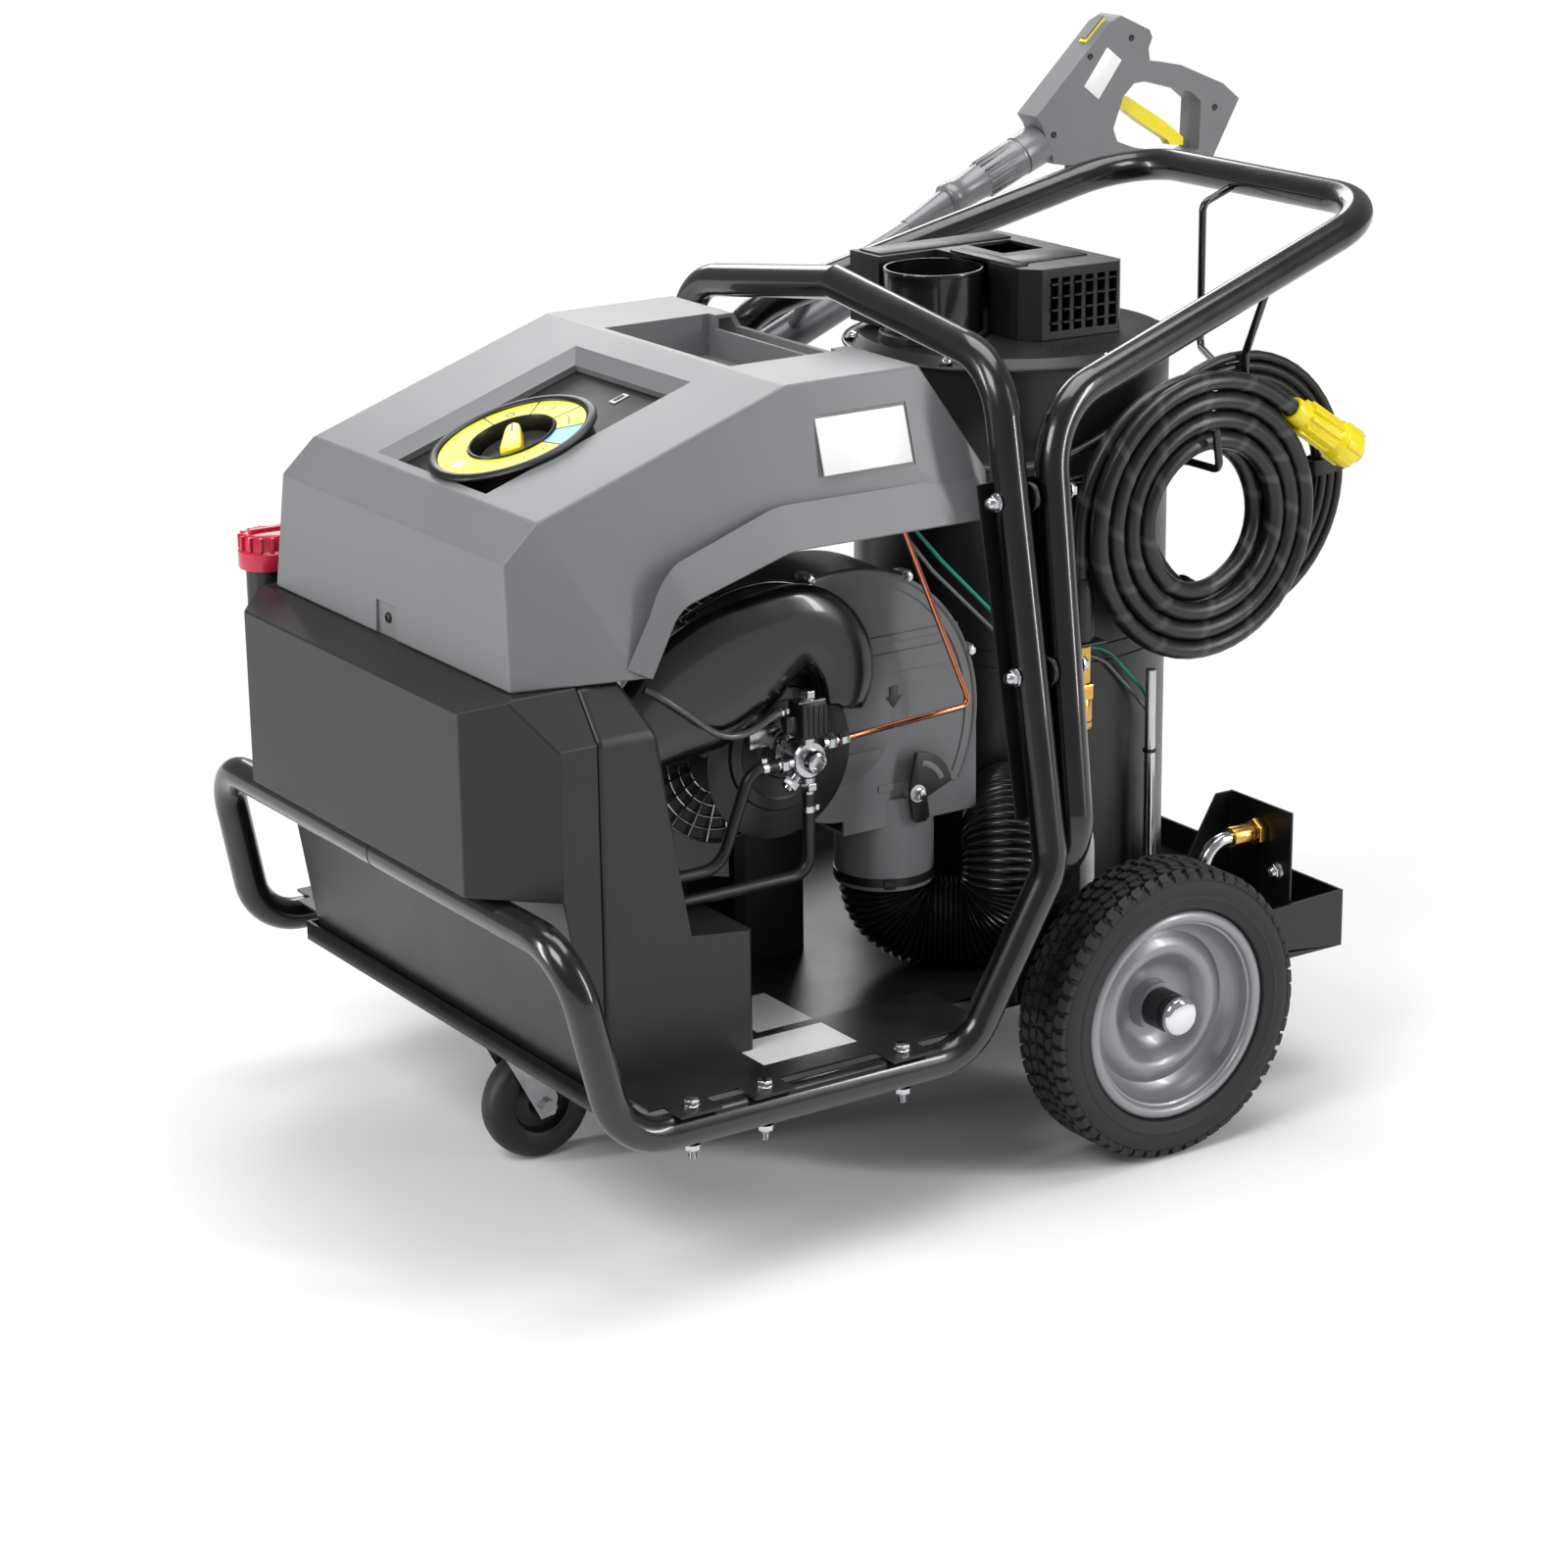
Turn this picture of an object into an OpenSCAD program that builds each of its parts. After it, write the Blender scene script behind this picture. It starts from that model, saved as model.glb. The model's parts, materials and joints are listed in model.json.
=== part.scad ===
// Hot water pressure washer on a wheeled tubular frame, with a hose coil, a cable coil and a spray gun.
// X runs from the front to the handle, Y to the far side and Z up. Sizes are in millimetres.
// Most places are counted from the rear axle, which stands at axle_x.

/* [Overall] */
// Front of the tank, ahead of the rear axle
front_reach = 705; // [700:1:712]
// End of the stored spray gun, behind the rear axle
rear_reach = 621; // [612:1:640]

/* [Frame] */
// Outer diameter of the frame tube
tube_d = 34; // [32:0.5:35]
// Wall of the frame tube
tube_wall = 2.5; // [2:0.1:3.5]
// Bend radius at the tube corners, on the centreline
bend_r = 60; // [52:1:62]
// Bend radius at the handle corners
handle_bend_r = 90; // [80:1:95]
// Height of the handle crossbar's centreline
handle_z = 888; // [875:1:900]
// Half the width of the handle, between centrelines
handle_half_w = 203; // [190:1:210]
// Height of the bumper's centreline
bumper_z = 352; // [345:1:360]
// Diameter of the bolts that hold the frame
frame_bolt_d = 8; // [6:0.5:8]

/* [Tray] */
// Half the width of the tray
tray_half_w = 290; // [289:0.5:291]
// Thickness of the tray's sheet
sheet_t = 3; // [2:0.25:3.5]
// Height of the tray's underside
tray_z = 164; // [162:0.5:165]
// Height of the tray's rim
tray_rim_z = 199; // [192:1:204]

/* [Wheels] */
// Diameter of the rear tyres
tyre_d = 300; // [292:1:300]
// Width of the rear tyres
tyre_w = 76; // [70:0.5:77]
// Clearance between the handle's feet and the tyres
wheel_gap = 8; // [8:0.5:10]
// Diameter of the axle
axle_d = 20; // [16:0.5:20]
// Diameter of the rim's seat in the tyre
rim_d = 216; // [205:1:220]
// Diameter of the caster wheel
caster_d = 116; // [112:1:118]
// Width of the caster wheel
caster_w = 34; // [28:0.5:36]
// Distance from the swivel axis back to the caster's axle
caster_trail = 43; // [38:0.5:44]
// Running clearance of pins and bushes, on the radius
run_fit = 0.05; // [0.02:0.01:0.1]

/* [Tanks] */
// Half the width of the tank shells
tank_half_w = 283; // [272:0.5:284]
// Wall of the moulded tanks
tank_wall = 4; // [3:0.25:5]
// Height of the tanks' top face, under the hood
tank_top_z = 561; // [552:1:562]

/* [Hood] */
// Half the width of the hood
hood_half_w = 262; // [255:0.5:264]
// Wall of the hood
hood_wall = 4; // [3:0.25:5]
// Diameter of the dial's bezel
dial_d = 152; // [140:1:158]
// Depth of the control panel below the hood's face
panel_depth = 18; // [15:0.5:22]

/* [Boiler] */
// Outer diameter of the boiler shell
boiler_d = 324; // [316:1:326]
// Height of the lid's underside
lid_z = 758; // [752:1:762]
// Outer diameter of the exhaust stack
stack_d = 100; // [90:1:102]
// Outer diameter of the flexible duct
duct_d = 92; // [84:1:92]
// Number of ribs on the duct
duct_ribs = 56; // [30:1:60]

/* [Fan] */
// Largest diameter of the fan's scroll housing
scroll_d = 320; // [312:1:322]
// Width of the scroll housing
scroll_w = 84; // [80:0.5:86]

/* [Hose and cable] */
// Outer diameter of the high-pressure hose
hose_d = 19; // [16:0.5:19]
// Radius of the hose coil's outer loops
hose_coil_r = 144; // [138:1:148]
// Turns of the hose coil, over both layers
hose_turns = 7; // [5:1:7]
// Outer diameter of the power cable
cable_d = 10; // [8:0.5:10]
// Radius of the cable coil's outer loops
cable_coil_r = 140; // [134:1:144]
// Turns of the cable coil, over both layers
cable_turns = 5; // [3:1:6]

/* [Spray gun] */
// Thickness of the gun's casing
gun_t = 36; // [30:0.5:38]
// Diameter of the lance tube
lance_d = 16; // [12:0.5:16]
// Length of the lance tube ahead of the gun
lance_len = 560; // [480:5:580]

/* [Hidden] */
$fn = 48;

// The origin lies under the middle of the object, halfway between its front and rear ends
axle_x = (front_reach - rear_reach) / 2;
eps = 0.01;
band_h = 0.05;
band_half = 0.5;
gap = 0.3;

tube_r = tube_d / 2;
axle_z = tyre_d / 2;
bumper_x = -676;
upright_x = -146;
upright_foot_x = -151;
shoulder = [upright_x, 269, 804];
knee = [upright_foot_x, 365, 333];
crown_z = 841;
low_z = tray_z + 1;
low_y = 365;
handle_x = 391;
handle_knee = [-117, 360.5, 355];
handle_shoulder = [-94, 279, 755];
handle_foot = [-114, 312, 290];

boiler_c = [70, 0];
boiler_r = boiler_d / 2;
boiler_foot_z = 206;
stack_c = [-27, 0];
stack_top_z = 843;
tray_floor_z = tray_z + sheet_t;
tray_front_x = -618;
tray_rear_x = 287;
tray_low_z = 138;

function unit(v) = v / norm(v);
function angle_between(u, v) = acos(max(-1, min(1, unit(u) * unit(v))));
function flip_y(p) = [p[0], -p[1], p[2]];
function mix(a, b, k) = a + (b - a) * k;
// The point at height z on the straight line from a to b
function at_height(a, b, z) = mix(a, b, (z - a[2]) / (b[2] - a[2]));
// The point at distance x on the straight line from a to b
function at_x(a, b, x) = mix(a, b, (x - a[0]) / (b[0] - a[0]));

// Everything is drawn from the rear axle's place on the floor
module at_axle() {
    translate([axle_x, 0, 0]) children();
}

// Puts children on the line from p to q, with their Z along it
module along(p, q) {
    d = unit(q - p);
    translate(p) rotate([0, acos(d[2]), atan2(d[1], d[0])]) children();
}

module rod(p, q, r) {
    along(p, q) cylinder(r = r, h = norm(q - p));
}

module ring(r, wall, h) {
    if (wall > 0) difference() {
        cylinder(r = r, h = h);
        translate([0, 0, -1]) cylinder(r = r - wall, h = h + 2);
    }
    else cylinder(r = r, h = h);
}

// A tube or solid rod that runs through points, with a bend of radius bends[i] at each inner point.
// A thin band covers each place where a bend meets a straight part.
module bent_tube(points, bends, r, wall = 0) {
    last = len(points) - 1;
    turns = [for (i = [0:last]) (i == 0 || i == last) ? 0
        : 180 - angle_between(points[i - 1] - points[i], points[i + 1] - points[i])];
    cuts = [for (i = [0:last]) turns[i] == 0 ? 0 : bends[i - 1] * tan(turns[i] / 2)];
    for (i = [0:last - 1]) {
        d = unit(points[i + 1] - points[i]);
        p = points[i] + d * cuts[i];
        q = points[i + 1] - d * cuts[i + 1];
        along(p, q) ring(r, wall, norm(q - p));
        if (i > 0) along(p - d * band_half, p) ring(r + band_h, wall > 0 ? wall + 2 * band_h : 0, 2 * band_half);
        if (i < last - 1) along(q - d * band_half, q) ring(r + band_h, wall > 0 ? wall + 2 * band_h : 0, 2 * band_half);
    }
    for (i = [1:1:last - 1]) {
        u = unit(points[i - 1] - points[i]);
        v = unit(points[i + 1] - points[i]);
        bend = bends[i - 1];
        c = points[i] + unit(u + v) * bend / cos(turns[i] / 2);
        x = unit(points[i] + u * cuts[i] - c);
        y = -u;
        z = cross(x, y);
        multmatrix([[x[0], y[0], z[0], c[0]], [x[1], y[1], z[1], c[1]], [x[2], y[2], z[2], c[2]],
            [0, 0, 0, 1]]) rotate_extrude(angle = turns[i]) translate([bend, 0]) difference() {
                circle(r = r);
                if (wall > 0) circle(r = r - wall);
            }
    }
}

// Points on a path with rounded corners, a short step apart in the bends
function path_points(points, bends) = [for (i = [0:len(points) - 1])
    let (inner = i > 0 && i < len(points) - 1,
        u = inner ? unit(points[i - 1] - points[i]) : [0, 0, 1],
        v = inner ? unit(points[i + 1] - points[i]) : [0, 0, 1],
        turn = inner ? 180 - angle_between(u, v) : 0,
        bend = inner ? bends[i - 1] : 0,
        c = inner ? points[i] + unit(u + v) * bend / cos(turn / 2) : points[i],
        x = inner ? unit(points[i] + u * bend * tan(turn / 2) - c) : [1, 0, 0],
        steps = inner ? 12 : 0)
    for (k = [0:steps]) inner ? c + bend * (x * cos(turn * k / steps) - u * sin(turn * k / steps)) : points[i]];

function path_lengths(path) = [for (i = 0, s = 0; i < len(path);
    s = s + (i + 1 < len(path) ? norm(path[i + 1] - path[i]) : 0), i = i + 1) s];

function point_at(path, lengths, s) = let (
    n = len(path) - 1,
    i = max([0, for (k = [0:n - 1]) if (lengths[k] <= s) k]),
    j = min(i, n - 1),
    span = lengths[j + 1] - lengths[j])
    mix(path[j], path[j + 1], (s - lengths[j]) / span);

// Directions square to each tangent, carried along without twist
function carried(tangents, first) = [for (i = 0, n = unit(cross(cross(tangents[0], first), tangents[0]));
    i < len(tangents);
    n = i + 1 < len(tangents) ? unit(cross(cross(tangents[i + 1], n), tangents[i + 1])) : n, i = i + 1) n];

function path_tangents(path) = let (n = len(path) - 1)
    [for (i = [0:n]) unit(path[min(n, i + 1)] - path[max(0, i - 1)])];

function ring_points(c, t, n, r, sides) = let (b = cross(t, n))
    [for (k = [0:sides - 1]) c + r * (n * cos(360 * k / sides) + b * sin(360 * k / sides))];

// Triangles between neighbouring rings, with the last ring joined to the first when closed is true
function band_faces(rings, sides, closed) = [for (i = [0:rings - (closed ? 1 : 2)]) for (k = [0:sides - 1])
    let (a = i * sides + k,
        b = i * sides + (k + 1) % sides,
        c = ((i + 1) % rings) * sides + k,
        d = ((i + 1) % rings) * sides + (k + 1) % sides)
    for (f = [[a, c, b], [b, c, d]]) f];

// A solid round tube swept along a path
module swept(path, r, sides, first = [0, 0, 1]) {
    t = path_tangents(path);
    n = carried(t, first);
    rings = len(path);
    points = [for (i = [0:rings - 1]) each ring_points(path[i], t[i], n[i], r, sides)];
    caps = concat([for (k = [1:sides - 2]) [0, k, k + 1]],
        [for (k = [1:sides - 2]) [(rings - 1) * sides, (rings - 1) * sides + k + 1, (rings - 1) * sides + k]]);
    polyhedron(points, concat(band_faces(rings, sides, false), caps), convexity = 10);
}

// Half of a mirrored pair: side is -1 for the near side and 1 for the far side
function sided(p, side) = [p[0], p[1] * side, p[2]];

bolt_xs = [-560, -480, -325];
upright_zs = [678, 515];
bolt_hole_r = frame_bolt_d / 2 + 0.2;
tab_z = low_z + tube_r;

module tray_wall(side) {
    outline = [[tray_front_x, tray_z], [-90, tray_z], [-60, tray_low_z], [tray_rear_x, tray_low_z],
        [tray_rear_x, tray_rim_z], [tray_front_x, tray_rim_z]];
    translate([0, side * tray_half_w + (side > 0 ? 0 : sheet_t), 0]) rotate([90, 0, 0])
        linear_extrude(sheet_t) polygon(outline);
}

// Folded sheet tray with a rim all round and bolt tabs that rest on the frame's bottom tubes
module tray() {
    tab_w = 44;
    at_axle() color([0.13, 0.13, 0.14]) difference() {
        union() {
            translate([tray_front_x, -tray_half_w, tray_z])
                cube([tray_rear_x - tray_front_x, 2 * tray_half_w, sheet_t]);
            translate([tray_front_x, -tray_half_w, tray_z])
                cube([sheet_t, 2 * tray_half_w, tray_rim_z - tray_z]);
            translate([tray_rear_x - sheet_t, -tray_half_w, tray_low_z])
                cube([sheet_t, 2 * tray_half_w, tray_rim_z - tray_low_z]);
            for (side = [-1, 1]) {
                tray_wall(side);
                for (x = bolt_xs)
                    translate([x - tab_w / 2, side > 0 ? tray_half_w - sheet_t : -low_y - 18, tab_z])
                        cube([tab_w, low_y + 18 - tray_half_w + sheet_t, sheet_t]);
            }
        }
        for (side = [-1, 1]) {
            for (x = bolt_xs)
                translate([x, side * low_y, tab_z - 1]) cylinder(r = bolt_hole_r, h = sheet_t + 2);
            translate([handle_foot[0], side * tray_half_w, foot_bolt_z]) rotate([90, 0, 0])
                cylinder(r = bolt_hole_r, h = 4 * sheet_t, center = true);
        }
        rotate([90, 0, 0]) translate([0, axle_z, 0])
            cylinder(r = axle_d / 2 + run_fit, h = 2 * tray_half_w + 10, center = true);
        translate([caster_x, 0, tray_z]) for (sx = [-1, 1]) for (sy = [-1, 1])
            translate([sx * caster_bolt_x, sy * caster_bolt_y, -1])
                cylinder(r = caster_bolt_r + 0.2, h = sheet_t + 2);
    }
}

// One half of the welded frame: bumper, bottom tube, upright and half of the top gable
module frame_half(side) {
    route = [for (p = [[bumper_x, 0, bumper_z], [bumper_x, 349, bumper_z], [-636, low_y, low_z],
        [-251, low_y, low_z], knee, shoulder,
        [upright_x, -30, crown_z + 30 * (crown_z - shoulder[2]) / shoulder[1]]]) sided(p, side)];
    at_axle() color([0.10, 0.10, 0.11]) difference() {
        bent_tube(route, [bend_r, bend_r, bend_r, bend_r, bend_r + 10], tube_r, tube_wall);
        translate([upright_x - 100, side > 0 ? -100 : 0, crown_z - 100]) cube([200, 100, 200]);
        for (x = bolt_xs) translate([x, side * low_y, low_z - 2 * tube_r]) cylinder(r = bolt_hole_r, h = 4 * tube_r);
        for (z = upright_zs) {
            p = at_height(knee, shoulder, z);
            translate([p[0] - 2 * tube_r, side * p[1], z]) rotate([0, 90, 0])
                cylinder(r = bolt_hole_r, h = 4 * tube_r);
        }
    }
}

module frame_left() { frame_half(-1); }
module frame_right() { frame_half(1); }

foot_t = 6;
foot_bolt_z = tray_z + 19;
foot_top_z = 262;

// U-shaped handle tube that stands behind the uprights
module handle_tube() {
    side_points = [handle_foot, handle_knee, handle_shoulder, [handle_x, handle_half_w, handle_z]];
    route = concat(side_points, [for (i = [3:-1:0]) flip_y(side_points[i])]);
    at_axle() color([0.10, 0.10, 0.11]) difference() {
        bent_tube(route, [50, 90, handle_bend_r, handle_bend_r, 90, 50], tube_r, tube_wall);
        for (side = [-1, 1]) for (z = upright_zs) {
            p = at_height(handle_knee, handle_shoulder, z);
            translate([p[0] - 2 * tube_r, side * p[1], z]) rotate([0, 90, 0])
                cylinder(r = bolt_hole_r, h = 4 * tube_r);
        }
    }
}

// Flattened ends of the handle tube, bolted to the outside of the tray
module handle_feet() {
    foot_w = 50;
    at_axle() color([0.10, 0.10, 0.11]) for (side = [-1, 1]) {
        plate_y = side > 0 ? tray_half_w : -tray_half_w - foot_t;
        difference() {
            translate([handle_foot[0] - foot_w / 2, plate_y, foot_bolt_z - 14])
                cube([foot_w, foot_t, foot_top_z - foot_bolt_z + 14]);
            translate([handle_foot[0], plate_y - 1, foot_bolt_z]) rotate([-90, 0, 0])
                cylinder(r = bolt_hole_r, h = foot_t + 2);
        }
        hull() {
            translate([handle_foot[0] - foot_w / 2, plate_y, foot_top_z]) cube([foot_w, foot_t, eps]);
            along(sided(handle_foot, side), sided(handle_foot + (handle_foot - handle_knee), side))
                cylinder(r = tube_r, h = eps, $fn = 24);
        }
    }
}

module hex_head(af, h) {
    cylinder(r = af / 2 / cos(30), h = h, $fn = 6);
}

// Bolts, washers and nuts through the tray's tabs and the bottom tubes, and at the handle's feet
module tray_bolts() {
    washer_t = 1.6;
    at_axle() color([0.75, 0.76, 0.78]) for (side = [-1, 1]) {
        for (x = bolt_xs) translate([x, side * low_y, 0]) {
            translate([0, 0, low_z - tube_r - 10]) cylinder(r = frame_bolt_d / 2, h = 2 * tube_r + 10 + sheet_t);
            translate([0, 0, tab_z + sheet_t]) cylinder(r = frame_bolt_d, h = washer_t);
            translate([0, 0, tab_z + sheet_t + washer_t]) hex_head(13, 6);
            translate([0, 0, low_z - tube_r - washer_t]) cylinder(r = frame_bolt_d, h = washer_t);
            translate([0, 0, low_z - tube_r - washer_t - 6.5]) hex_head(13, 6.5);
        }
        translate([handle_foot[0], side * tray_half_w, foot_bolt_z]) rotate([side > 0 ? -90 : 90, 0, 0]) {
            translate([0, 0, -sheet_t]) cylinder(r = frame_bolt_d / 2, h = sheet_t + foot_t);
            translate([0, 0, foot_t]) cylinder(r = 7, h = 4);
            translate([0, 0, -sheet_t - 6]) hex_head(13, 6);
        }
    }
}

// Bolts with domed nuts and round spacers, which tie the uprights to the handle tube
module upright_bolts() {
    at_axle() for (side = [-1, 1]) for (z = upright_zs) {
        p = at_height(knee, shoulder, z);
        q = at_height(handle_knee, handle_shoulder, z);
        front = p[0] - tube_r;
        back = q[0] + tube_r;
        translate([0, side * p[1], z]) rotate([0, 90, 0]) {
            color([0.75, 0.76, 0.78]) {
                translate([0, 0, front - 6]) cylinder(r = frame_bolt_d / 2, h = back - front + 12);
                translate([0, 0, front - 8]) hex_head(13, 7.5);
                translate([0, 0, front - 8]) sphere(r = 5.6);
                translate([0, 0, back + 0.5]) hex_head(13, 5.5);
            }
            color([0.06, 0.06, 0.06]) translate([0, 0, p[0] + tube_r + 0.6]) difference() {
                cylinder(r = 15, h = q[0] - p[0] - 2 * tube_r - 1.8);
                translate([0, 0, -1]) cylinder(r = bolt_hole_r - 0.2, h = 40);
            }
        }
    }
}

module frame_bolts() {
    tray_bolts();
    upright_bolts();
}

// Sheet panels on the inside of the upright tubes
module side_panels() {
    lean = atan2(knee[1] - shoulder[1], shoulder[2] - knee[2]);
    panel_w = 68;
    panel_h = 322;
    at_axle() color([0.09, 0.09, 0.10]) for (side = [-1, 1])
        translate(sided([upright_foot_x, knee[1], knee[2]], side)) rotate([side * lean, 0, 0])
            translate([-22, side > 0 ? -tube_r - 2.05 : tube_r + 0.05, 48]) cube([panel_w, 2, panel_h]);
}

half_track = tray_half_w + foot_t + wheel_gap + tyre_w / 2;
axle_len = 2 * (half_track + 32);
module axle() {
    at_axle() color([0.55, 0.56, 0.58]) translate([0, 0, axle_z]) rotate([90, 0, 0])
        cylinder(r = axle_d / 2, h = axle_len, center = true);
}

rim_seat_r = rim_d / 2;
module tyre(side) {
    r = tyre_d / 2;
    w = tyre_w / 2;
    shoulder_r = 10;
    at_axle() color([0.07, 0.07, 0.07]) translate([0, side * half_track, axle_z]) rotate([90, 0, 0])
        rotate_extrude($fn = 96) union() {
            translate([rim_seat_r, -w + 4]) square([r - rim_seat_r - shoulder_r, 2 * w - 8]);
            translate([rim_seat_r + 6, -w]) square([r - rim_seat_r - shoulder_r - 6, 2 * w]);
            translate([rim_seat_r, -w + shoulder_r]) square([r - rim_seat_r, 2 * w - 2 * shoulder_r]);
            for (s = [-1, 1]) translate([r - shoulder_r, s * (w - shoulder_r)]) circle(r = shoulder_r);
        }
}

hub_r = 24;
bush_r = 17;
// Dished steel rim; its profile is drawn for the outer side at +Z
module rim(side) {
    w = tyre_w / 2 - 4;
    at_axle() color([0.62, 0.63, 0.64]) translate([0, side * half_track, axle_z]) rotate([side > 0 ? -90 : 90, 0, 0])
        rotate_extrude($fn = 96) polygon([[bush_r, -30], [hub_r, -30], [hub_r, -6], [46, -6], [62, 10],
            [rim_seat_r - 12, 14], [rim_seat_r - 6, -w], [rim_seat_r, -w], [rim_seat_r, w], [rim_seat_r + 3, w],
            [rim_seat_r + 3, w + 2], [rim_seat_r - 6, w + 2], [rim_seat_r - 8, 18], [60, 14], [44, -2],
            [hub_r, -2], [hub_r, 24], [bush_r, 24]]);
}

// Plain bush, retaining sleeve and cap at the end of the axle
module hub(side) {
    at_axle() translate([0, side * half_track, axle_z]) rotate([side > 0 ? -90 : 90, 0, 0]) {
        color([0.06, 0.06, 0.06]) difference() {
            union() {
                translate([0, 0, -30]) cylinder(r = bush_r, h = 54);
                translate([0, 0, 24]) cylinder(r = 19, h = 10);
            }
            translate([0, 0, -31]) cylinder(r = axle_d / 2 + run_fit, h = 63.5);
        }
        color([0.85, 0.86, 0.88]) translate([0, 0, 34]) cylinder(r1 = 19.5, r2 = 17.5, h = 4);
    }
}

module tyre_left() { tyre(-1); }
module rim_left() { rim(-1); }
module hub_left() { hub(-1); }
module tyre_right() { tyre(1); }
module rim_right() { rim(1); }
module hub_right() { hub(1); }

caster_x = -517 - caster_trail;
caster_bolt_x = 40;
caster_bolt_y = 30;
caster_bolt_r = 4;
caster_plate_t = 4;
fork_top_z = tray_z - caster_plate_t - 14;
fork_t = 3;
caster_axle_r = 5;
// Top plate with the swivel's bearing housing and kingpin, bolted under the tray
module caster_plate() {
    at_axle() color([0.75, 0.76, 0.78]) translate([caster_x, 0, 0]) {
        translate([-52, -42, tray_z - caster_plate_t]) cube([104, 84, caster_plate_t]);
        for (sx = [-1, 1]) for (sy = [-1, 1]) translate([sx * caster_bolt_x, sy * caster_bolt_y, tray_z])
            cylinder(r = caster_bolt_r, h = sheet_t);
        translate([0, 0, fork_top_z + 0.2]) cylinder(r = 26, h = tray_z - caster_plate_t - fork_top_z - 0.2);
        translate([0, 0, fork_top_z - fork_t - 6]) cylinder(r = 6, h = fork_t + 8);
        translate([0, 0, fork_top_z - fork_t - 6.2]) cylinder(r = 10, h = 6);
    }
}

// Swivelling fork with two plates that reach down to the wheel's axle
module caster_fork() {
    inner = caster_w / 2 + 2;
    plate = [[-16, fork_top_z], [22, fork_top_z], [caster_trail + 13, caster_d / 2 + 8],
        [caster_trail + 10, caster_d / 2 - 10], [caster_trail - 6, caster_d / 2 - 13]];
    at_axle() color([0.75, 0.76, 0.78]) translate([caster_x, 0, 0]) difference() {
        union() {
            translate([0, 0, fork_top_z - fork_t]) intersection() {
                cylinder(r = 26, h = fork_t);
                translate([-30, -inner - fork_t, 0]) cube([60, 2 * (inner + fork_t), fork_t]);
            }
            for (side = [-1, 1]) translate([0, side > 0 ? inner + fork_t : -inner, 0]) rotate([90, 0, 0])
                linear_extrude(fork_t) polygon(plate);
        }
        translate([0, 0, fork_top_z - 10]) cylinder(r = 6 + run_fit, h = 20);
        translate([caster_trail, 0, caster_d / 2]) rotate([90, 0, 0])
            cylinder(r = caster_axle_r + run_fit, h = 2 * caster_w, center = true);
    }
}

module caster_tyre() {
    r = caster_d / 2;
    w = caster_w / 2;
    at_axle() translate([caster_x + caster_trail, 0, r]) rotate([90, 0, 0]) {
        color([0.07, 0.07, 0.07]) rotate_extrude($fn = 64) difference() {
            union() {
                translate([34, -w]) square([r - 34 - 8, 2 * w]);
                translate([34, -w + 8]) square([r - 34, 2 * w - 16]);
                for (s = [-1, 1]) translate([r - 8, s * (w - 8)]) circle(r = 8);
            }
            square([1, 1]);
        }
        color([0.15, 0.15, 0.16]) rotate_extrude($fn = 64) polygon([[caster_axle_r + run_fit, -w - 1.7],
            [12, -w - 1.7], [12, -5], [30, -5], [30, -w + 2], [34, -w + 2], [34, w - 2], [30, w - 2], [30, 5], [12, 5],
            [12, w + 1.7], [caster_axle_r + run_fit, w + 1.7]]);
    }
}

module caster_bolt() {
    reach = caster_w / 2 + 2 + fork_t;
    at_axle() color([0.78, 0.79, 0.81]) translate([caster_x + caster_trail, 0, caster_d / 2]) rotate([90, 0, 0]) {
        cylinder(r = caster_axle_r, h = 2 * reach, center = true);
        translate([0, 0, reach]) hex_head(15, 7);
        translate([0, 0, -reach - 7]) hex_head(15, 7);
    }
}

tank_front_x = -front_reach;
tank_seam_x = -600;
tank_deck_z = 372;
tank_foot_z = 305;
filler_x = -645;
filler_y = tank_half_w - 3;
filler_r = 22;
filler_h = 24;
// Outline of the tank's near and far faces, cut at the seam between the two shells
module tank_side(grow) {
    polygon([[tank_front_x + grow, tank_deck_z + grow], [-640 + grow, tank_deck_z + grow],
        [-606 + grow, tray_floor_z + gap + grow], [-437 - grow, tray_floor_z + gap + grow],
        [-437 - grow, tank_foot_z - grow], [-505 - grow, tank_foot_z + 8 - grow], [-536 - grow, tank_top_z - 46],
        [-556 - grow, tank_top_z - grow], [-668 + grow, tank_top_z - grow],
        [tank_front_x + grow, tank_top_z - 14 - grow]]);
}

// Seen from above, with cut corners at the front
module tank_plan(grow) {
    w = tank_half_w - grow;
    polygon([[tank_front_x + grow, -w + 68], [-640 + grow, -w], [-430, -w], [-430, w], [-640 + grow, w],
        [tank_front_x + grow, w - 68]]);
}

// Seen from the front, with sloping shoulders at the top
module tank_section(grow) {
    w = tank_half_w - grow;
    polygon([[-w, 100], [w, 100], [w, tank_top_z - 46], [w - 36, tank_top_z + 1], [-w + 36, tank_top_z + 1],
        [-w, tank_top_z - 46]]);
}

module tank_block(grow) {
    intersection() {
        rotate([90, 0, 0]) linear_extrude(2 * tank_half_w, center = true) tank_side(grow);
        linear_extrude(2 * tank_top_z) tank_plan(grow);
        rotate([90, 0, 90]) translate([0, 0, tank_front_x - 1]) linear_extrude(400) tank_section(grow);
    }
}

// Front shell, which holds the fuel and carries the filler neck
module front_tank() {
    at_axle() color([0.16, 0.16, 0.17]) difference() {
        union() {
            intersection() {
                tank_block(0);
                translate([tank_front_x, -400, 0]) cube([tank_seam_x - tank_front_x - gap, 800, 800]);
            }
            translate([filler_x, filler_y, tank_top_z - 60]) cylinder(r = filler_r, h = filler_h + 60);
        }
        intersection() {
            tank_block(tank_wall);
            translate([tank_front_x, -400, 0]) cube([tank_seam_x - tank_front_x - gap - tank_wall, 800, 800]);
        }
        translate([filler_x, filler_y, tank_top_z - 56]) cylinder(r = filler_r - 4, h = 100);
    }
}

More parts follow.
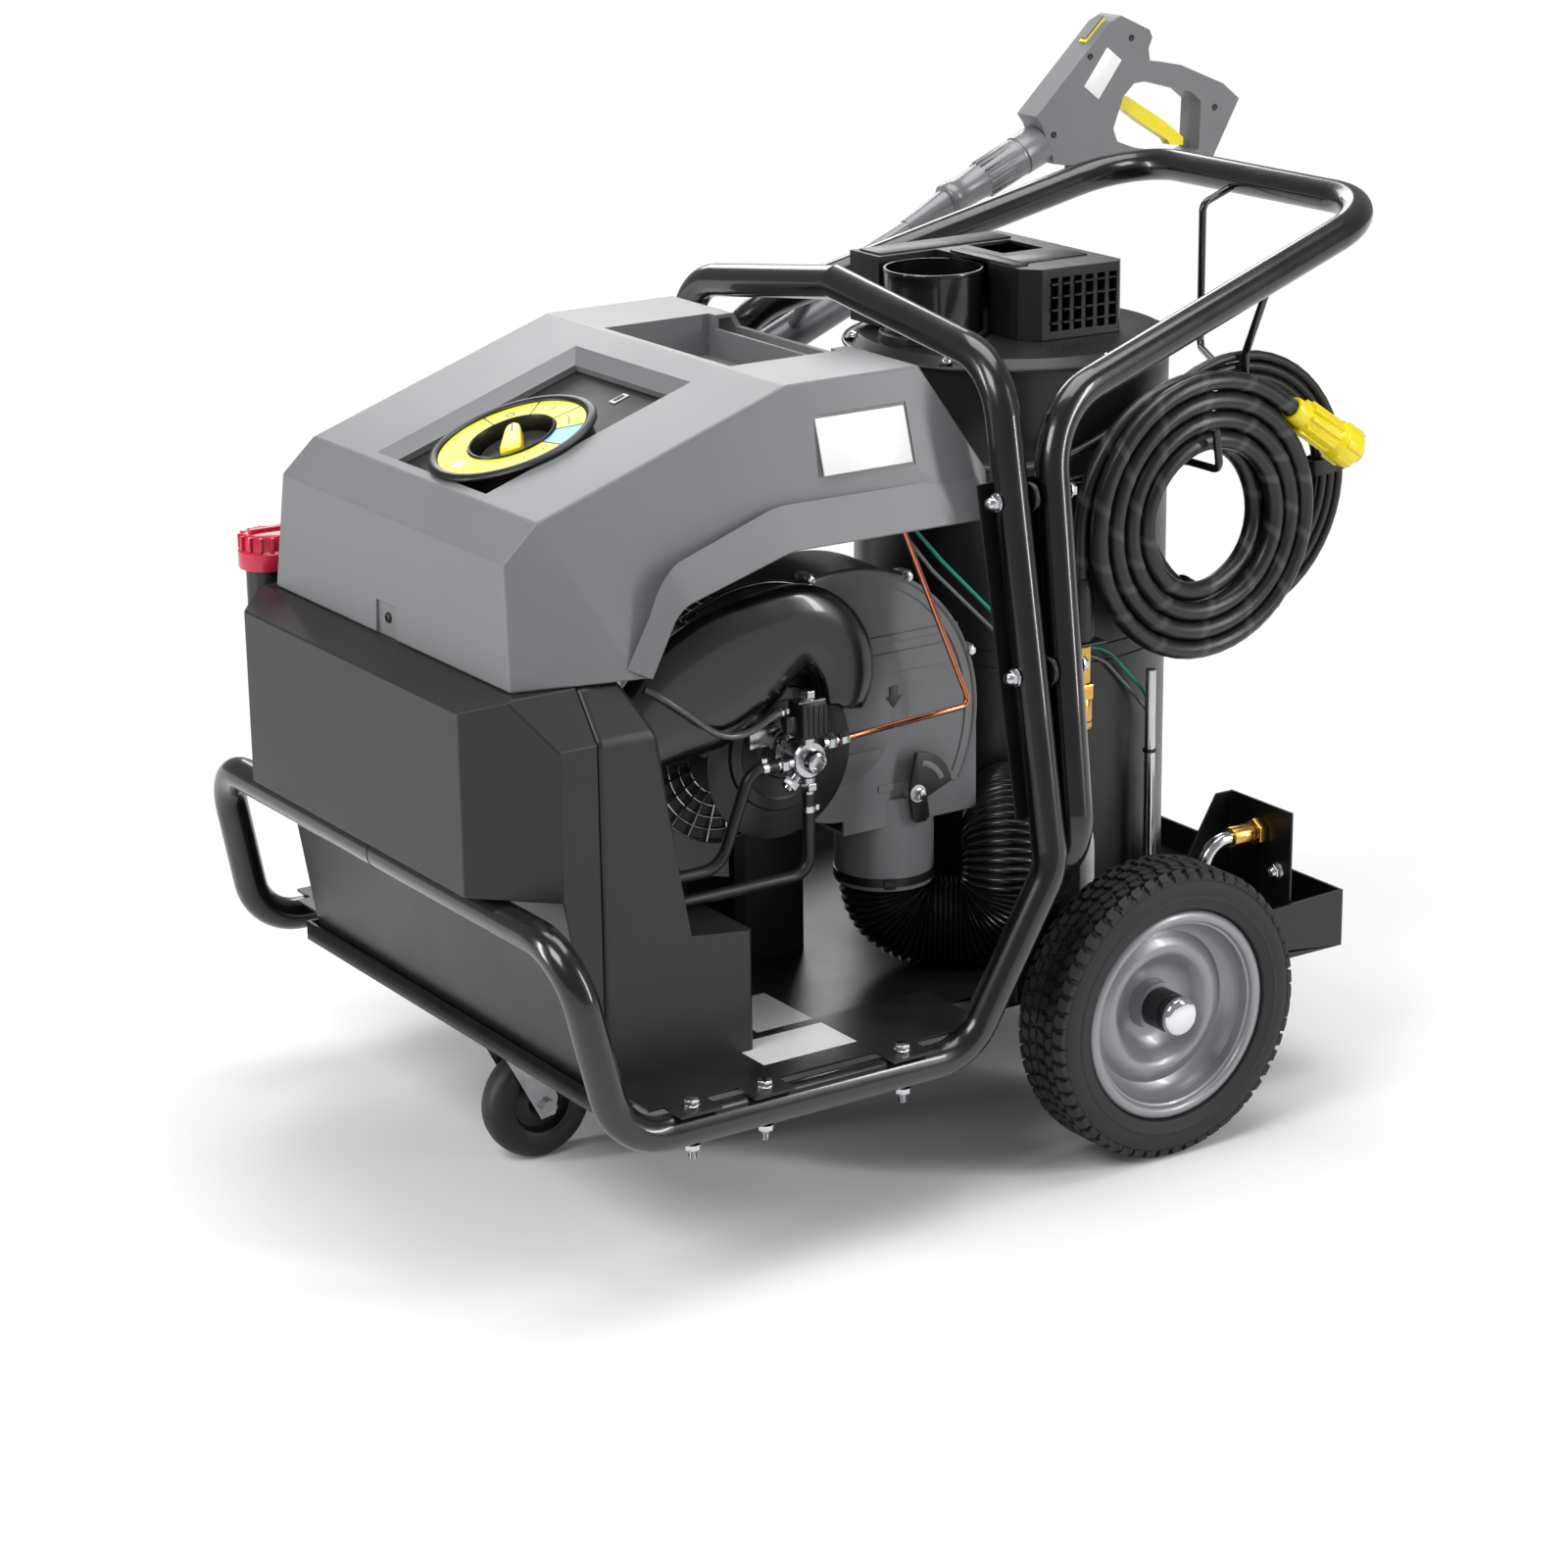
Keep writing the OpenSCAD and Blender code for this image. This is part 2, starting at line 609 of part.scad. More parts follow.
// Rear shell, which holds the water float tank
module rear_tank() {
    at_axle() color([0.19, 0.19, 0.20]) difference() {
        intersection() {
            tank_block(0);
            translate([tank_seam_x, -400, 0]) cube([300, 800, 800]);
        }
        intersection() {
            tank_block(tank_wall);
            translate([tank_seam_x + tank_wall, -400, 0]) cube([300, 800, 800]);
        }
        for (p = fuel_hose_ports) translate([p[0] - 30, p[1], p[2]]) rotate([0, 90, 0])
            cylinder(r = fuel_hose_d / 2 + 0.2, h = 60);
    }
}

cap_z = tank_top_z + filler_h + gap;
module fuel_cap() {
    at_axle() color([0.75, 0.12, 0.18]) translate([filler_x, filler_y, cap_z]) {
        difference() {
            translate([0, 0, -16]) cylinder(r = filler_r + 7, h = 20);
            translate([0, 0, -17]) cylinder(r = filler_r + 0.4, h = 17);
        }
        translate([0, 0, 4]) cylinder(r = filler_r + 3, h = 16);
        for (k = [0:11]) rotate(30 * k) translate([filler_r + 2, -2, 4]) cube([4, 4, 14]);
    }
}

hood_front_z = tank_top_z + gap;
slope_foot = [-619, 710];
slope_top = [-350, 801];
slope_a = atan2(slope_top[1] - slope_foot[1], slope_top[0] - slope_foot[0]);
hood_roof_w = hood_half_w - 44;
// Corner points of one side of the hood, moved inwards by a wall's thickness
function hood_points(side, inset) = [
    for (p = [[-660, hood_half_w - 29, hood_front_z], [-654, hood_roof_w, 678],
            [slope_foot[0], hood_roof_w, slope_foot[1]], [slope_top[0], hood_roof_w, slope_top[1]],
            [-200, hood_roof_w, slope_top[1]], [-143, hood_half_w - 15, 700], [-150, hood_half_w, 655],
            [-150, hood_half_w, hood_front_z], [-540, hood_half_w, hood_front_z]])
        [p[0] + (p[0] < -400 ? inset : -inset), side * (p[1] - inset), p[2] - (p[2] > 600 ? inset : 0)]];

// The hood's outer or inner shape without the arch at its foot
module hood_solid(inset) {
    corners = concat(hood_points(-1, inset), hood_points(1, inset));
    hull() polyhedron(corners, [[for (i = [0:len(corners) - 1]) i]]);
}

module hood_arch() {
    rotate([90, 0, 0]) linear_extrude(2 * hood_half_w + 2, center = true)
        polygon([[-530, hood_front_z - 5], [-500, 622], [-378, 657], [-170, 655], [-140, 678], [-100, 600],
            [-140, hood_front_z - 5]]);
}

module hood_block(inset) {
    difference() {
        hood_solid(inset);
        hood_arch();
    }
}

module on_slope() {
    translate([slope_foot[0], 0, slope_foot[1]]) rotate([0, -slope_a, 0]) children();
}

panel_s = [12, 248];
panel_y = [-107, 104];
dial_c = [91, -28];
shelf_x = [-345, -222];
shelf_y = [-115, 115];
shelf_z = 758;
// Moulded hood with a recess for the control panel and a storage shelf, open to the rear, at the top
module hood() {
    panel_box = [panel_s[1] - panel_s[0], panel_y[1] - panel_y[0]];
    at_axle() color([0.52, 0.52, 0.52]) difference() {
        union() {
            difference() {
                hood_block(0);
                translate([0, 0, -eps]) hood_block(hood_wall);
            }
            intersection() {
                hood_block(0);
                on_slope() translate([panel_s[0] - 3, panel_y[0] - 3, -panel_depth])
                    cube([panel_box[0] + 6, panel_box[1] + 6, 60]);
            }
            intersection() {
                hood_block(0);
                translate([shelf_x[0] - hood_wall, shelf_y[0] - hood_wall, shelf_z - hood_wall])
                    cube([shelf_x[1] - shelf_x[0] + 2 * hood_wall, shelf_y[1] - shelf_y[0] + 2 * hood_wall, 80]);
            }
        }
        on_slope() translate([panel_s[0], panel_y[0], -panel_depth - 10])
            cube([panel_box[0], panel_box[1], 80]);
        translate([shelf_x[0], shelf_y[0], shelf_z])
            cube([shelf_x[1] - shelf_x[0], shelf_y[1] - shelf_y[0], 80]);
        translate([shelf_x[1] - 1, shelf_y[0] + 12, slope_top[1] - 14])
            cube([80, shelf_y[1] - shelf_y[0] - 24, 40]);
        translate([-664, -18, hood_front_z - 1]) cube([8, 40, 34]);
        for (side = [-1, 1]) on_side(side) translate([0, 0, 2.5])
            cube([badge_w + 6, badge_h + 6, 3], center = true);
    }
}

badge_x = -275;
badge_z = 742;
badge_w = 100;
badge_h = 54;
side_lean = atan2(hood_half_w - hood_roof_w, slope_top[1] - 655);
// Puts children on the hood's leaning side, with Z outwards and Y up
module on_side(side) {
    lean_y = mix(hood_half_w, hood_roof_w, (badge_z - 655) / (slope_top[1] - 655));
    translate([badge_x, side * lean_y, badge_z]) rotate([side < 0 ? 90 - side_lean : -90 + side_lean, 0, 0])
        translate([0, 0, -2.4]) children();
}

// Black panel below the recess in the hood's slope, with the dial's bearing
module control_panel() {
    at_axle() color([0.06, 0.06, 0.06]) on_slope() difference() {
        union() {
            translate([panel_s[0] - 10, panel_y[0] - 10, -panel_depth - 3.3])
                cube([panel_s[1] - panel_s[0] + 20, panel_y[1] - panel_y[0] + 20, 3]);
            translate([dial_c[0], dial_c[1], -panel_depth - 15]) cylinder(r = 12, h = 14);
        }
        translate([dial_c[0], dial_c[1], -panel_depth - 20]) cylinder(r = dial_shaft_r + run_fit, h = 30);
    }
}

dial_shaft_r = 5;
cup_r = 38;
bezel_top = 3;
cup_floor = -13;
// Raised ring round the dial, with a recessed scale and a cup for the knob
module dial_ring() {
    r = dial_d / 2;
    scale_top = bezel_top - 2;
    at_axle() on_slope() translate([dial_c[0], dial_c[1], 0]) {
        color([0.08, 0.08, 0.09]) rotate_extrude($fn = 96) polygon([[dial_shaft_r + run_fit, -panel_depth - 0.3],
            [r, -panel_depth - 0.3], [r, bezel_top - 3], [r - 3, bezel_top], [r - 6, bezel_top],
            [r - 6, scale_top - 2], [cup_r + 2, scale_top - 2], [cup_r + 2, bezel_top], [cup_r, bezel_top],
            [cup_r, cup_floor], [dial_shaft_r + run_fit, cup_floor]]);
        color([0.95, 0.85, 0.05]) translate([0, 0, scale_top - 1.9]) ring(r - 6.1, r - 6.1 - cup_r - 2.1, 1.9);
    }
}

// Selector knob with its pointer grip and shaft
module dial_knob() {
    at_axle() on_slope() translate([dial_c[0], dial_c[1], 0]) {
        color([0.10, 0.10, 0.10]) {
            translate([0, 0, cup_floor + 0.3]) cylinder(r = cup_r - 2, h = 5);
            translate([0, 0, -panel_depth - 14]) cylinder(r = dial_shaft_r, h = panel_depth + 14 + cup_floor + 1);
        }
        color([0.90, 0.82, 0.10]) rotate(dial_rest_a) translate([-30, -8, cup_floor + 5.3]) cube([60, 16, 17]);
    }
}
dial_rest_a = 100;

// Closed box under the storage shelf, where the wires and the fuel line end
module junction_box() {
    at_axle() color([0.12, 0.12, 0.13]) translate([-335, -222, 668])
        cube([130, 200, shelf_z - hood_wall - gap - 668]);
}

scroll_c = [-255, 0, 440];
scroll_y = -167;
scroll_back_y = scroll_y + scroll_w;
scroll_r = scroll_d / 2;
scroll_small_r = 95;
scroll_wall = 3;
motor_r = 80;
motor_neck_r = 36;
cowl_c = [-335, 0, 408];
guard_r = 92;
// Electric motor across the machine, with its cooling cowl and its two feet on the tray
module motor() {
    front_y = scroll_back_y + 22;
    at_axle() color([0.30, 0.31, 0.33]) difference() {
        union() {
            translate([scroll_c[0], front_y, scroll_c[2]]) rotate([-90, 0, 0]) cylinder(r = motor_r, h = 180);
            translate([scroll_c[0], scroll_back_y + gap, scroll_c[2]]) rotate([-90, 0, 0])
                cylinder(r = motor_neck_r, h = 40);
            translate([cowl_c[0], scroll_back_y + 8, cowl_c[2]]) rotate([-90, 0, 0])
                cylinder(r = guard_r, h = 40);
            for (y = [front_y + 20, front_y + 130]) translate([scroll_c[0] - 35, y, tray_floor_z])
                cube([70, 20, scroll_c[2] - motor_r - tray_floor_z + 40]);
        }
        translate([scroll_c[0], scroll_back_y, scroll_c[2]]) rotate([-90, 0, 0])
            cylinder(r = 7 + run_fit, h = 80);
    }
}

pump_y = scroll_back_y + 22 + 180 + gap;
// High-pressure pump on the motor's far end
module pump() {
    at_axle() color([0.45, 0.46, 0.48]) {
        translate([scroll_c[0], pump_y, scroll_c[2]]) rotate([-90, 0, 0]) cylinder(r = 62, h = 60);
        translate([scroll_c[0] - 52, pump_y + 60, scroll_c[2] - 40]) cube([104, 56, 88]);
        for (k = [-1:1]) translate([scroll_c[0] + 32 * k, pump_y + 88, scroll_c[2] + 48])
            cylinder(r = 12, h = 10);
    }
}

// Spiral outline of the fan's housing, seen from the near side
module scroll_outline(grow) {
    outer = scroll_r + grow;
    circle(r = scroll_small_r + grow);
    intersection() {
        circle(r = outer);
        translate([-outer, grow < 0 ? 0.01 : -0.01]) square([2 * outer, outer]);
    }
    translate([0, -110 - grow]) square([outer, 115]);
}

neck_c = [-178, scroll_y + scroll_w / 2];
neck_r = duct_d / 2 + 4;
neck_z = 262;
// Spiral fan housing; the duct is plugged into its outlet neck
module scroll_housing() {
    at_axle() color([0.27, 0.27, 0.28]) difference() {
        union() {
            difference() {
                translate([scroll_c[0], scroll_back_y, scroll_c[2]]) rotate([90, 0, 0])
                    linear_extrude(scroll_w) scroll_outline(0);
                translate([scroll_c[0], scroll_back_y - scroll_wall, scroll_c[2]]) rotate([90, 0, 0])
                    linear_extrude(scroll_w - 2 * scroll_wall) scroll_outline(-scroll_wall);
            }
            translate([neck_c[0], neck_c[1], neck_z]) cylinder(r = neck_r, h = duct_top_z + 4 - neck_z);
            translate([flap_c[0], scroll_y - flap_out, flap_c[2]]) rotate([-90, 0, 0]) cylinder(r = 8, h = 14 + flap_out);
        }
        translate([neck_c[0], neck_c[1], neck_z - 1]) cylinder(r = duct_d / 2 + gap, h = duct_top_z + 1 - neck_z);
        translate([neck_c[0], neck_c[1], duct_top_z - 1]) cylinder(r = duct_d / 2 - 7, h = 20);
        translate([scroll_c[0], scroll_y - 10, scroll_c[2]]) rotate([-90, 0, 0]) cylinder(r = 50, h = 30);
        translate([scroll_c[0], scroll_y + 40, scroll_c[2]]) rotate([-90, 0, 0]) cylinder(r = 9, h = 60);
        translate([flap_c[0], scroll_y - flap_out - 1, flap_c[2]]) rotate([-90, 0, 0])
            cylinder(r = flap_pin_r + run_fit, h = 12);
    }
}

// Drum impeller on the motor's shaft
module impeller() {
    r = scroll_small_r - 10;
    at_axle() color([0.6, 0.61, 0.62]) translate([scroll_c[0], scroll_y, scroll_c[2]]) rotate([-90, 0, 0]) {
        translate([0, 0, scroll_w - 16]) cylinder(r = r, h = 3);
        translate([0, 0, 12]) ring(r, 4, scroll_w - 28);
        translate([0, 0, 14]) cylinder(r = 7, h = scroll_w + 40);
    }
}

// Round wire guard in front of the motor's cooling fan
module fan_guard() {
    wire = 3;
    at_axle() color([0.72, 0.73, 0.75]) difference() {
        translate([cowl_c[0], scroll_back_y + 8 - gap, cowl_c[2]]) rotate([90, 0, 0]) {
            for (r = [guard_r - 2, guard_r - 24, guard_r - 46]) ring(r, wire, wire);
            for (k = [0:15]) rotate(22.5 * k + 8) translate([guard_r - 50, -wire / 2, 0])
                cube([46, wire, wire]);
        }
        translate([scroll_c[0], scroll_back_y - 1, scroll_c[2]]) rotate([-90, 0, 0])
            cylinder(r = motor_neck_r + 1, h = 20);
    }
}

cover_front_y = scroll_y - 41.5;
module cover_outline() {
    difference() {
        union() {
            translate([-347, 506]) circle(r = 98);
            translate([-482, 440]) square([135, 145]);
        }
        translate([-338, 465]) circle(r = 50);
        translate([-388, 380]) square([200, 72]);
    }
}

// Hooked cover of the air intake, on the near face of the fan
module intake_cover() {
    at_axle() color([0.05, 0.05, 0.06]) difference() {
        translate([0, scroll_y - gap, 0]) rotate([90, 0, 0]) linear_extrude(scroll_y - gap - cover_front_y)
            cover_outline();
        translate([-347, scroll_y + 4, 530]) rotate([90, 0, 0]) cylinder(r = 55, h = 36);
    }
}

pump_c = [-328, -215, 435];
fuel_pump_r = 17;
// Fuel pump with its ports, on a round bearing plate
module fuel_pump() {
    plate_r = 62;
    at_axle() {
        color([0.05, 0.05, 0.06]) translate([0, scroll_y - gap, 0]) rotate([90, 0, 0])
            linear_extrude(8) difference() {
                translate([pump_c[0], pump_c[2]]) circle(r = plate_r);
                cover_outline();
            }
        color([0.72, 0.73, 0.74]) {
            translate([pump_c[0], scroll_y - gap - 8, pump_c[2]]) rotate([90, 0, 0]) {
                cylinder(r = 24, h = 16);
                cylinder(r = fuel_pump_r, h = 52);
                cylinder(r = 11, h = 66);
            }
            translate([pump_c[0] - 44, scroll_y - gap - 14, pump_c[2] + 8]) cube([36, 7, 20]);
            translate([pump_c[0] - 36, pump_c[1], pump_c[2]]) rotate([0, 90, 0]) cylinder(r = 6, h = 20);
            translate([pump_c[0], pump_c[1], pump_c[2] - 34]) cylinder(r = 6, h = 20);
            translate([pump_c[0] + 10, pump_c[1], pump_c[2] + 13]) rotate([0, 90, 0]) cylinder(r = 6, h = 24);
        }
    }
    magnet_valve();
}

// Solenoid valve on top of the fuel pump
module magnet_valve() {
    at_axle() translate([pump_c[0], pump_c[1], pump_c[2] + fuel_pump_r]) {
        color([0.8, 0.65, 0.3]) cylinder(r = 7, h = 6);
        color([0.25, 0.25, 0.26]) translate([-15, -13, 6]) cube([30, 26, 36]);
        color([0.78, 0.79, 0.8]) translate([0, 0, 42]) hex_head(14, 8);
    }
}

// Rigid fuel line from the pump up to the burner
module copper_pipe() {
    start = [pump_c[0] + 34, pump_c[1], pump_c[2] + 13];
    at_axle() color([0.85, 0.50, 0.32]) bent_tube([start, [-137, -215, 456], [-219.5, -204, 666.5]],
        [8], 3);
}

fuel_hose_d = 12;
fuel_hose_ports = [[-505, -215, 345], [-505, -215, 320]];
// Flexible fuel lines between the pump and the tank, held at both ends
module fuel_hoses() {
    left = [pump_c[0] - 36, pump_c[1], pump_c[2]];
    low = [pump_c[0], pump_c[1], pump_c[2] - 34];
    r = fuel_hose_d / 2;
    at_axle() color([0.05, 0.05, 0.05]) {
        bent_tube([left, left - [30, 0, 0], [-430, -215, 345], [-512, -215, 345]], [22, 30], r);
        bent_tube([low, [low[0], low[1], 320], [-512, -215, 320]], [20], r);
    }
}

flap_c = [-178, 0, 364];
flap_out = 12;
flap_pin_r = 4;
// Quadrant lever of the air flap, with its clamping bolt
module air_flap() {
    at_axle() translate([flap_c[0], scroll_y - flap_out, flap_c[2]]) {
        color([0.33, 0.33, 0.34]) rotate([90, 0, 0]) difference() {
            translate([0, 0, 0.5]) linear_extrude(4) polygon([for (k = [0:8]) 40 * [cos(10 + 10 * k), sin(10 + 10 * k)],
                [-8, 4], [-4, -26], [14, -24]]);
            translate([0, 0, -1]) cylinder(r = flap_pin_r - eps, h = 9);
        }
        color([0.8, 0.81, 0.83]) rotate([-90, 0, 0]) {
            translate([0, 0, -8]) cylinder(r = 7, h = 3.5);
            translate([0, 0, -8]) cylinder(r = flap_pin_r, h = 17);
        }
    }
}

duct_dir = [-0.6, -0.8, 0];
duct_bend = duct_d / 2 + 1;
duct_floor_z = tray_floor_z + duct_d / 2 + 1.5;
duct_top_z = duct_floor_z + duct_bend + duct_d;
duct_z = duct_floor_z + 2 * duct_bend;
duct_end_r = 110;
duct_far = [boiler_c[0], boiler_c[1], 0] + duct_dir * (duct_end_r + duct_d + duct_bend);
duct_route = [[neck_c[0], neck_c[1], duct_top_z], [neck_c[0], neck_c[1], duct_floor_z],
    [duct_far[0], duct_far[1], duct_floor_z], [duct_far[0], duct_far[1], duct_z + 0.5],
    [boiler_c[0], boiler_c[1], duct_z + 0.5] + duct_dir * duct_end_r];
duct_wall = 5;
duct_rib_h = 2.5;
// Ribbed hose: each rib has a crest and a root ring, and the bore is smooth
module flex_duct() {
    sides = 8;
    path = path_points(duct_route, [duct_bend, duct_bend, duct_bend]);
    lengths = path_lengths(path);
    total = lengths[len(lengths) - 1];
    pitch = total / duct_ribs;
    stations = [for (k = [0:2 * duct_ribs]) min(total, pitch * k / 2)];
    centres = [for (s = stations) point_at(path, lengths, s)];
    tangents = path_tangents(centres);
    normals = carried(tangents, [1, 0.3, 0]);
    count = len(centres);
    r = duct_d / 2;
    bore = [for (k = [0:6:2 * duct_ribs]) k];
    bore_rings = bore[len(bore) - 1] == 2 * duct_ribs ? bore : concat(bore, [2 * duct_ribs]);
    outer = [for (i = [0:count - 1]) each ring_points(centres[i], tangents[i], normals[i],
        r - (i % 2 == 0 ? duct_rib_h : 0), sides)];
    inner = [for (j = [len(bore_rings) - 1:-1:0]) let (i = bore_rings[j])
        each ring_points(centres[i], tangents[i], normals[i], r - duct_wall - duct_rib_h, sides)];
    rings = count + len(bore_rings);
    at_axle() color([0.10, 0.10, 0.10]) polyhedron(concat(outer, inner), band_faces(rings, sides, true),
        convexity = 20);
}

// Clearance round the duct where it passes into the boiler
module duct_hole() {
    along(duct_route[4] - duct_dir * 0.5, duct_route[4] + duct_dir) cylinder(r = duct_d / 2 + 1, h = 150);
}

// Insulated boiler jacket with a hole for the duct
module boiler_shell() {
    wall = 4;
    top = lid_z - gap;
    at_axle() color([0.14, 0.14, 0.15]) difference() {
        translate([boiler_c[0], boiler_c[1], 0]) union() {
            translate([0, 0, boiler_foot_z]) cylinder(r = boiler_r, h = top - boiler_foot_z, $fn = 96);
            for (z = [451, 468]) translate([0, 0, z]) cylinder(r = boiler_r + 1.5, h = 3, $fn = 96);
        }
        translate([boiler_c[0], boiler_c[1], boiler_foot_z - 1]) cylinder(r = boiler_r - wall, h = top, $fn = 96);
        duct_hole();
    }
}

// Foot of the boiler, with the air box that the duct blows into
module boiler_base() {
    box_r = duct_d / 2 + 4;
    at_axle() color([0.10, 0.10, 0.11]) difference() {
        union() {
            translate([boiler_c[0], boiler_c[1], tray_floor_z]) {
                cylinder(r = boiler_r - 10, h = boiler_foot_z - tray_floor_z - gap);
                translate([0, 0, 30]) cylinder(r = boiler_r - 1, h = boiler_foot_z - tray_floor_z - 30 - gap);
            }
            along(duct_route[4], duct_route[4] - duct_dir) cylinder(r = box_r, h = 40);
            translate([boiler_c[0] - 66, boiler_c[1] - 72, boiler_foot_z - 10]) cube([50, 50, 80]);
        }
        duct_hole();
        along(duct_route[4] + duct_dir, duct_route[4]) cylinder(r = duct_d / 2 - 8, h = 31);
    }
}

module heating_coil() {
    at_axle() color([0.55, 0.53, 0.50]) translate([boiler_c[0] + 8, boiler_c[1], 380]) ring(128, 22, 280);
}

burner_c = [boiler_c[0] + 55, 0];
cover_z = lid_z + 17;
// Domed lid with a flange, a cover pad, and openings for the stack and the burner
module burner_lid() {
    at_axle() {
        color([0.12, 0.12, 0.13]) difference() {
            union() {
                translate([boiler_c[0], boiler_c[1], lid_z]) rotate_extrude($fn = 96) polygon([[0, 0],
                    [boiler_r + 10, 0], [boiler_r + 10, 3], [boiler_r + 2, 3], [boiler_r - 6, 11], [boiler_r - 40, 17],
                    [0, 17]]);
                translate([stack_c[0], stack_c[1], lid_z + 6]) cylinder(r = stack_d / 2 + 6, h = 11);
            }
            translate([stack_c[0], stack_c[1], lid_z - 1]) cylinder(r = stack_d / 2 + gap, h = 30);
            translate([burner_c[0], burner_c[1], lid_z - 1]) cylinder(r = 30 + gap, h = 30);
        }
        color([0.78, 0.79, 0.8]) for (k = [0:5]) translate([boiler_c[0], boiler_c[1], lid_z + 3]) rotate(30 + 60 * k)
            translate([boiler_r + 4.5, 0, 0]) cylinder(r = 4, h = 3);
    }
    burner_tube();
}

module exhaust_stack() {
    at_axle() color([0.09, 0.09, 0.10]) translate([stack_c[0], stack_c[1], lid_z - 40])
        ring(stack_d / 2, 2, stack_top_z - lid_z + 40);
}

module burner_tube() {
    at_axle() color([0.6, 0.6, 0.58]) translate([burner_c[0], burner_c[1], lid_z - 90]) {
        cylinder(r = 30, h = 107);
        translate([-17, 0, 107.2]) cylinder(r = 22, h = 45);
    }
}

// Vented cover over the burner, cut away round the stack
module burner_cover() {
    outline = [[20, -80], [36, -98], [128, -104], [136, -96], [136, 112], [-52, 112], [-52, 60], [20, 60]];
    inner = [[24, -78], [38, -94], [126, -100], [132, -94], [132, 108], [-48, 108], [-48, 64], [24, 64]];
    h = 72;
    at_axle() color([0.13, 0.13, 0.14]) translate([0, 0, cover_z + gap]) difference() {
        linear_extrude(h) polygon(outline);
        translate([0, 0, -1]) linear_extrude(h - 3) polygon(inner);
        translate([stack_c[0], stack_c[1], -1]) cylinder(r = stack_d / 2 + 6, h = h + 20);
        for (k = [0:5]) translate([46 + 14 * k, -120, 8]) cube([9, 40, h - 18]);
        translate([60, 0, h - 8]) cube([52, 60, 20]);
    }
}

// Earth wire and burner cable, from the junction box round the boiler and down to the tray
module wires() {
    foot_z = tray_floor_z + gap;
    at_axle() {
        color([0.05, 0.55, 0.48]) bent_tube([[-214, -190, 667], [-150, -186, 596], [-34, -176, 484],
            [62, -172, 472], [128, -168, 402], [126, -172, foot_z]], [60, 60, 60, 40], 2);
        color([0.8, 0.8, 0.8]) bent_tube([[-222, -180, 667], [-156, -178, 586], [-38, -170, 474],
            [60, -166, 462], [134, -164, 382], [134, -168, foot_z]], [60, 60, 60, 40], 2);
    }
}

outlet_x = boiler_c[0] - 66;
outlet_y = -206;
outlet_top_z = 560;
// Brass outlet body with its union nut and side port
module outlet_fitting() {
    at_axle() color([0.78, 0.62, 0.30]) translate([outlet_x, outlet_y, 0]) {
        translate([0, 0, 452]) cylinder(r = 11, h = 40);
        translate([0, 0, 436]) hex_head(26, 16);
        translate([0, 0, 404]) cylinder(r = 13, h = 32);
        translate([0, 0, 396]) cylinder(r = 8, h = 8);
        translate([-18, 0, 466]) rotate([0, 90, 0]) cylinder(r = 7, h = 18);
    }
}

// Clear low-pressure hose under the outlet, and the steel pipe beside it
module outlet_pipes() {
    at_axle() {
        color([0.75, 0.75, 0.75]) bent_tube([[outlet_x, outlet_y, 396], [outlet_x, outlet_y, 330],
            [outlet_x + 14, outlet_y + 2, 280], [outlet_x + 14, outlet_y + 2, tray_floor_z + gap]], [60, 60], 7.5, 1.5);
        color([0.7, 0.71, 0.72]) bent_tube([[116, -180, 440], [116, -180, 230], [124, -190, tray_floor_z + gap]], [60], 5.5, 1);
    }
}

inlet_x = 220;
inlet_y = -236;
inlet_z = 262;
// Folded sheet that carries the outlet on the boiler
module outlet_sheet() {
    difference() {
        union() {
            translate([outlet_x - 22, outlet_y - 16, 492.2]) cube([44, 46, 3]);
            translate([outlet_x - 22, outlet_y + 27, 492.2]) cube([44, 3, 34]);
            difference() {
                translate([outlet_x - 22, outlet_y + 29, 492.2]) cube([44, 60, 3]);
                translate([boiler_c[0], boiler_c[1], 480]) cylinder(r = boiler_r + 0.2, h = 40, $fn = 96);
            }
        }
        translate([outlet_x, outlet_y, 480]) cylinder(r = 9, h = 30);
    }
}

// Folded sheet at the tray's rear corner, which carries the water inlet
module inlet_sheet() {
    difference() {
        union() {
            translate([inlet_x, -283, tray_floor_z]) cube([3, 98, 126]);
            translate([inlet_x - 60, -188, tray_floor_z]) cube([60 + 3, 3, 60]);
            translate([inlet_x, -185, tray_floor_z + 60]) rotate([90, 0, 0]) linear_extrude(3)
                polygon([[-60, -eps], [3, -eps], [3, 66], [-20, 66]]);
        }
        translate([inlet_x - 1, inlet_y, inlet_z]) rotate([0, 90, 0]) cylinder(r = 10.2, h = 6);
        translate([inlet_x - 1, -264, 226]) rotate([0, 90, 0]) cylinder(r = 4.2, h = 6);
    }
}

module water_brackets() {
    at_axle() color([0.09, 0.09, 0.10]) {
        outlet_sheet();
        inlet_sheet();
    }
}

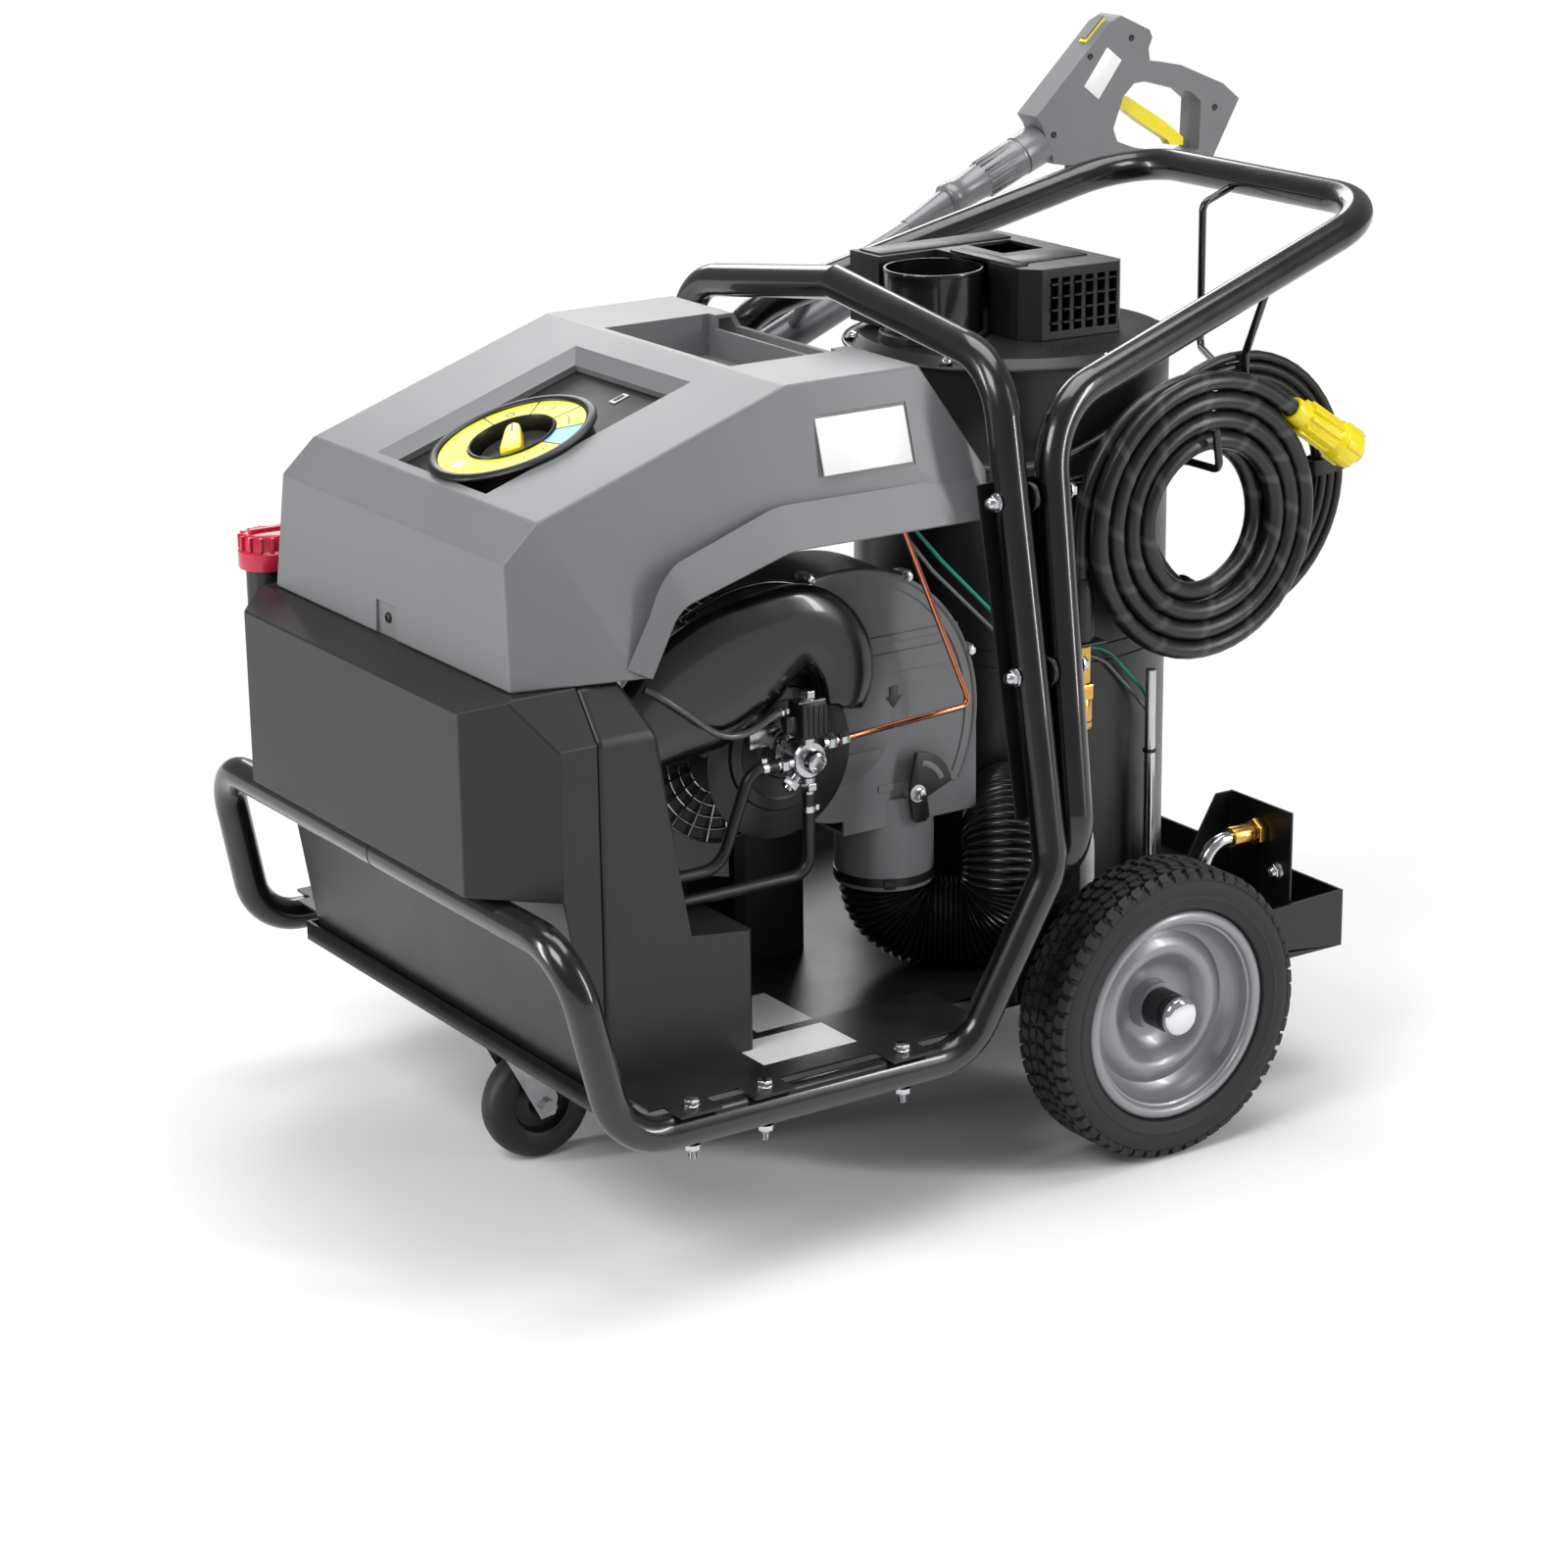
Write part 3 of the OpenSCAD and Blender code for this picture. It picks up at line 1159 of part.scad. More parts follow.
// Brass water inlet, its lock nut, the steel elbow behind it and the bracket's screw
module inlet_fitting() {
    at_axle() {
        color([0.78, 0.60, 0.28]) translate([0, inlet_y, inlet_z]) rotate([0, 90, 0]) {
            translate([0, 0, inlet_x - 42]) cylinder(r = 11, h = 30);
            translate([0, 0, inlet_x - 12]) hex_head(26, 12);
            translate([0, 0, inlet_x]) cylinder(r = 10, h = 3);
            difference() {
                translate([0, 0, inlet_x + 3]) cylinder(r = 13, h = 24);
                translate([0, 0, inlet_x + 9]) cylinder(r = inlet_bore_r, h = 20);
            }
        }
        color([0.7, 0.71, 0.72]) bent_tube([[inlet_x - 42, inlet_y, inlet_z], [inlet_x - 76, inlet_y, inlet_z],
            [inlet_x - 76, inlet_y, tray_floor_z]], [30], 7.5, 1.5);
        color([0.78, 0.79, 0.8]) translate([inlet_x, -264, 226]) rotate([0, 90, 0]) {
            translate([0, 0, -5]) hex_head(12, 5);
            cylinder(r = 4, h = 8);
        }
    }
}
inlet_bore_r = 7;

hose_coil_c = [148, 0, 600];
hose_pitch = hose_d + 0.8;
hose_layers = [-206, -206 - hose_pitch];
cable_coil_c = [222, 0, 612];
cable_pitch = cable_d + 0.9;
cable_layers = [-170 - cable_pitch, -170];
hook_r = 4;

// Rod hook that starts at the handle tube, passes through the hose coil and ends in an upturned tip
module hose_hook() {
    start = at_height(handle_knee, handle_shoulder, 662);
    hook_y = (hose_layers[0] + cable_layers[0]) / 2 + 2.1;
    hook_z = hose_coil_c[2] + 56;
    at_axle() color([0.12, 0.12, 0.13]) difference() {
        bent_tube([[start[0], -start[1], 662], [-40, hook_y, hook_z], [146, hook_y, hook_z],
            [146, -246, hook_z], [140, -246, hook_z + 42]], [14, 10, 10], hook_r);
        rod(flip_y(handle_knee), flip_y(handle_shoulder), tube_r + eps);
    }
}

cable_hook_z = cable_coil_c[2] + cable_coil_r - cable_pitch * cable_turns / 2 - 12;
// Rod that hangs from the crossbar, passes through the cable coil and ends at the near rail
module cable_hook() {
    hook_y = (hose_layers[0] + cable_layers[0]) / 2 + 2.1;
    rail_x = 222;
    shoulder_left = flip_y(handle_shoulder);
    corner_left = [handle_x, -handle_half_w, handle_z];
    rail = at_x(shoulder_left, corner_left, rail_x);
    at_axle() color([0.12, 0.12, 0.13]) difference() {
        bent_tube([[handle_x, 24, handle_z - 4], [340, 24, 866], [340, 24, cable_hook_z],
            [rail_x, hook_y, cable_hook_z], [rail_x, hook_y, cable_hook_z + 44], rail],
            [12, 12, 5, 12], hook_r);
        rod([handle_x, 0, handle_z], [handle_x, 60, handle_z], tube_r + eps);
        rod(shoulder_left, corner_left, tube_r + eps);
    }
}

// Centreline of a coil in two layers that spirals in and out again.
// It starts on the left going up, and end_a is the angle, seen from the near side, where it ends.
function coil_points(c, layers, r, pitch, turns, start_a, steps) = let (middle = turns / 2)
    [for (k = [0:steps]) let (t = turns * k / steps,
        rad = r - pitch * (middle - abs(t - middle)),
        climb = max(0, min(1, (t - middle + 0.25) / 0.5)),
        a = start_a - 360 * t)
    [c[0] + rad * cos(a), layers[0] + (layers[1] - layers[0]) * climb, c[2] + rad * sin(a)]];

function least_gap(points, skip, d) = min([for (i = [0:len(points) - 1])
    for (j = [i + skip:1:len(points) - 1]) norm(points[i] - points[j])]) - d;

hose_end_part = 129 / 360;
hose_total = hose_turns + hose_end_part;
hose_coil_path = coil_points(hose_coil_c, hose_layers, hose_coil_r, hose_pitch, hose_total, 180,
    round(24 * hose_total));
hose_path = let (n = len(hose_coil_path) - 1,
    out = unit(hose_coil_path[n] - hose_coil_path[n - 1]))
    concat([hose_coil_path[0] - [0, 0, hose_coil_c[2] - outlet_top_z + 14],
        hose_coil_path[0] - [0, 0, 14]], hose_coil_path, [hose_coil_path[n] + out * hose_d]);
module hose_coil() {
    echo(hose_gap = least_gap(hose_coil_path, 20, hose_d));
    at_axle() color([0.07, 0.07, 0.07]) {
        swept(hose_path, hose_d / 2, 6, [0, 1, 0]);
        translate([outlet_x, outlet_y, 495.4]) cylinder(r = 13.5, h = outlet_top_z - 495.6);
    }
}

// Yellow threaded connector at the hose's free end
module hose_connector() {
    n = len(hose_path) - 1;
    out = unit(hose_path[n] - hose_path[n - 1]);
    p = hose_path[n] + out * 0.2;
    at_axle() along(p, p + out) {
        color([0.95, 0.83, 0.05]) {
            cylinder(r1 = 13, r2 = 17, h = 70);
            translate([0, 0, 70]) cylinder(r = 22, h = 26);
        }
        color([0.78, 0.60, 0.28]) translate([0, 0, 96.2]) ring(12, 5, 10);
    }
}

cable_start_a = 110;
cable_total = cable_turns + 150 / 360;
cable_drift = 31;
cable_wound = coil_points(cable_coil_c, cable_layers, cable_coil_r, cable_pitch, cable_total, cable_start_a,
    round(24 * cable_total));
// The last fifth of a turn moves behind the coil, to the plug
cable_turned = let (n = len(cable_wound) - 1) [for (i = [0:n])
    let (k = max(0, min(1, (i - n + 5.5) / 5))) cable_wound[i] + [0, cable_drift * k * k * (3 - 2 * k), 0]];
cable_in = [sin(cable_start_a), 0, -cos(cable_start_a)];
cable_out = let (n = len(cable_turned) - 1) unit(cable_turned[n] - cable_turned[n - 1]);
cable_path = concat([cable_turned[0] - cable_in * cable_d], cable_turned,
    [cable_turned[len(cable_turned) - 1] + cable_out * cable_d]);
module cable_coil() {
    echo(cable_gap = least_gap(cable_path, 20, cable_d));
    at_axle() color([0.05, 0.05, 0.05]) swept(cable_path, cable_d / 2, 6, [0, 1, 0]);
}

gland_n = unit([45, 0, -7]);
gland_p = [-150 + 7 * (688 - 655) / 45, cable_layers[0], 688] + gland_n * 2.8;
gland_len = 35.3;
// Screwed gland on the hood's rear face, with a tapered sleeve round the cable
module cable_gland() {
    at_axle() color([0.06, 0.06, 0.06]) along(gland_p, gland_p + gland_n) {
        hex_head(20, 7);
        translate([0, 0, 7]) cylinder(r1 = 9, r2 = 6.5, h = gland_len - 7);
    }
}

lead_points = [[-76, 677.5], [-52, 674.6], [-28, 674], [-4, 676], [20, 681], [44, 688.6], [68, 698.4],
    [92, 709.4], [115, 719.6], [138, 729]];
lead_path = concat([gland_p + gland_n * (gland_len + gap)], [for (p = lead_points) [p[0], cable_layers[0], p[1]]],
    [cable_path[0] - cable_in * 8, cable_path[0] - cable_in * gap]);
// Free stretch of the cable from the gland to the coil
module cable_lead() {
    at_axle() color([0.05, 0.05, 0.05]) swept(lead_path, cable_d / 2, 8, [0, 1, 0]);
}

plug_r = 17;
// Round plug with its two pins, at the cable's end behind the coil
module power_plug() {
    p = cable_path[len(cable_path) - 1] + cable_out * gap;
    at_axle() along(p, p + cable_out) {
        color([0.06, 0.06, 0.06]) {
            cylinder(r1 = 7.5, r2 = 13, h = 26);
            translate([0, 0, 26]) cylinder(r = plug_r, h = 22);
        }
        color([0.8, 0.8, 0.82]) for (side = [-1, 1]) translate([0, 9.5 * side, 48]) cylinder(r = 2.4, h = 19);
    }
}

gun_c = [rear_reach - 276, 322, 894];
lance_a = 22.7;
trigger_pin = [88, 34];
trigger_pin_r = 2.5;
slot_half = 7.5;
module at_gun() {
    at_axle() translate(gun_c) rotate([90, 0, 0]) children();
}

// Two-part gun casing with its closed hand loop, the trigger's pin and the brass inlet
module gun_body() {
    at_gun() {
        color([0.50, 0.50, 0.50]) difference() {
            linear_extrude(gun_t, center = true) difference() {
                polygon([[-14, 32], [86, 127], [103, 134], [144, 115], [148, 106], [143, 95], [145, 80], [190, 72],
                    [252, 46], [276, 27], [235, -44], [214, -50], [127, -34], [87, -26], [28, -26], [12, -23],
                    [-6, 21]]);
                polygon([[94, 9], [108, 44], [123, 57], [142, 58], [204, 41], [220, 29], [218, -26], [202, -32],
                    [132, -18], [100, -6]]);
            }
            linear_extrude(2 * slot_half, center = true) polygon([[78, 24], [96, 10], [104, 6], [116, 50], [104, 48],
                [80, 44]]);
            translate([trigger_pin[0], trigger_pin[1], 0]) cylinder(r = 4, h = gun_t - 6, center = true);
            translate([trigger_pin[0], trigger_pin[1], 0]) cylinder(r = 12, h = 2 * slot_half, center = true);
        }
        color([0.7, 0.7, 0.72]) translate([trigger_pin[0], trigger_pin[1], 0]) {
            cylinder(r = trigger_pin_r, h = gun_t - 6, center = true);
            for (s = [-1, 1]) translate([0, 0, s * ((gun_t - 6) / 2 - 1.5)]) cylinder(r = 4, h = 3, center = true);
        }
        color([0.95, 0.83, 0.05]) translate([78, 120, 0]) rotate(43.5) translate([-17, -0.5, -5]) cube([34, 4, 10]);
        color([0.78, 0.60, 0.28]) translate([48, -44, 0]) rotate([-90, 0, 0]) cylinder(r = 7, h = 18);
    }
}

module gun_trigger() {
    at_gun() color([0.95, 0.83, 0.05]) difference() {
        union() {
            linear_extrude(13.6, center = true)
                polygon([[84, 40], [101, 43], [123, 41], [173, 11], [204, -12], [204, -21], [185, -19], [181, -13],
                    [146, 8], [118, 27], [99, 26], [90, 27]]);
            translate([trigger_pin[0], trigger_pin[1], 0]) cylinder(r = 8, h = 14, center = true);
        }
        translate([trigger_pin[0], trigger_pin[1], 0]) cylinder(r = trigger_pin_r + run_fit, h = 30, center = true);
    }
}

// Grip sleeve, lance tube and nozzle, in line with the gun's outlet
module lance() {
    at_axle() translate(gun_c + [3, 0, -1]) rotate([0, -90 - lance_a, 0]) {
        color([0.50, 0.50, 0.50]) {
            difference() {
                rotate_extrude() polygon([[0, 1], [23, 1], [17.5, 122], [20, 124], [20, 136], [15, 138], [9.5, 196],
                    [0, 196]]);
                translate([0, 0, 195]) cylinder(r = 1, h = 1);
            }
        }
        color([0.45, 0.46, 0.47]) translate([0, 0, 196]) cylinder(r = lance_d / 2, h = lance_len - 196);
        color([0.3, 0.3, 0.3]) translate([0, 0, lance_len]) difference() {
            cylinder(r = 11, h = 44);
            translate([0, 0, 30]) cylinder(r = 3, h = 20);
        }
    }
}

holder_r = 20;
holder_gap = 3;
// Puts children on the lance's axis, at a distance along it from the gun
module on_lance(s) {
    translate(gun_c + [3, 0, -1]) rotate([0, -90 - lance_a, 0]) translate([0, 0, s]) children();
}

// Grey tube below the lance, with two saddles open at the top and two struts to the far rail
module lance_holder() {
    drop = lance_d / 2 + holder_gap + holder_r;
    at_axle() difference() {
        union() {
            on_lance(262) {
                color([0.42, 0.43, 0.44]) translate([-drop, 0, 0]) ring(holder_r, 2, 180);
                color([0.10, 0.10, 0.10]) for (z = [12, 156]) translate([holder_r - drop - 2, -11, z])
                    cube([drop - holder_r + 2, 22, 14]);
            }
            color([0.10, 0.10, 0.10]) for (x = [10, 90]) {
                rail = at_x(handle_shoulder, [handle_x, handle_half_w, handle_z], x);
                rod(rail, [x, gun_c[1], gun_c[2] - (gun_c[0] + 3 - x) * tan(lance_a) - drop / cos(lance_a)], 7);
            }
        }
        on_lance(200) {
            translate([-drop, 0, 62]) cylinder(r = holder_r - 2, h = 180);
            cylinder(r = lance_d / 2 + gap, h = 300);
        }
        rod(handle_shoulder, [handle_x, handle_half_w, handle_z], tube_r + eps);
    }
}

tray();
frame_left();
frame_right();
handle_tube();
handle_feet();
frame_bolts();
side_panels();
axle();
tyre_left();
rim_left();
hub_left();
tyre_right();
rim_right();
hub_right();
caster_plate();
caster_fork();
caster_tyre();
caster_bolt();
front_tank();
rear_tank();
fuel_cap();
hood();
control_panel();
dial_ring();
dial_knob();
junction_box();
motor();
pump();
scroll_housing();
impeller();
fan_guard();
intake_cover();
fuel_pump();
copper_pipe();
fuel_hoses();
air_flap();
flex_duct();
boiler_shell();
boiler_base();
heating_coil();
burner_lid();
exhaust_stack();
burner_cover();
wires();
outlet_fitting();
outlet_pipes();
water_brackets();
inlet_fitting();
hose_hook();
cable_hook();
hose_coil();
hose_connector();
cable_gland();
cable_lead();
cable_coil();
power_plug();
gun_body();
gun_trigger();
lance();
lance_holder();
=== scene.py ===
"""Hot water pressure washer: finished pieces and materials round its CAD frame.

Places are written in millimetres from the rear axle's spot on the floor, as in the part's source,
and at() turns them into metres in the shared frame.
"""
import json
import math

import bmesh
import bpy
from mathutils import Matrix, Vector

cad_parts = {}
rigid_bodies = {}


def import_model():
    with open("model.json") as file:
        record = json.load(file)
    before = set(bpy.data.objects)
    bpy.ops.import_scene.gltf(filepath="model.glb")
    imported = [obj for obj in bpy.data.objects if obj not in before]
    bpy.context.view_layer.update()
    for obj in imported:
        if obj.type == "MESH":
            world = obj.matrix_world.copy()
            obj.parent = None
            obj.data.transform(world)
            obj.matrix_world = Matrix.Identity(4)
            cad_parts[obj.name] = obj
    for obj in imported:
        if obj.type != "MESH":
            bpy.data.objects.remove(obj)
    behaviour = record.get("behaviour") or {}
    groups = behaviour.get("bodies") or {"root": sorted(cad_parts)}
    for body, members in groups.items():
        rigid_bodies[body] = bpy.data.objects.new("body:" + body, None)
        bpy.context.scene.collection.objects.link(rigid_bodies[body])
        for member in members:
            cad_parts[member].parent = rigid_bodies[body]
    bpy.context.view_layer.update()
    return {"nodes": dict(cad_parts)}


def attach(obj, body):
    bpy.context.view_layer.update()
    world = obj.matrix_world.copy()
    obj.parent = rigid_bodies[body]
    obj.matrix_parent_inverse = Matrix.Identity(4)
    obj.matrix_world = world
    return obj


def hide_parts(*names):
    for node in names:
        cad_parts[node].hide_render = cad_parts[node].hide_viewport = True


for left_over in list(bpy.data.objects):
    bpy.data.objects.remove(left_over)
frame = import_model()
NODES = frame["nodes"]

MM = 0.001
# Driving places of the machine, in mm from the rear axle's spot on the floor
AXLE_X = 42.0
HALF_TRACK, WHEEL_R = 342, 150
CASTER_X, CASTER_R = -517, 58
RAIL_Y = 365
BUMPER = (-676, 0, 352)
FAN = Vector((-255, -167, 440))
GUARD_X, GUARD_Z = -335, 408
FLAP = (-178, -179.5, 364)
BOILER_X, BOILER_R, LID_R = 70, 162, 171
STACK_X = -27
TRAY_FLOOR = 167
HEAD_Z = 775.3


def at(x, y, z):
    return Vector(((x + AXLE_X) * MM, y * MM, z * MM))


def mix(a, b, k):
    return a + (b - a) * k


def smooth(k):
    k = min(1.0, max(0.0, k))
    return k * k * (3 - 2 * k)


# ---------------------------------------------------------------- camera

CAMERA_PLACE = (-2.27756, -3.20468, 1.56718)
CAMERA_YAW, CAMERA_PITCH, CAMERA_ROLL = 56.703, 17.849, -0.7586
CAMERA_LENS = 90.72


def add_camera():
    yaw, pitch, roll = (math.radians(a) for a in (CAMERA_YAW, CAMERA_PITCH, CAMERA_ROLL))
    forward = Vector((math.cos(yaw) * math.cos(pitch), math.sin(yaw) * math.cos(pitch), -math.sin(pitch)))
    right = Vector((math.sin(yaw), -math.cos(yaw), 0))
    up = right.cross(forward)
    turned_right = right * math.cos(roll) + up * math.sin(roll)
    turned_up = up * math.cos(roll) - right * math.sin(roll)
    data = bpy.data.cameras.new("camera")
    data.lens = CAMERA_LENS
    data.sensor_width = 36
    data.clip_end = 50
    camera = bpy.data.objects.new("camera", data)
    turn = Matrix((turned_right, turned_up, -forward)).transposed()
    camera.matrix_world = Matrix.Translation(CAMERA_PLACE) @ turn.to_4x4()
    bpy.context.scene.collection.objects.link(camera)
    bpy.context.scene.camera = camera


add_camera()

# ---------------------------------------------------------------- materials


def colour(hexadecimal):
    """sRGB hex to linear RGBA."""
    channels = [int(hexadecimal[i:i + 2], 16) / 255 for i in (0, 2, 4)]
    linear = [c / 12.92 if c <= 0.04045 else ((c + 0.055) / 1.055) ** 2.4 for c in channels]
    return (*linear, 1.0)


def node(tree, kind, links=None, **settings):
    """One node with its settings; links gives sockets or plain values for its inputs."""
    made = tree.nodes.new(kind)
    for key, value in settings.items():
        setattr(made, key, value)
    for key, value in (links or {}).items():
        if isinstance(value, bpy.types.NodeSocket):
            tree.links.new(value, made.inputs[key])
        else:
            made.inputs[key].default_value = value
    return made


PLASTIC_IOR = 1.5
SLOW_SPAN = (0.3, 0.7)


def surface(name, hexadecimal, rough, metallic=0.0, grain_mm=1.0, grain=0.02, mottle=0.06, mottle_mm=60,
            rough_spread=0.08, dust=0.0, dust_hex="8a8680", coat=0.0, scratch=0.0, layers=None):
    """A finish with a fine grain in its bump, slow mottling in its colour and gloss, and dust on its tops.

    grain_mm is the size of the bump's cells, and grain their height in millimetres.
    """
    material = bpy.data.materials.new(name)
    material.use_nodes = True
    tree = material.node_tree
    shader = tree.nodes["Principled BSDF"]
    place = node(tree, "ShaderNodeTexCoord").outputs["Object"]
    slow = node(tree, "ShaderNodeTexNoise", {"Vector": place, "Scale": 1000 / mottle_mm, "Detail": 5.0,
                                             "Roughness": 0.6}).outputs["Fac"]
    fine = node(tree, "ShaderNodeTexNoise", {"Vector": place, "Scale": 1000 / grain_mm,
                                             "Detail": 2.0}).outputs["Fac"]
    base = colour(hexadecimal)
    ramp = node(tree, "ShaderNodeValToRGB", {"Fac": slow})
    for element, spot, share in zip(ramp.color_ramp.elements, SLOW_SPAN, (1 - mottle, 1 + mottle)):
        element.position = spot
        element.color = tuple(min(1.0, c * share) for c in base[:3]) + (1.0,)
    shade = ramp.outputs["Color"]
    gloss = node(tree, "ShaderNodeMapRange", {"Value": slow, "From Min": SLOW_SPAN[0],
                                              "From Max": SLOW_SPAN[1],
                                              "To Min": max(0.02, rough - rough_spread / 2),
                                              "To Max": rough + rough_spread / 2}).outputs["Result"]
    if layers:
        shade = layers(tree, shade)
    if scratch:
        streak = node(tree, "ShaderNodeMapping", {"Vector": place, "Scale": (40, 900, 60),
                                                  "Rotation": (0.3, 0.5, 0.7)}).outputs["Vector"]
        lines = node(tree, "ShaderNodeTexNoise", {"Vector": streak, "Scale": 1.0,
                                                  "Detail": 1.0}).outputs["Fac"]
        thin = node(tree, "ShaderNodeMapRange", {"Value": lines, "From Min": 0.70, "From Max": 0.74,
                                                 "To Min": 0.0, "To Max": scratch}).outputs["Result"]
        shade = blended(tree, thin, shade, tuple(min(1.0, c * 1.6 + 0.02) for c in base[:3]) + (1.0,))
    if dust:
        normal = node(tree, "ShaderNodeNewGeometry").outputs["Normal"]
        up = node(tree, "ShaderNodeSeparateXYZ", {"Vector": normal}).outputs["Z"]
        lying = node(tree, "ShaderNodeMapRange", {"Value": up, "From Min": 0.35, "From Max": 1.0,
                                                  "To Min": 0.0, "To Max": dust}).outputs["Result"]
        patchy = node(tree, "ShaderNodeMath", {0: lying, 1: slow}, operation="MULTIPLY").outputs[0]
        shade = blended(tree, patchy, shade, colour(dust_hex))
    bump = node(tree, "ShaderNodeBump", {"Height": fine, "Strength": 1.0, "Distance": grain * MM})
    tree.links.new(shade, shader.inputs["Base Color"])
    tree.links.new(gloss, shader.inputs["Roughness"])
    tree.links.new(bump.outputs["Normal"], shader.inputs["Normal"])
    shader.inputs["Metallic"].default_value = metallic
    if not metallic:
        shader.inputs["IOR"].default_value = PLASTIC_IOR
    shader.inputs["Coat Weight"].default_value = coat
    return material


def blended(tree, factor, a, b):
    """Colour a with colour b laid over it by factor."""
    made = node(tree, "ShaderNodeMix", data_type="RGBA")
    for key, value in ((0, factor), (6, a), (7, b)):
        if isinstance(value, bpy.types.NodeSocket):
            tree.links.new(value, made.inputs[key])
        else:
            made.inputs[key].default_value = value
    return made.outputs[2]


SEAM_HEX = "5a5a5a"
WRAP_WIDTH = 0.030


def wrapped_cover(tree, shade):
    """Spiral marks of the cloth that a hose is wrapped in while its rubber cures, along the hose's own UV."""
    along_uv = node(tree, "ShaderNodeUVMap", uv_map="length")
    tilted = node(tree, "ShaderNodeMapping", {"Vector": along_uv.outputs["UV"],
                                              "Scale": (1 / WRAP_WIDTH, 1.0, 1)}).outputs["Vector"]
    wave = node(tree, "ShaderNodeTexWave", {"Vector": tilted, "Scale": 0.32, "Distortion": 0.6,
                                            "Detail": 1.0}, bands_direction="DIAGONAL").outputs["Fac"]
    seam = node(tree, "ShaderNodeMapRange", {"Value": wave, "From Min": 0.90, "From Max": 0.99, "To Min": 0.0,
                                             "To Max": 0.35}).outputs["Result"]
    return blended(tree, seam, shade, colour(SEAM_HEX))


# Polyester powder coat on steel tube: a satin black skin with a fine orange peel
FRAME_PAINT = surface("frame_powder_coat", "0b0b0c", 0.24, grain_mm=1.6, grain=0.010, mottle=0.10, dust=0.02,
                      coat=0.45, scratch=0.03)
# The same coat on pressed sheet, a little duller
SHEET_PAINT = surface("sheet_powder_coat", "101112", 0.36, grain_mm=1.2, grain=0.012, mottle=0.10, dust=0.05,
                      scratch=0.04)
# Stoved enamel on the boiler's jacket
JACKET_PAINT = surface("jacket_enamel", "1a1b1c", 0.36, grain_mm=2.0, grain=0.010, mottle=0.08, mottle_mm=120,
                       dust=0.05)
# Rotation moulded polyethylene: a waxy black with a slightly wavy face
TANK_PLASTIC = surface("tank_polyethylene", "18191a", 0.40, grain_mm=2.2, grain=0.03, mottle=0.10,
                       mottle_mm=90, dust=0.06, scratch=0.06)
# Injection moulded ABS with a spark-eroded grain
HOOD_PLASTIC = surface("hood_abs_grey", "6f7072", 0.42, grain_mm=0.8, grain=0.016, mottle=0.035,
                       mottle_mm=180, rough_spread=0.06, dust=0.04, scratch=0.03)
# Injection moulded ABS, dead black: its grain breaks up what it reflects
PANEL_PLASTIC = surface("panel_abs_black", "0e0f10", 0.50, grain_mm=0.8, grain=0.010, mottle=0.08, dust=0.05)
# Hard black moulding with a soft shine, for the dial's ring
DIAL_BLACK = surface("dial_black", "0d0d0f", 0.38, grain_mm=0.8, grain=0.006, mottle=0.08)
# Blow moulded polyethylene: slow waves under a wet-looking shine
GLOSS_BLACK = surface("intake_gloss_black", "080809", 0.24, grain_mm=9, grain=0.008, mottle=0.10,
                      rough_spread=0.05, dust=0.03, coat=0.3)
# Sprayed enamel on the fan's casing: an even mid grey with broad soft highlights
FAN_PAINT = surface("fan_housing_grey", "707173", 0.36, grain_mm=1.4, grain=0.02, mottle=0.08, dust=0.06)
# Cured natural rubber: matt charcoal with pale dust on what faces up
RUBBER = surface("tyre_rubber", "17171a", 0.62, grain_mm=0.9, grain=0.03, mottle=0.16, mottle_mm=45,
                 dust=0.14, dust_hex="6b6862")
# Solid moulded rubber: closer and smoother than the tyres'
CASTER_RUBBER = surface("caster_rubber", "151517", 0.50, grain_mm=0.9, grain=0.02, mottle=0.12, dust=0.08)
# Wrap-cured rubber: a dark sheen crossed by faint spiral marks of the cloth
HOSE_RUBBER = surface("hose_wrapped_rubber", "131314", 0.34, grain_mm=1.1, grain=0.05, mottle=0.14,
                      mottle_mm=30, dust=0.08, layers=wrapped_cover)
# Extruded PVC: smooth grey with a narrow bright line along it
HOSE_GREY = surface("return_hose_grey", "4a4b4d", 0.26, grain_mm=1.0, grain=0.006, mottle=0.08, mottle_mm=30,
                    coat=0.2)
# Extruded neoprene: dull black that lights up along its crown
CABLE_RUBBER = surface("cable_rubber", "141416", 0.42, grain_mm=1.0, grain=0.02, mottle=0.10, mottle_mm=40,
                       dust=0.05)
# Corrugated polypropylene: every rib catches a thin highlight
DUCT_PLASTIC = surface("duct_polypropylene", "0f0f10", 0.24, grain_mm=1.2, grain=0.02, mottle=0.12, dust=0.10)
# Injection moulded nylon: plain satin black for the small parts
SMOOTH_BLACK = surface("moulded_black", "111113", 0.40, grain_mm=0.9, grain=0.015, mottle=0.10, dust=0.06)
# Bright zinc plate on steel: cool silver, clouded from part to part
ZINC = surface("bright_zinc", "c6c8cb", 0.22, 1.0, grain_mm=1.2, grain=0.02, mottle=0.10, mottle_mm=12,
               rough_spread=0.16)
# Polished chrome plate: a clear mirror
CHROME = surface("polished_chrome", "dcdee0", 0.07, 1.0, grain_mm=4, grain=0.003, mottle=0.04,
                 rough_spread=0.04)
# Silver lacquer on pressed steel: grey with a metallic bloom under its clear coat
RIM_SILVER = surface("rim_silver_lacquer", "8f9194", 0.38, 0.5, grain_mm=0.8, grain=0.010, mottle=0.05,
                     mottle_mm=80, dust=0.04, coat=0.25)
# Die cast aluminium: a grainy light grey
CAST_METAL = surface("cast_aluminium", "a2a4a7", 0.42, 0.9, grain_mm=1.2, grain=0.06, mottle=0.12,
                     mottle_mm=20)
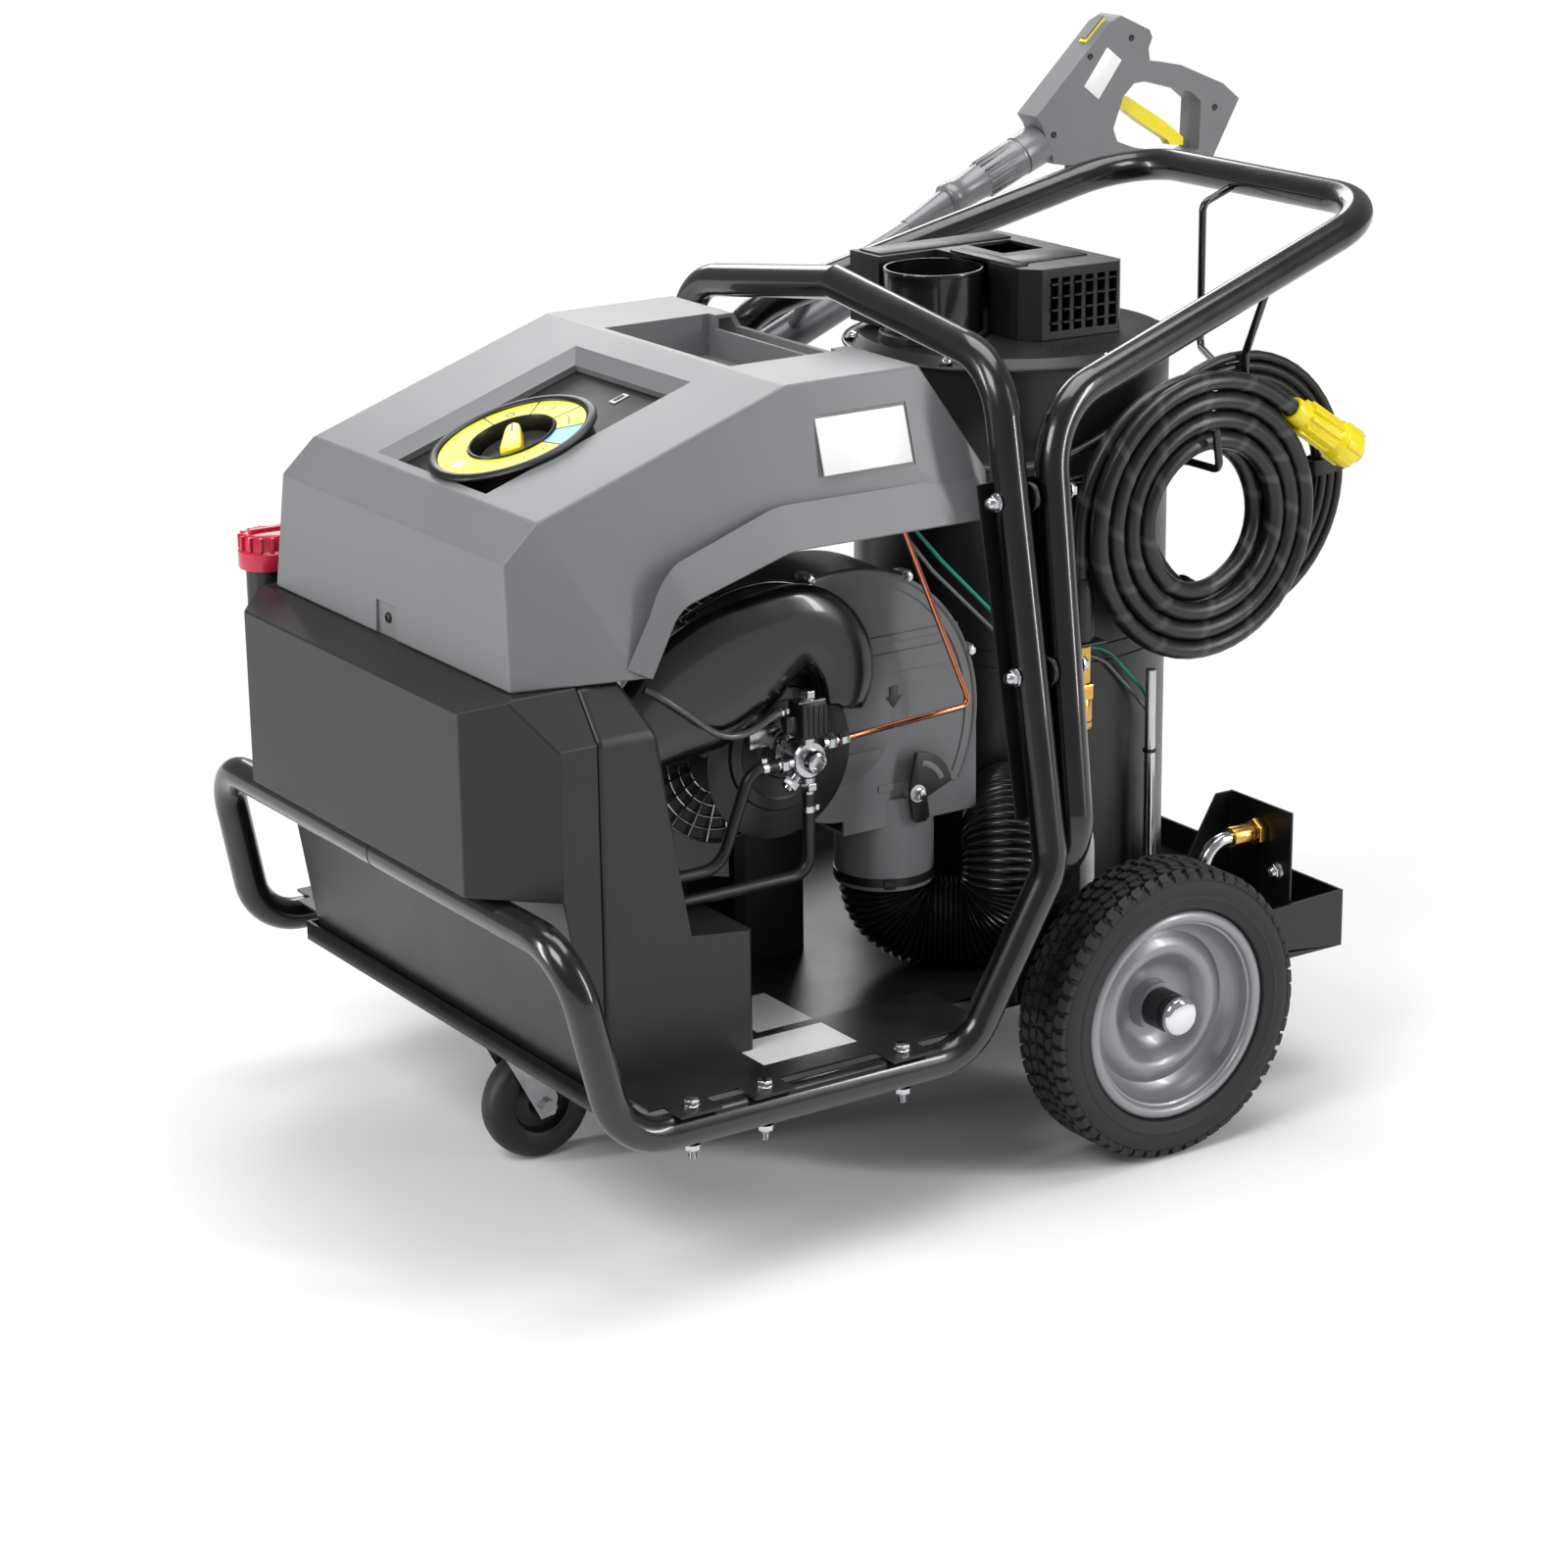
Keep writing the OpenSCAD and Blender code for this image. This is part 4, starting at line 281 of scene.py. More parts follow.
# Nickel plate on machined steel: warm bright silver with duller patches
PUMP_METAL = surface("pump_nickel", "b9bbbd", 0.24, 1.0, grain_mm=1.0, grain=0.02, mottle=0.14, mottle_mm=14,
                     rough_spread=0.14)
# Turned brass: yellow metal with a soft tool shine
BRASS = surface("turned_brass", "cfa252", 0.24, 1.0, grain_mm=0.5, grain=0.006, mottle=0.12, mottle_mm=14,
                rough_spread=0.14)
# Drawn copper: orange metal, a little darkened by handling
COPPER = surface("drawn_copper", "c98062", 0.26, 1.0, grain_mm=1.5, grain=0.006, mottle=0.16, mottle_mm=25,
                 rough_spread=0.14)
# Cold drawn steel tube: long clear reflections
STEEL_TUBE = surface("bright_steel_tube", "c3c5c8", 0.16, 1.0, grain_mm=2.5, grain=0.006, mottle=0.10,
                     mottle_mm=30, rough_spread=0.10)
# Injection moulded yellow ABS: a flat strong colour under a light gloss
YELLOW = surface("moulded_yellow", "ecd80e", 0.30, grain_mm=1.0, grain=0.012, mottle=0.04, mottle_mm=30,
                 coat=0.15)
# Screen-printed film on the scale: even colour with almost no texture
SCALE_YELLOW = surface("scale_yellow", "e6e600", 0.34, grain_mm=0.7, grain=0.006, mottle=0.03, mottle_mm=30)
SCALE_BLUE = surface("scale_blue", "6fb6e6", 0.34, grain_mm=0.7, grain=0.006, mottle=0.03, mottle_mm=30)
# Injection moulded red polypropylene: deep colour with a waxy gloss
RED = surface("moulded_red", "b8203c", 0.26, grain_mm=1.0, grain=0.012, mottle=0.06, mottle_mm=25, coat=0.2)
# Bare aluminium plate in white enamel: bright and smooth
WHITE_PLATE = surface("bare_white_plate", "e9eaea", 0.30, grain_mm=1.0, grain=0.004, mottle=0.02,
                      mottle_mm=40)
# Vinyl film: a plain off-white, duller than the plates
LABEL_WHITE = surface("plain_label", "dcdcda", 0.38, grain_mm=0.6, grain=0.004, mottle=0.03, mottle_mm=30)
# Glass-filled nylon: mid grey, dry and slightly rough
GUN_GREY = surface("gun_moulded_grey", "6c6d6f", 0.44, grain_mm=0.8, grain=0.02, mottle=0.05, mottle_mm=50,
                   dust=0.04)
# Lacquered steel lance and its moulded sleeve: grey with a thin metallic glint
LANCE_GREY = surface("lance_tube_grey", "77787a", 0.34, 0.3, grain_mm=1.0, grain=0.010, mottle=0.06,
                     mottle_mm=40)
# Galvanised steel under grey paint: duller than the lance
HOLDER_GREY = surface("holder_grey", "696b6e", 0.38, 0.2, grain_mm=1.0, grain=0.010, mottle=0.06,
                      mottle_mm=40)
# Extruded PVC on a wire: blue-green with a small sharp highlight
EARTH_TEAL = surface("earth_wire_teal", "0f8f7c", 0.34, grain_mm=0.8, grain=0.006, mottle=0.05, mottle_mm=20)
# Clear PVC over a bright braid: milky silver under a wet coat
CLEAR_HOSE = surface("clear_pvc_hose", "c9ccce", 0.18, grain_mm=2.0, grain=0.01, mottle=0.14, mottle_mm=18,
                     coat=0.4)
# Steel pipe stained by heat: patches of brown and straw
COIL_STEEL = surface("heat_stained_steel", "6e6459", 0.42, 0.9, grain_mm=1.5, grain=0.03, mottle=0.25,
                     mottle_mm=25)
# Machine enamel on cast fins: near black with a dusty top
MOTOR_PAINT = surface("motor_enamel", "2b2d30", 0.40, grain_mm=1.2, grain=0.03, mottle=0.08, dust=0.08)

# ---------------------------------------------------------------- shapes


def finished(name, mesh, body, materials, replaces=(), angle=35, weighted=False):
    """Adds a mesh as a piece that rides on a body."""
    for material in materials:
        mesh.materials.append(material)
    mesh.shade_smooth()
    mesh.set_sharp_from_angle(angle=math.radians(angle))
    piece = bpy.data.objects.new(name, mesh)
    bpy.context.scene.collection.objects.link(piece)
    if weighted:
        modifier = piece.modifiers.new("weighted", "WEIGHTED_NORMAL")
        modifier.keep_sharp = True
        bake_modifiers(piece)
    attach(piece, body)
    if replaces:
        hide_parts(*replaces)
    return piece


def bake_modifiers(piece):
    bpy.context.view_layer.update()
    graph = bpy.context.evaluated_depsgraph_get()
    plain = bpy.data.meshes.new_from_object(piece.evaluated_get(graph), preserve_all_data_layers=True,
                                            depsgraph=graph)
    piece.modifiers.clear()
    piece.data = plain


def mesh_of(bm, name="mesh"):
    mesh = bpy.data.meshes.new(name)
    bm.to_mesh(mesh)
    bm.free()
    return mesh


def closed_mesh(name, points, faces):
    mesh = bpy.data.meshes.new(name)
    mesh.from_pydata([tuple(p) for p in points], [], faces)
    mesh.update()
    return mesh


def turned(mesh, origin, axis, first=None):
    """Stands a mesh that was made round Z at an origin with its Z along axis."""
    z = Vector(axis).normalized()
    x = Vector(first) if first else (Vector((0, 0, 1)) if abs(z.z) < 0.9 else Vector((1, 0, 0)))
    x = (x - z * x.dot(z)).normalized()
    y = z.cross(x)
    turn = Matrix((x, y, z)).transposed().to_4x4()
    mesh.transform(Matrix.Translation(origin) @ turn)
    return mesh


def moved_up(mesh, z):
    mesh.transform(Matrix.Translation((0, 0, z * MM)))
    return mesh


def revolve(profile, steps=64, closed=False):
    """Turns (radius, height) pairs in mm round Z. An open profile gets flat or pointed ends on the axis."""
    points = []
    faces = []
    count = len(profile)
    for k in range(steps):
        a = 2 * math.pi * k / steps
        points += [(r * MM * math.cos(a), r * MM * math.sin(a), z * MM) for r, z in profile]
    for k in range(steps):
        n = (k + 1) % steps
        for i in range(count if closed else count - 1):
            j = (i + 1) % count
            faces.append((k * count + i, n * count + i, n * count + j, k * count + j))
    bm = bmesh.new()
    for p in points:
        bm.verts.new(p)
    bm.verts.ensure_lookup_table()
    for f in faces:
        bm.faces.new([bm.verts[i] for i in f])
    bmesh.ops.remove_doubles(bm, verts=bm.verts, dist=1e-7)
    bmesh.ops.recalc_face_normals(bm, faces=bm.faces)
    return mesh_of(bm)


def rounded_path(points, radii):
    """Points in metres along straight runs with round bends, from corner points; radii in mm."""
    corners = [Vector(p) for p in points]
    path = [corners[0]]
    for i in range(1, len(corners) - 1):
        u = (corners[i - 1] - corners[i]).normalized()
        v = (corners[i + 1] - corners[i]).normalized()
        turn = math.pi - u.angle(v)
        radius = radii[i - 1] * MM
        if turn < 1e-4:
            path.append(corners[i])
            continue
        centre = corners[i] + (u + v).normalized() * radius / math.cos(turn / 2)
        x = (corners[i] + u * radius * math.tan(turn / 2) - centre).normalized()
        steps = max(3, int(turn * 12))
        path += [centre + radius * (x * math.cos(turn * k / steps) - u * math.sin(turn * k / steps))
                 for k in range(steps + 1)]
    return path + [corners[-1]]


def path_length(path):
    return sum((b - a).length for a, b in zip(path, path[1:]))


def spaced(path, step):
    """The path's points at even steps of about that many metres."""
    total = path_length(path)
    count = max(2, round(total / step))
    out = []
    i, passed = 0, 0.0
    for k in range(count + 1):
        s = total * k / count
        while i < len(path) - 2 and passed + (path[i + 1] - path[i]).length < s:
            passed += (path[i + 1] - path[i]).length
            i += 1
        span = (path[i + 1] - path[i]).length
        out.append(mix(path[i], path[i + 1], min(1.0, (s - passed) / span) if span else 0))
    return out


def tube(path, radius, sides=16, closed=False, ends=True, first=(0, 0, 1), uv=False):
    """A round tube in metres; radius in mm is a number or one for each point of the path."""
    count = len(path)
    radii = radius if isinstance(radius, (list, tuple)) else [radius] * count
    tangents = []
    for i in range(count):
        a = path[i - 1] if i or closed else path[i]
        b = path[(i + 1) % count] if i < count - 1 or closed else path[i]
        tangents.append((b - a).normalized())
    normal = Vector(first)
    if abs(normal.normalized().dot(tangents[0])) > 0.98:
        normal = Vector((0.3, 1, 0.2))
    bm = bmesh.new()
    layer = bm.loops.layers.uv.new("length") if uv else None
    rings, lengths, passed = [], [], 0.0
    for i in range(count):
        t = tangents[i]
        normal = (normal - t * normal.dot(t)).normalized()
        side = t.cross(normal)
        passed += (path[i] - path[i - 1]).length if i else 0
        lengths.append(passed)
        rings.append([bm.verts.new(path[i] + MM * radii[i] * (normal * math.cos(2 * math.pi * k / sides)
                                                            + side * math.sin(2 * math.pi * k / sides)))
                      for k in range(sides)])
    for i in range(count if closed else count - 1):
        for k in range(sides):
            j, n = (i + 1) % count, (k + 1) % sides
            face = bm.faces.new((rings[i][k], rings[i][n], rings[j][n], rings[j][k]))
            if uv:
                for loop, (u, v) in zip(face.loops, ((lengths[i], k), (lengths[i], k + 1),
                                                     (lengths[j], k + 1), (lengths[j], k))):
                    loop[layer].uv = (u, v / sides)
    if ends and not closed:
        bm.faces.new(rings[0][::-1])
        bm.faces.new(rings[-1])
    return mesh_of(bm)


def joined(meshes, name="joined"):
    """One mesh from several, with the material numbers kept."""
    bm = bmesh.new()
    for mesh in meshes:
        mesh, index = mesh if isinstance(mesh, tuple) else (mesh, 0)
        start = len(bm.faces)
        bm.from_mesh(mesh)
        bm.faces.ensure_lookup_table()
        for face in bm.faces[start:]:
            face.material_index = index
        bpy.data.meshes.remove(mesh)
    return mesh_of(bm, name)


def mm(x, y, z):
    """A place in a shape's own axes, from mm."""
    return Vector((x * MM, y * MM, z * MM))


def polar(radius, degrees):
    a = math.radians(degrees)
    return radius * math.cos(a), radius * math.sin(a)


def hexagon(radius):
    return [polar(radius, 60 * k) for k in range(6)]


def spun(mesh, degrees):
    """Turns a mesh round its own Z."""
    mesh.transform(Matrix.Rotation(math.radians(degrees), 4, "Z"))
    return mesh


def round_edges(bm, edges, width, segments, clamp=False):
    bmesh.ops.bevel(bm, geom=edges, offset=width * MM, segments=segments, profile=0.5, affect="EDGES",
                    clamp_overlap=clamp)


def block(low, high, bevel=1.0, segments=2):
    """A box in metres with rounded edges; bevel in mm."""
    bm = bmesh.new()
    bmesh.ops.create_cube(bm, size=1.0)
    size = high - low
    bmesh.ops.scale(bm, vec=size, verts=bm.verts)
    bmesh.ops.translate(bm, vec=(low + high) / 2, verts=bm.verts)
    if bevel:
        round_edges(bm, bm.edges[:], bevel, segments)
    return mesh_of(bm)


def plate(outline, depth, bevel=0.8, segments=2):
    """A flat plate from an outline in mm in the XY plane, from Z 0 up to depth, with rounded rims."""
    bm = bmesh.new()
    low = [bm.verts.new((x * MM, y * MM, 0)) for x, y in outline]
    face = bm.faces.new(low)
    raised = bmesh.ops.extrude_face_region(bm, geom=[face])
    top = [v for v in raised["geom"] if isinstance(v, bmesh.types.BMVert)]
    bmesh.ops.translate(bm, vec=(0, 0, depth * MM), verts=top)
    bmesh.ops.recalc_face_normals(bm, faces=bm.faces)
    if bevel:
        rims = [e for e in bm.edges if abs(e.verts[0].co.z - e.verts[1].co.z) < 1e-7]
        round_edges(bm, rims, bevel, segments)
    return mesh_of(bm)


def clean_copy(node_name, flat=0.6):
    """The CAD node's mesh, merged, with its flat faces joined again."""
    bm = bmesh.new()
    bm.from_mesh(NODES[node_name].data)
    bmesh.ops.remove_doubles(bm, verts=bm.verts, dist=2e-5)
    bmesh.ops.dissolve_limit(bm, angle_limit=math.radians(flat), verts=bm.verts, edges=bm.edges)
    return bm


def softened(node_name, body, material, width=1.2, segments=2, limit=28, ridges=None, name=None,
             change=None):
    """A CAD node with rounded edges.

    ridges is (width, test) for the broad ones, and change(bm) moves the node's points first.
    """
    bm = clean_copy(node_name)
    if change:
        change(bm)
    if ridges:
        broad, test = ridges
        edges = [e for e in bm.edges if len(e.link_faces) == 2 and test(e)]
        round_edges(bm, edges, broad, 4, clamp=True)
        bmesh.ops.remove_doubles(bm, verts=bm.verts, dist=1e-6)
    edges = [e for e in bm.edges if len(e.link_faces) == 2 and e.calc_face_angle(0) > math.radians(limit)]
    round_edges(bm, edges, width, segments, clamp=True)
    mesh = mesh_of(bm)
    return finished(name or node_name + "_finished", mesh, body, [material], (node_name,), angle=40,
                    weighted=True)


def repeat_round(template, count, step_degrees):
    """Copies of a mesh turned round Z, made by a node tree with its count and step as inputs."""
    tree = bpy.data.node_groups.new("turned_copies", "GeometryNodeTree")
    tree.interface.new_socket("Geometry", in_out="INPUT", socket_type="NodeSocketGeometry")
    number = tree.interface.new_socket("Count", in_out="INPUT", socket_type="NodeSocketInt")
    turn = tree.interface.new_socket("Step", in_out="INPUT", socket_type="NodeSocketFloat")
    tree.interface.new_socket("Geometry", in_out="OUTPUT", socket_type="NodeSocketGeometry")
    way_in = node(tree, "NodeGroupInput")
    spots = node(tree, "GeometryNodePoints", {"Count": way_in.outputs["Count"]})
    index = node(tree, "GeometryNodeInputIndex")
    angle = node(tree, "ShaderNodeMath", {0: index.outputs[0], 1: way_in.outputs["Step"]},
                 operation="MULTIPLY")
    rotation = node(tree, "ShaderNodeCombineXYZ", {"Z": angle.outputs[0]})
    placed = node(tree, "GeometryNodeInstanceOnPoints", {"Points": spots.outputs[0],
                                                         "Instance": way_in.outputs["Geometry"],
                                                         "Rotation": rotation.outputs[0]})
    real = node(tree, "GeometryNodeRealizeInstances", {"Geometry": placed.outputs[0]})
    dressed = node(tree, "GeometryNodeSetMaterial", {"Geometry": real.outputs[0]})
    node(tree, "NodeGroupOutput", {"Geometry": dressed.outputs[0]})
    carrier = bpy.data.objects.new("copies", template)
    bpy.context.scene.collection.objects.link(carrier)
    modifier = carrier.modifiers.new("copies", "NODES")
    modifier.node_group = tree
    modifier[number.identifier] = count
    modifier[turn.identifier] = math.radians(step_degrees)
    bpy.context.view_layer.update()
    graph = bpy.context.evaluated_depsgraph_get()
    mesh = bpy.data.meshes.new_from_object(carrier.evaluated_get(graph), depsgraph=graph)
    bpy.data.objects.remove(carrier)
    mesh.materials.clear()
    return mesh


# ---------------------------------------------------------------- hose and cable


def coil_points(centre, layers, radius, pitch, turns, start, per_turn=48):
    """Centreline in mm of a coil in two layers that spirals in and out again."""
    middle = turns / 2
    steps = round(per_turn * turns)
    points = []
    for k in range(steps + 1):
        t = turns * k / steps
        rad = radius - pitch * (middle - abs(t - middle))
        climb = min(1.0, max(0.0, (t - middle + 0.25) / 0.5))
        a = math.radians(start - 360 * t)
        points.append(Vector((centre[0] + rad * math.cos(a), mix(layers[0], layers[1], climb),
                              centre[1] + rad * math.sin(a))))
    return points


HOSE_D, HOSE_PITCH = 19.0, 19.8
HOSE_COIL = (148, 600)
HOSE_LAYERS = (-206.0, -206.0 - HOSE_PITCH)
HOSE_R = 144.0
OUTLET = (4.0, -206.0)
SLEEVE_TOP = 560.0
CABLE_D, CABLE_PITCH = 10.0, 10.9
CABLE_COIL = (222, 612)
CABLE_LAYERS = (-170.0 - CABLE_PITCH, -170.0)
CABLE_R = 140.0
GLAND_DIRECTION = Vector((45, 0, -7)).normalized()
GLAND_PLACE = Vector((-150 + 7 * (688 - 655) / 45, CABLE_LAYERS[0], 688)) + GLAND_DIRECTION * 0.1
GLAND_LENGTH = 38


def placed_mm(points):
    return [at(*p) for p in points]


def add_hose():
    wound = coil_points(HOSE_COIL, HOSE_LAYERS, HOSE_R, HOSE_PITCH, 7 + 129 / 360, 180)
    out = (wound[-1] - wound[-2]).normalized()
    path = placed_mm([wound[0] - Vector((0, 0, HOSE_COIL[1] - SLEEVE_TOP)), wound[0] - Vector((0, 0, 14))]
                     + wound + [wound[-1] + out * HOSE_D])
    mesh = tube(path, HOSE_D / 2, sides=18, first=(0, 1, 0), uv=True)
    hose = finished("high_pressure_hose", mesh, "root", [HOSE_RUBBER], ("hose_coil",),
                    angle=60)
    sleeve = revolve([(0, 0), (12.5, 0), (13.5, 1), (13.5, 50), (13, 58), (11.5, 64), (9.8, 65), (0, 65)], 40)
    turned(sleeve, at(OUTLET[0], OUTLET[1], 495.4), (0, 0, 1))
    finished("hose_sleeve", sleeve, "root", [SMOOTH_BLACK])
    # The swaged connector: a yellow grip with flutes, a hexagonal collar and a brass seat
    parts = [(revolve([(9.6, 0), (12, 0), (13, 2), (13.6, 12), (16.4, 62), (17.5, 66), (19, 68), (20.5, 70.5),
                       (20.8, 72), (20.8, 93), (19.8, 95.5), (12.4, 95.6), (11.6, 92), (0, 92)], 64), 0)]
    flute = block(mm(13.6, -2.1, 18), mm(18.8, 2.1, 64), 1.2)
    parts.append((repeat_round(flute, 10, 36), 0))
    lug = block(mm(19.6, -4.5, 72), mm(22.2, 4.5, 95), 0.9)
    parts.append((repeat_round(lug, 6, 60), 0))
    parts.append((revolve([(7, 90), (12, 90), (12, 103), (11, 105.5), (8, 105.8), (7, 104.5)], 40, True), 1))
    connector = joined(parts)
    turned(connector, at(*(wound[-1] + out * (HOSE_D + 0.2))), out, (0, 1, 0))
    connector = finished("hose_connector_finished", connector, "root", [YELLOW, BRASS],
                         ("hose_connector",))


def smooth_route(points, per_span=5):
    """Catmull-Rom points through a route in mm."""
    out = []
    for i in range(len(points) - 1):
        p0 = points[max(0, i - 1)]
        p1, p2 = points[i], points[i + 1]
        p3 = points[min(len(points) - 1, i + 2)]
        for k in range(per_span):
            t = k / per_span
            out.append(0.5 * ((2 * p1) + (p2 - p0) * t + (2 * p0 - 5 * p1 + 4 * p2 - p3) * t * t
                              + (3 * p1 - p0 - 3 * p2 + p3) * t ** 3))
    return out + [points[-1]]


def add_cable():
    wound = coil_points(CABLE_COIL, CABLE_LAYERS, CABLE_R, CABLE_PITCH, 5 + 150 / 360, 110)
    last = len(wound) - 1
    turned_back = [p + Vector((0, 31 * smooth((i - last + 11) / 10), 0)) for i, p in enumerate(wound)]
    into = Vector((math.sin(math.radians(110)), 0, -math.cos(math.radians(110))))
    out = (turned_back[-1] - turned_back[-3]).normalized()
    route = [(-76, 677.5), (-52, 674.6), (-28, 674), (-4, 676), (20, 681), (44, 688.6), (68, 698.4),
             (92, 709.4), (115, 719.6), (138, 729)]
    lead = [GLAND_PLACE + GLAND_DIRECTION * GLAND_LENGTH, GLAND_PLACE + GLAND_DIRECTION * (GLAND_LENGTH + 8)]
    lead += [Vector((x, CABLE_LAYERS[0], z)) for x, z in route] + [turned_back[0] - into * CABLE_D]
    path = placed_mm(smooth_route(lead) + turned_back + [turned_back[-1] + out * CABLE_D])
    cable = finished("power_cable", tube(path, CABLE_D / 2, sides=14, first=(0, 1, 0), uv=True), "root",
                     [CABLE_RUBBER], ("cable_lead", "cable_coil"), angle=60)
    gland = joined([turned(plate(hexagon(11.5), 7, 1.2), Vector((0, 0, 0)), (0, 0, 1)),
                    revolve([(0, 6), (9.4, 6), (9.6, 7), (9.6, 13), (9, 14)]
                            + [(9 - 2.4 * k / 8 - (0.5 if k % 2 else 0), 14 + 3 * k) for k in range(8)]
                            + [(6.4, 38), (0, 38)], 40)])
    turned(gland, at(*GLAND_PLACE), GLAND_DIRECTION)
    finished("cable_gland_finished", gland, "root", [SMOOTH_BLACK], ("cable_gland",))
    grip = block(mm(14.8, -2, 28), mm(17.4, 2, 46), 0.8)
    pin = revolve([(0, 0), (2.4, 0), (2.4, 17.5), (1.4, 19), (0, 19)], 20)
    pins = []
    for side in (-1, 1):
        one = pin.copy()
        one.transform(Matrix.Translation((0, side * 9.5 * MM, 48 * MM)))
        pins.append((one, 1))
    plug = joined([(revolve([(0, 0), (7, 0), (7.5, 1), (8, 8), (12.6, 24), (16, 26), (16.6, 28), (16.6, 46),
                             (15.6, 48), (0, 48)], 48), 0), (repeat_round(grip, 18, 20), 0)] + pins)
    place = turned_back[-1] + out * (CABLE_D + 0.3)
    turned(plug, at(*place), out, (0, 1, 0))
    plug = finished("power_plug_finished", plug, "root", [SMOOTH_BLACK, CHROME],
                    ("power_plug",))
    # Hook-and-loop ties that hold the turns together
    for name, (x, z), angle in (("cable_tie_low", CABLE_COIL, 238), ("cable_tie_far", CABLE_COIL, 5)):
        a = math.radians(angle)
        middle = Vector((x + 124 * math.cos(a), (CABLE_LAYERS[0] + CABLE_LAYERS[1]) / 2,
                         z + 124 * math.sin(a)))
        loop = []
        for k in range(40):
            b = 2 * math.pi * k / 40
            rim = Vector((math.cos(b), math.sin(b)))
            rim = Vector((math.copysign(abs(rim.x) ** 0.6, rim.x), math.copysign(abs(rim.y) ** 0.6, rim.y)))
            loop.append(at(*(middle + Vector((math.cos(a), 0, math.sin(a))) * 23.5 * rim.x
                             + Vector((0, 12.8 * rim.y, 0)))))
        bm = bmesh.new()
        across = Vector((-math.sin(a), 0, math.cos(a))) * 8 * MM
        rows = [[bm.verts.new(p + across * s) for p in loop] for s in (-1, 1)]
        for k in range(40):
            bm.faces.new((rows[0][k], rows[0][(k + 1) % 40], rows[1][(k + 1) % 40], rows[1][k]))
        bmesh.ops.recalc_face_normals(bm, faces=bm.faces)
        bmesh.ops.solidify(bm, geom=bm.faces[:], thickness=0.0012)
        finished(name, mesh_of(bm), "root", [CABLE_RUBBER])


add_hose()
add_cable()

# ---------------------------------------------------------------- wheels


def tread_blocks(radius, width, height):
    """One pitch of a turf tread: wavy blocks side by side, made round Z at its outer face."""
    rows = 6
    pitch = 2 * math.pi * radius / 54
    meshes = []
    for row in range(rows):
        low = -width / 2 + width * row / rows + 0.9
        high = low + width / rows - 1.8
        lean = 2.4 if row % 2 else -2.4
        shift = pitch * (0.5 if row in (1, 4) else 0.0 if row in (0, 5) else 0.25)
        points = []
        for r, inset in ((radius - height - 1.2, 0.0), (radius, 0.9)):
            for u, v in ((-0.36, low), (-0.36 + 0.12, (low + high) / 2), (-0.36, high), (0.36, high),
                         (0.36 + 0.12, (low + high) / 2), (0.36, low)):
                across = (v - (low + high) / 2)
                around = (u * pitch + (1.2 if u > 0 else -1.2) * (-inset / 1.2)
                          + across / (high - low) * lean + shift)
                a = around / radius
                edge = max(0.0, abs(v) - width / 2 + 12) / 12
                drop = 5.0 * edge * edge
                points.append(((r - drop) * MM * math.cos(a), (r - drop) * MM * math.sin(a),
                               (v - math.copysign(inset, across) if abs(across) > 0.1 else v) * MM))
        faces = [tuple(range(5, -1, -1)), tuple(range(6, 12))] + [(k, (k + 1) % 6, 6 + (k + 1) % 6, 6 + k)
                                                                 for k in range(6)]
        meshes.append(closed_mesh("block", points, faces))
    one = joined(meshes)
    bm = bmesh.new()
    bm.from_mesh(one)
    bmesh.ops.recalc_face_normals(bm, faces=bm.faces)
    bm.to_mesh(one)
    bm.free()
    return one


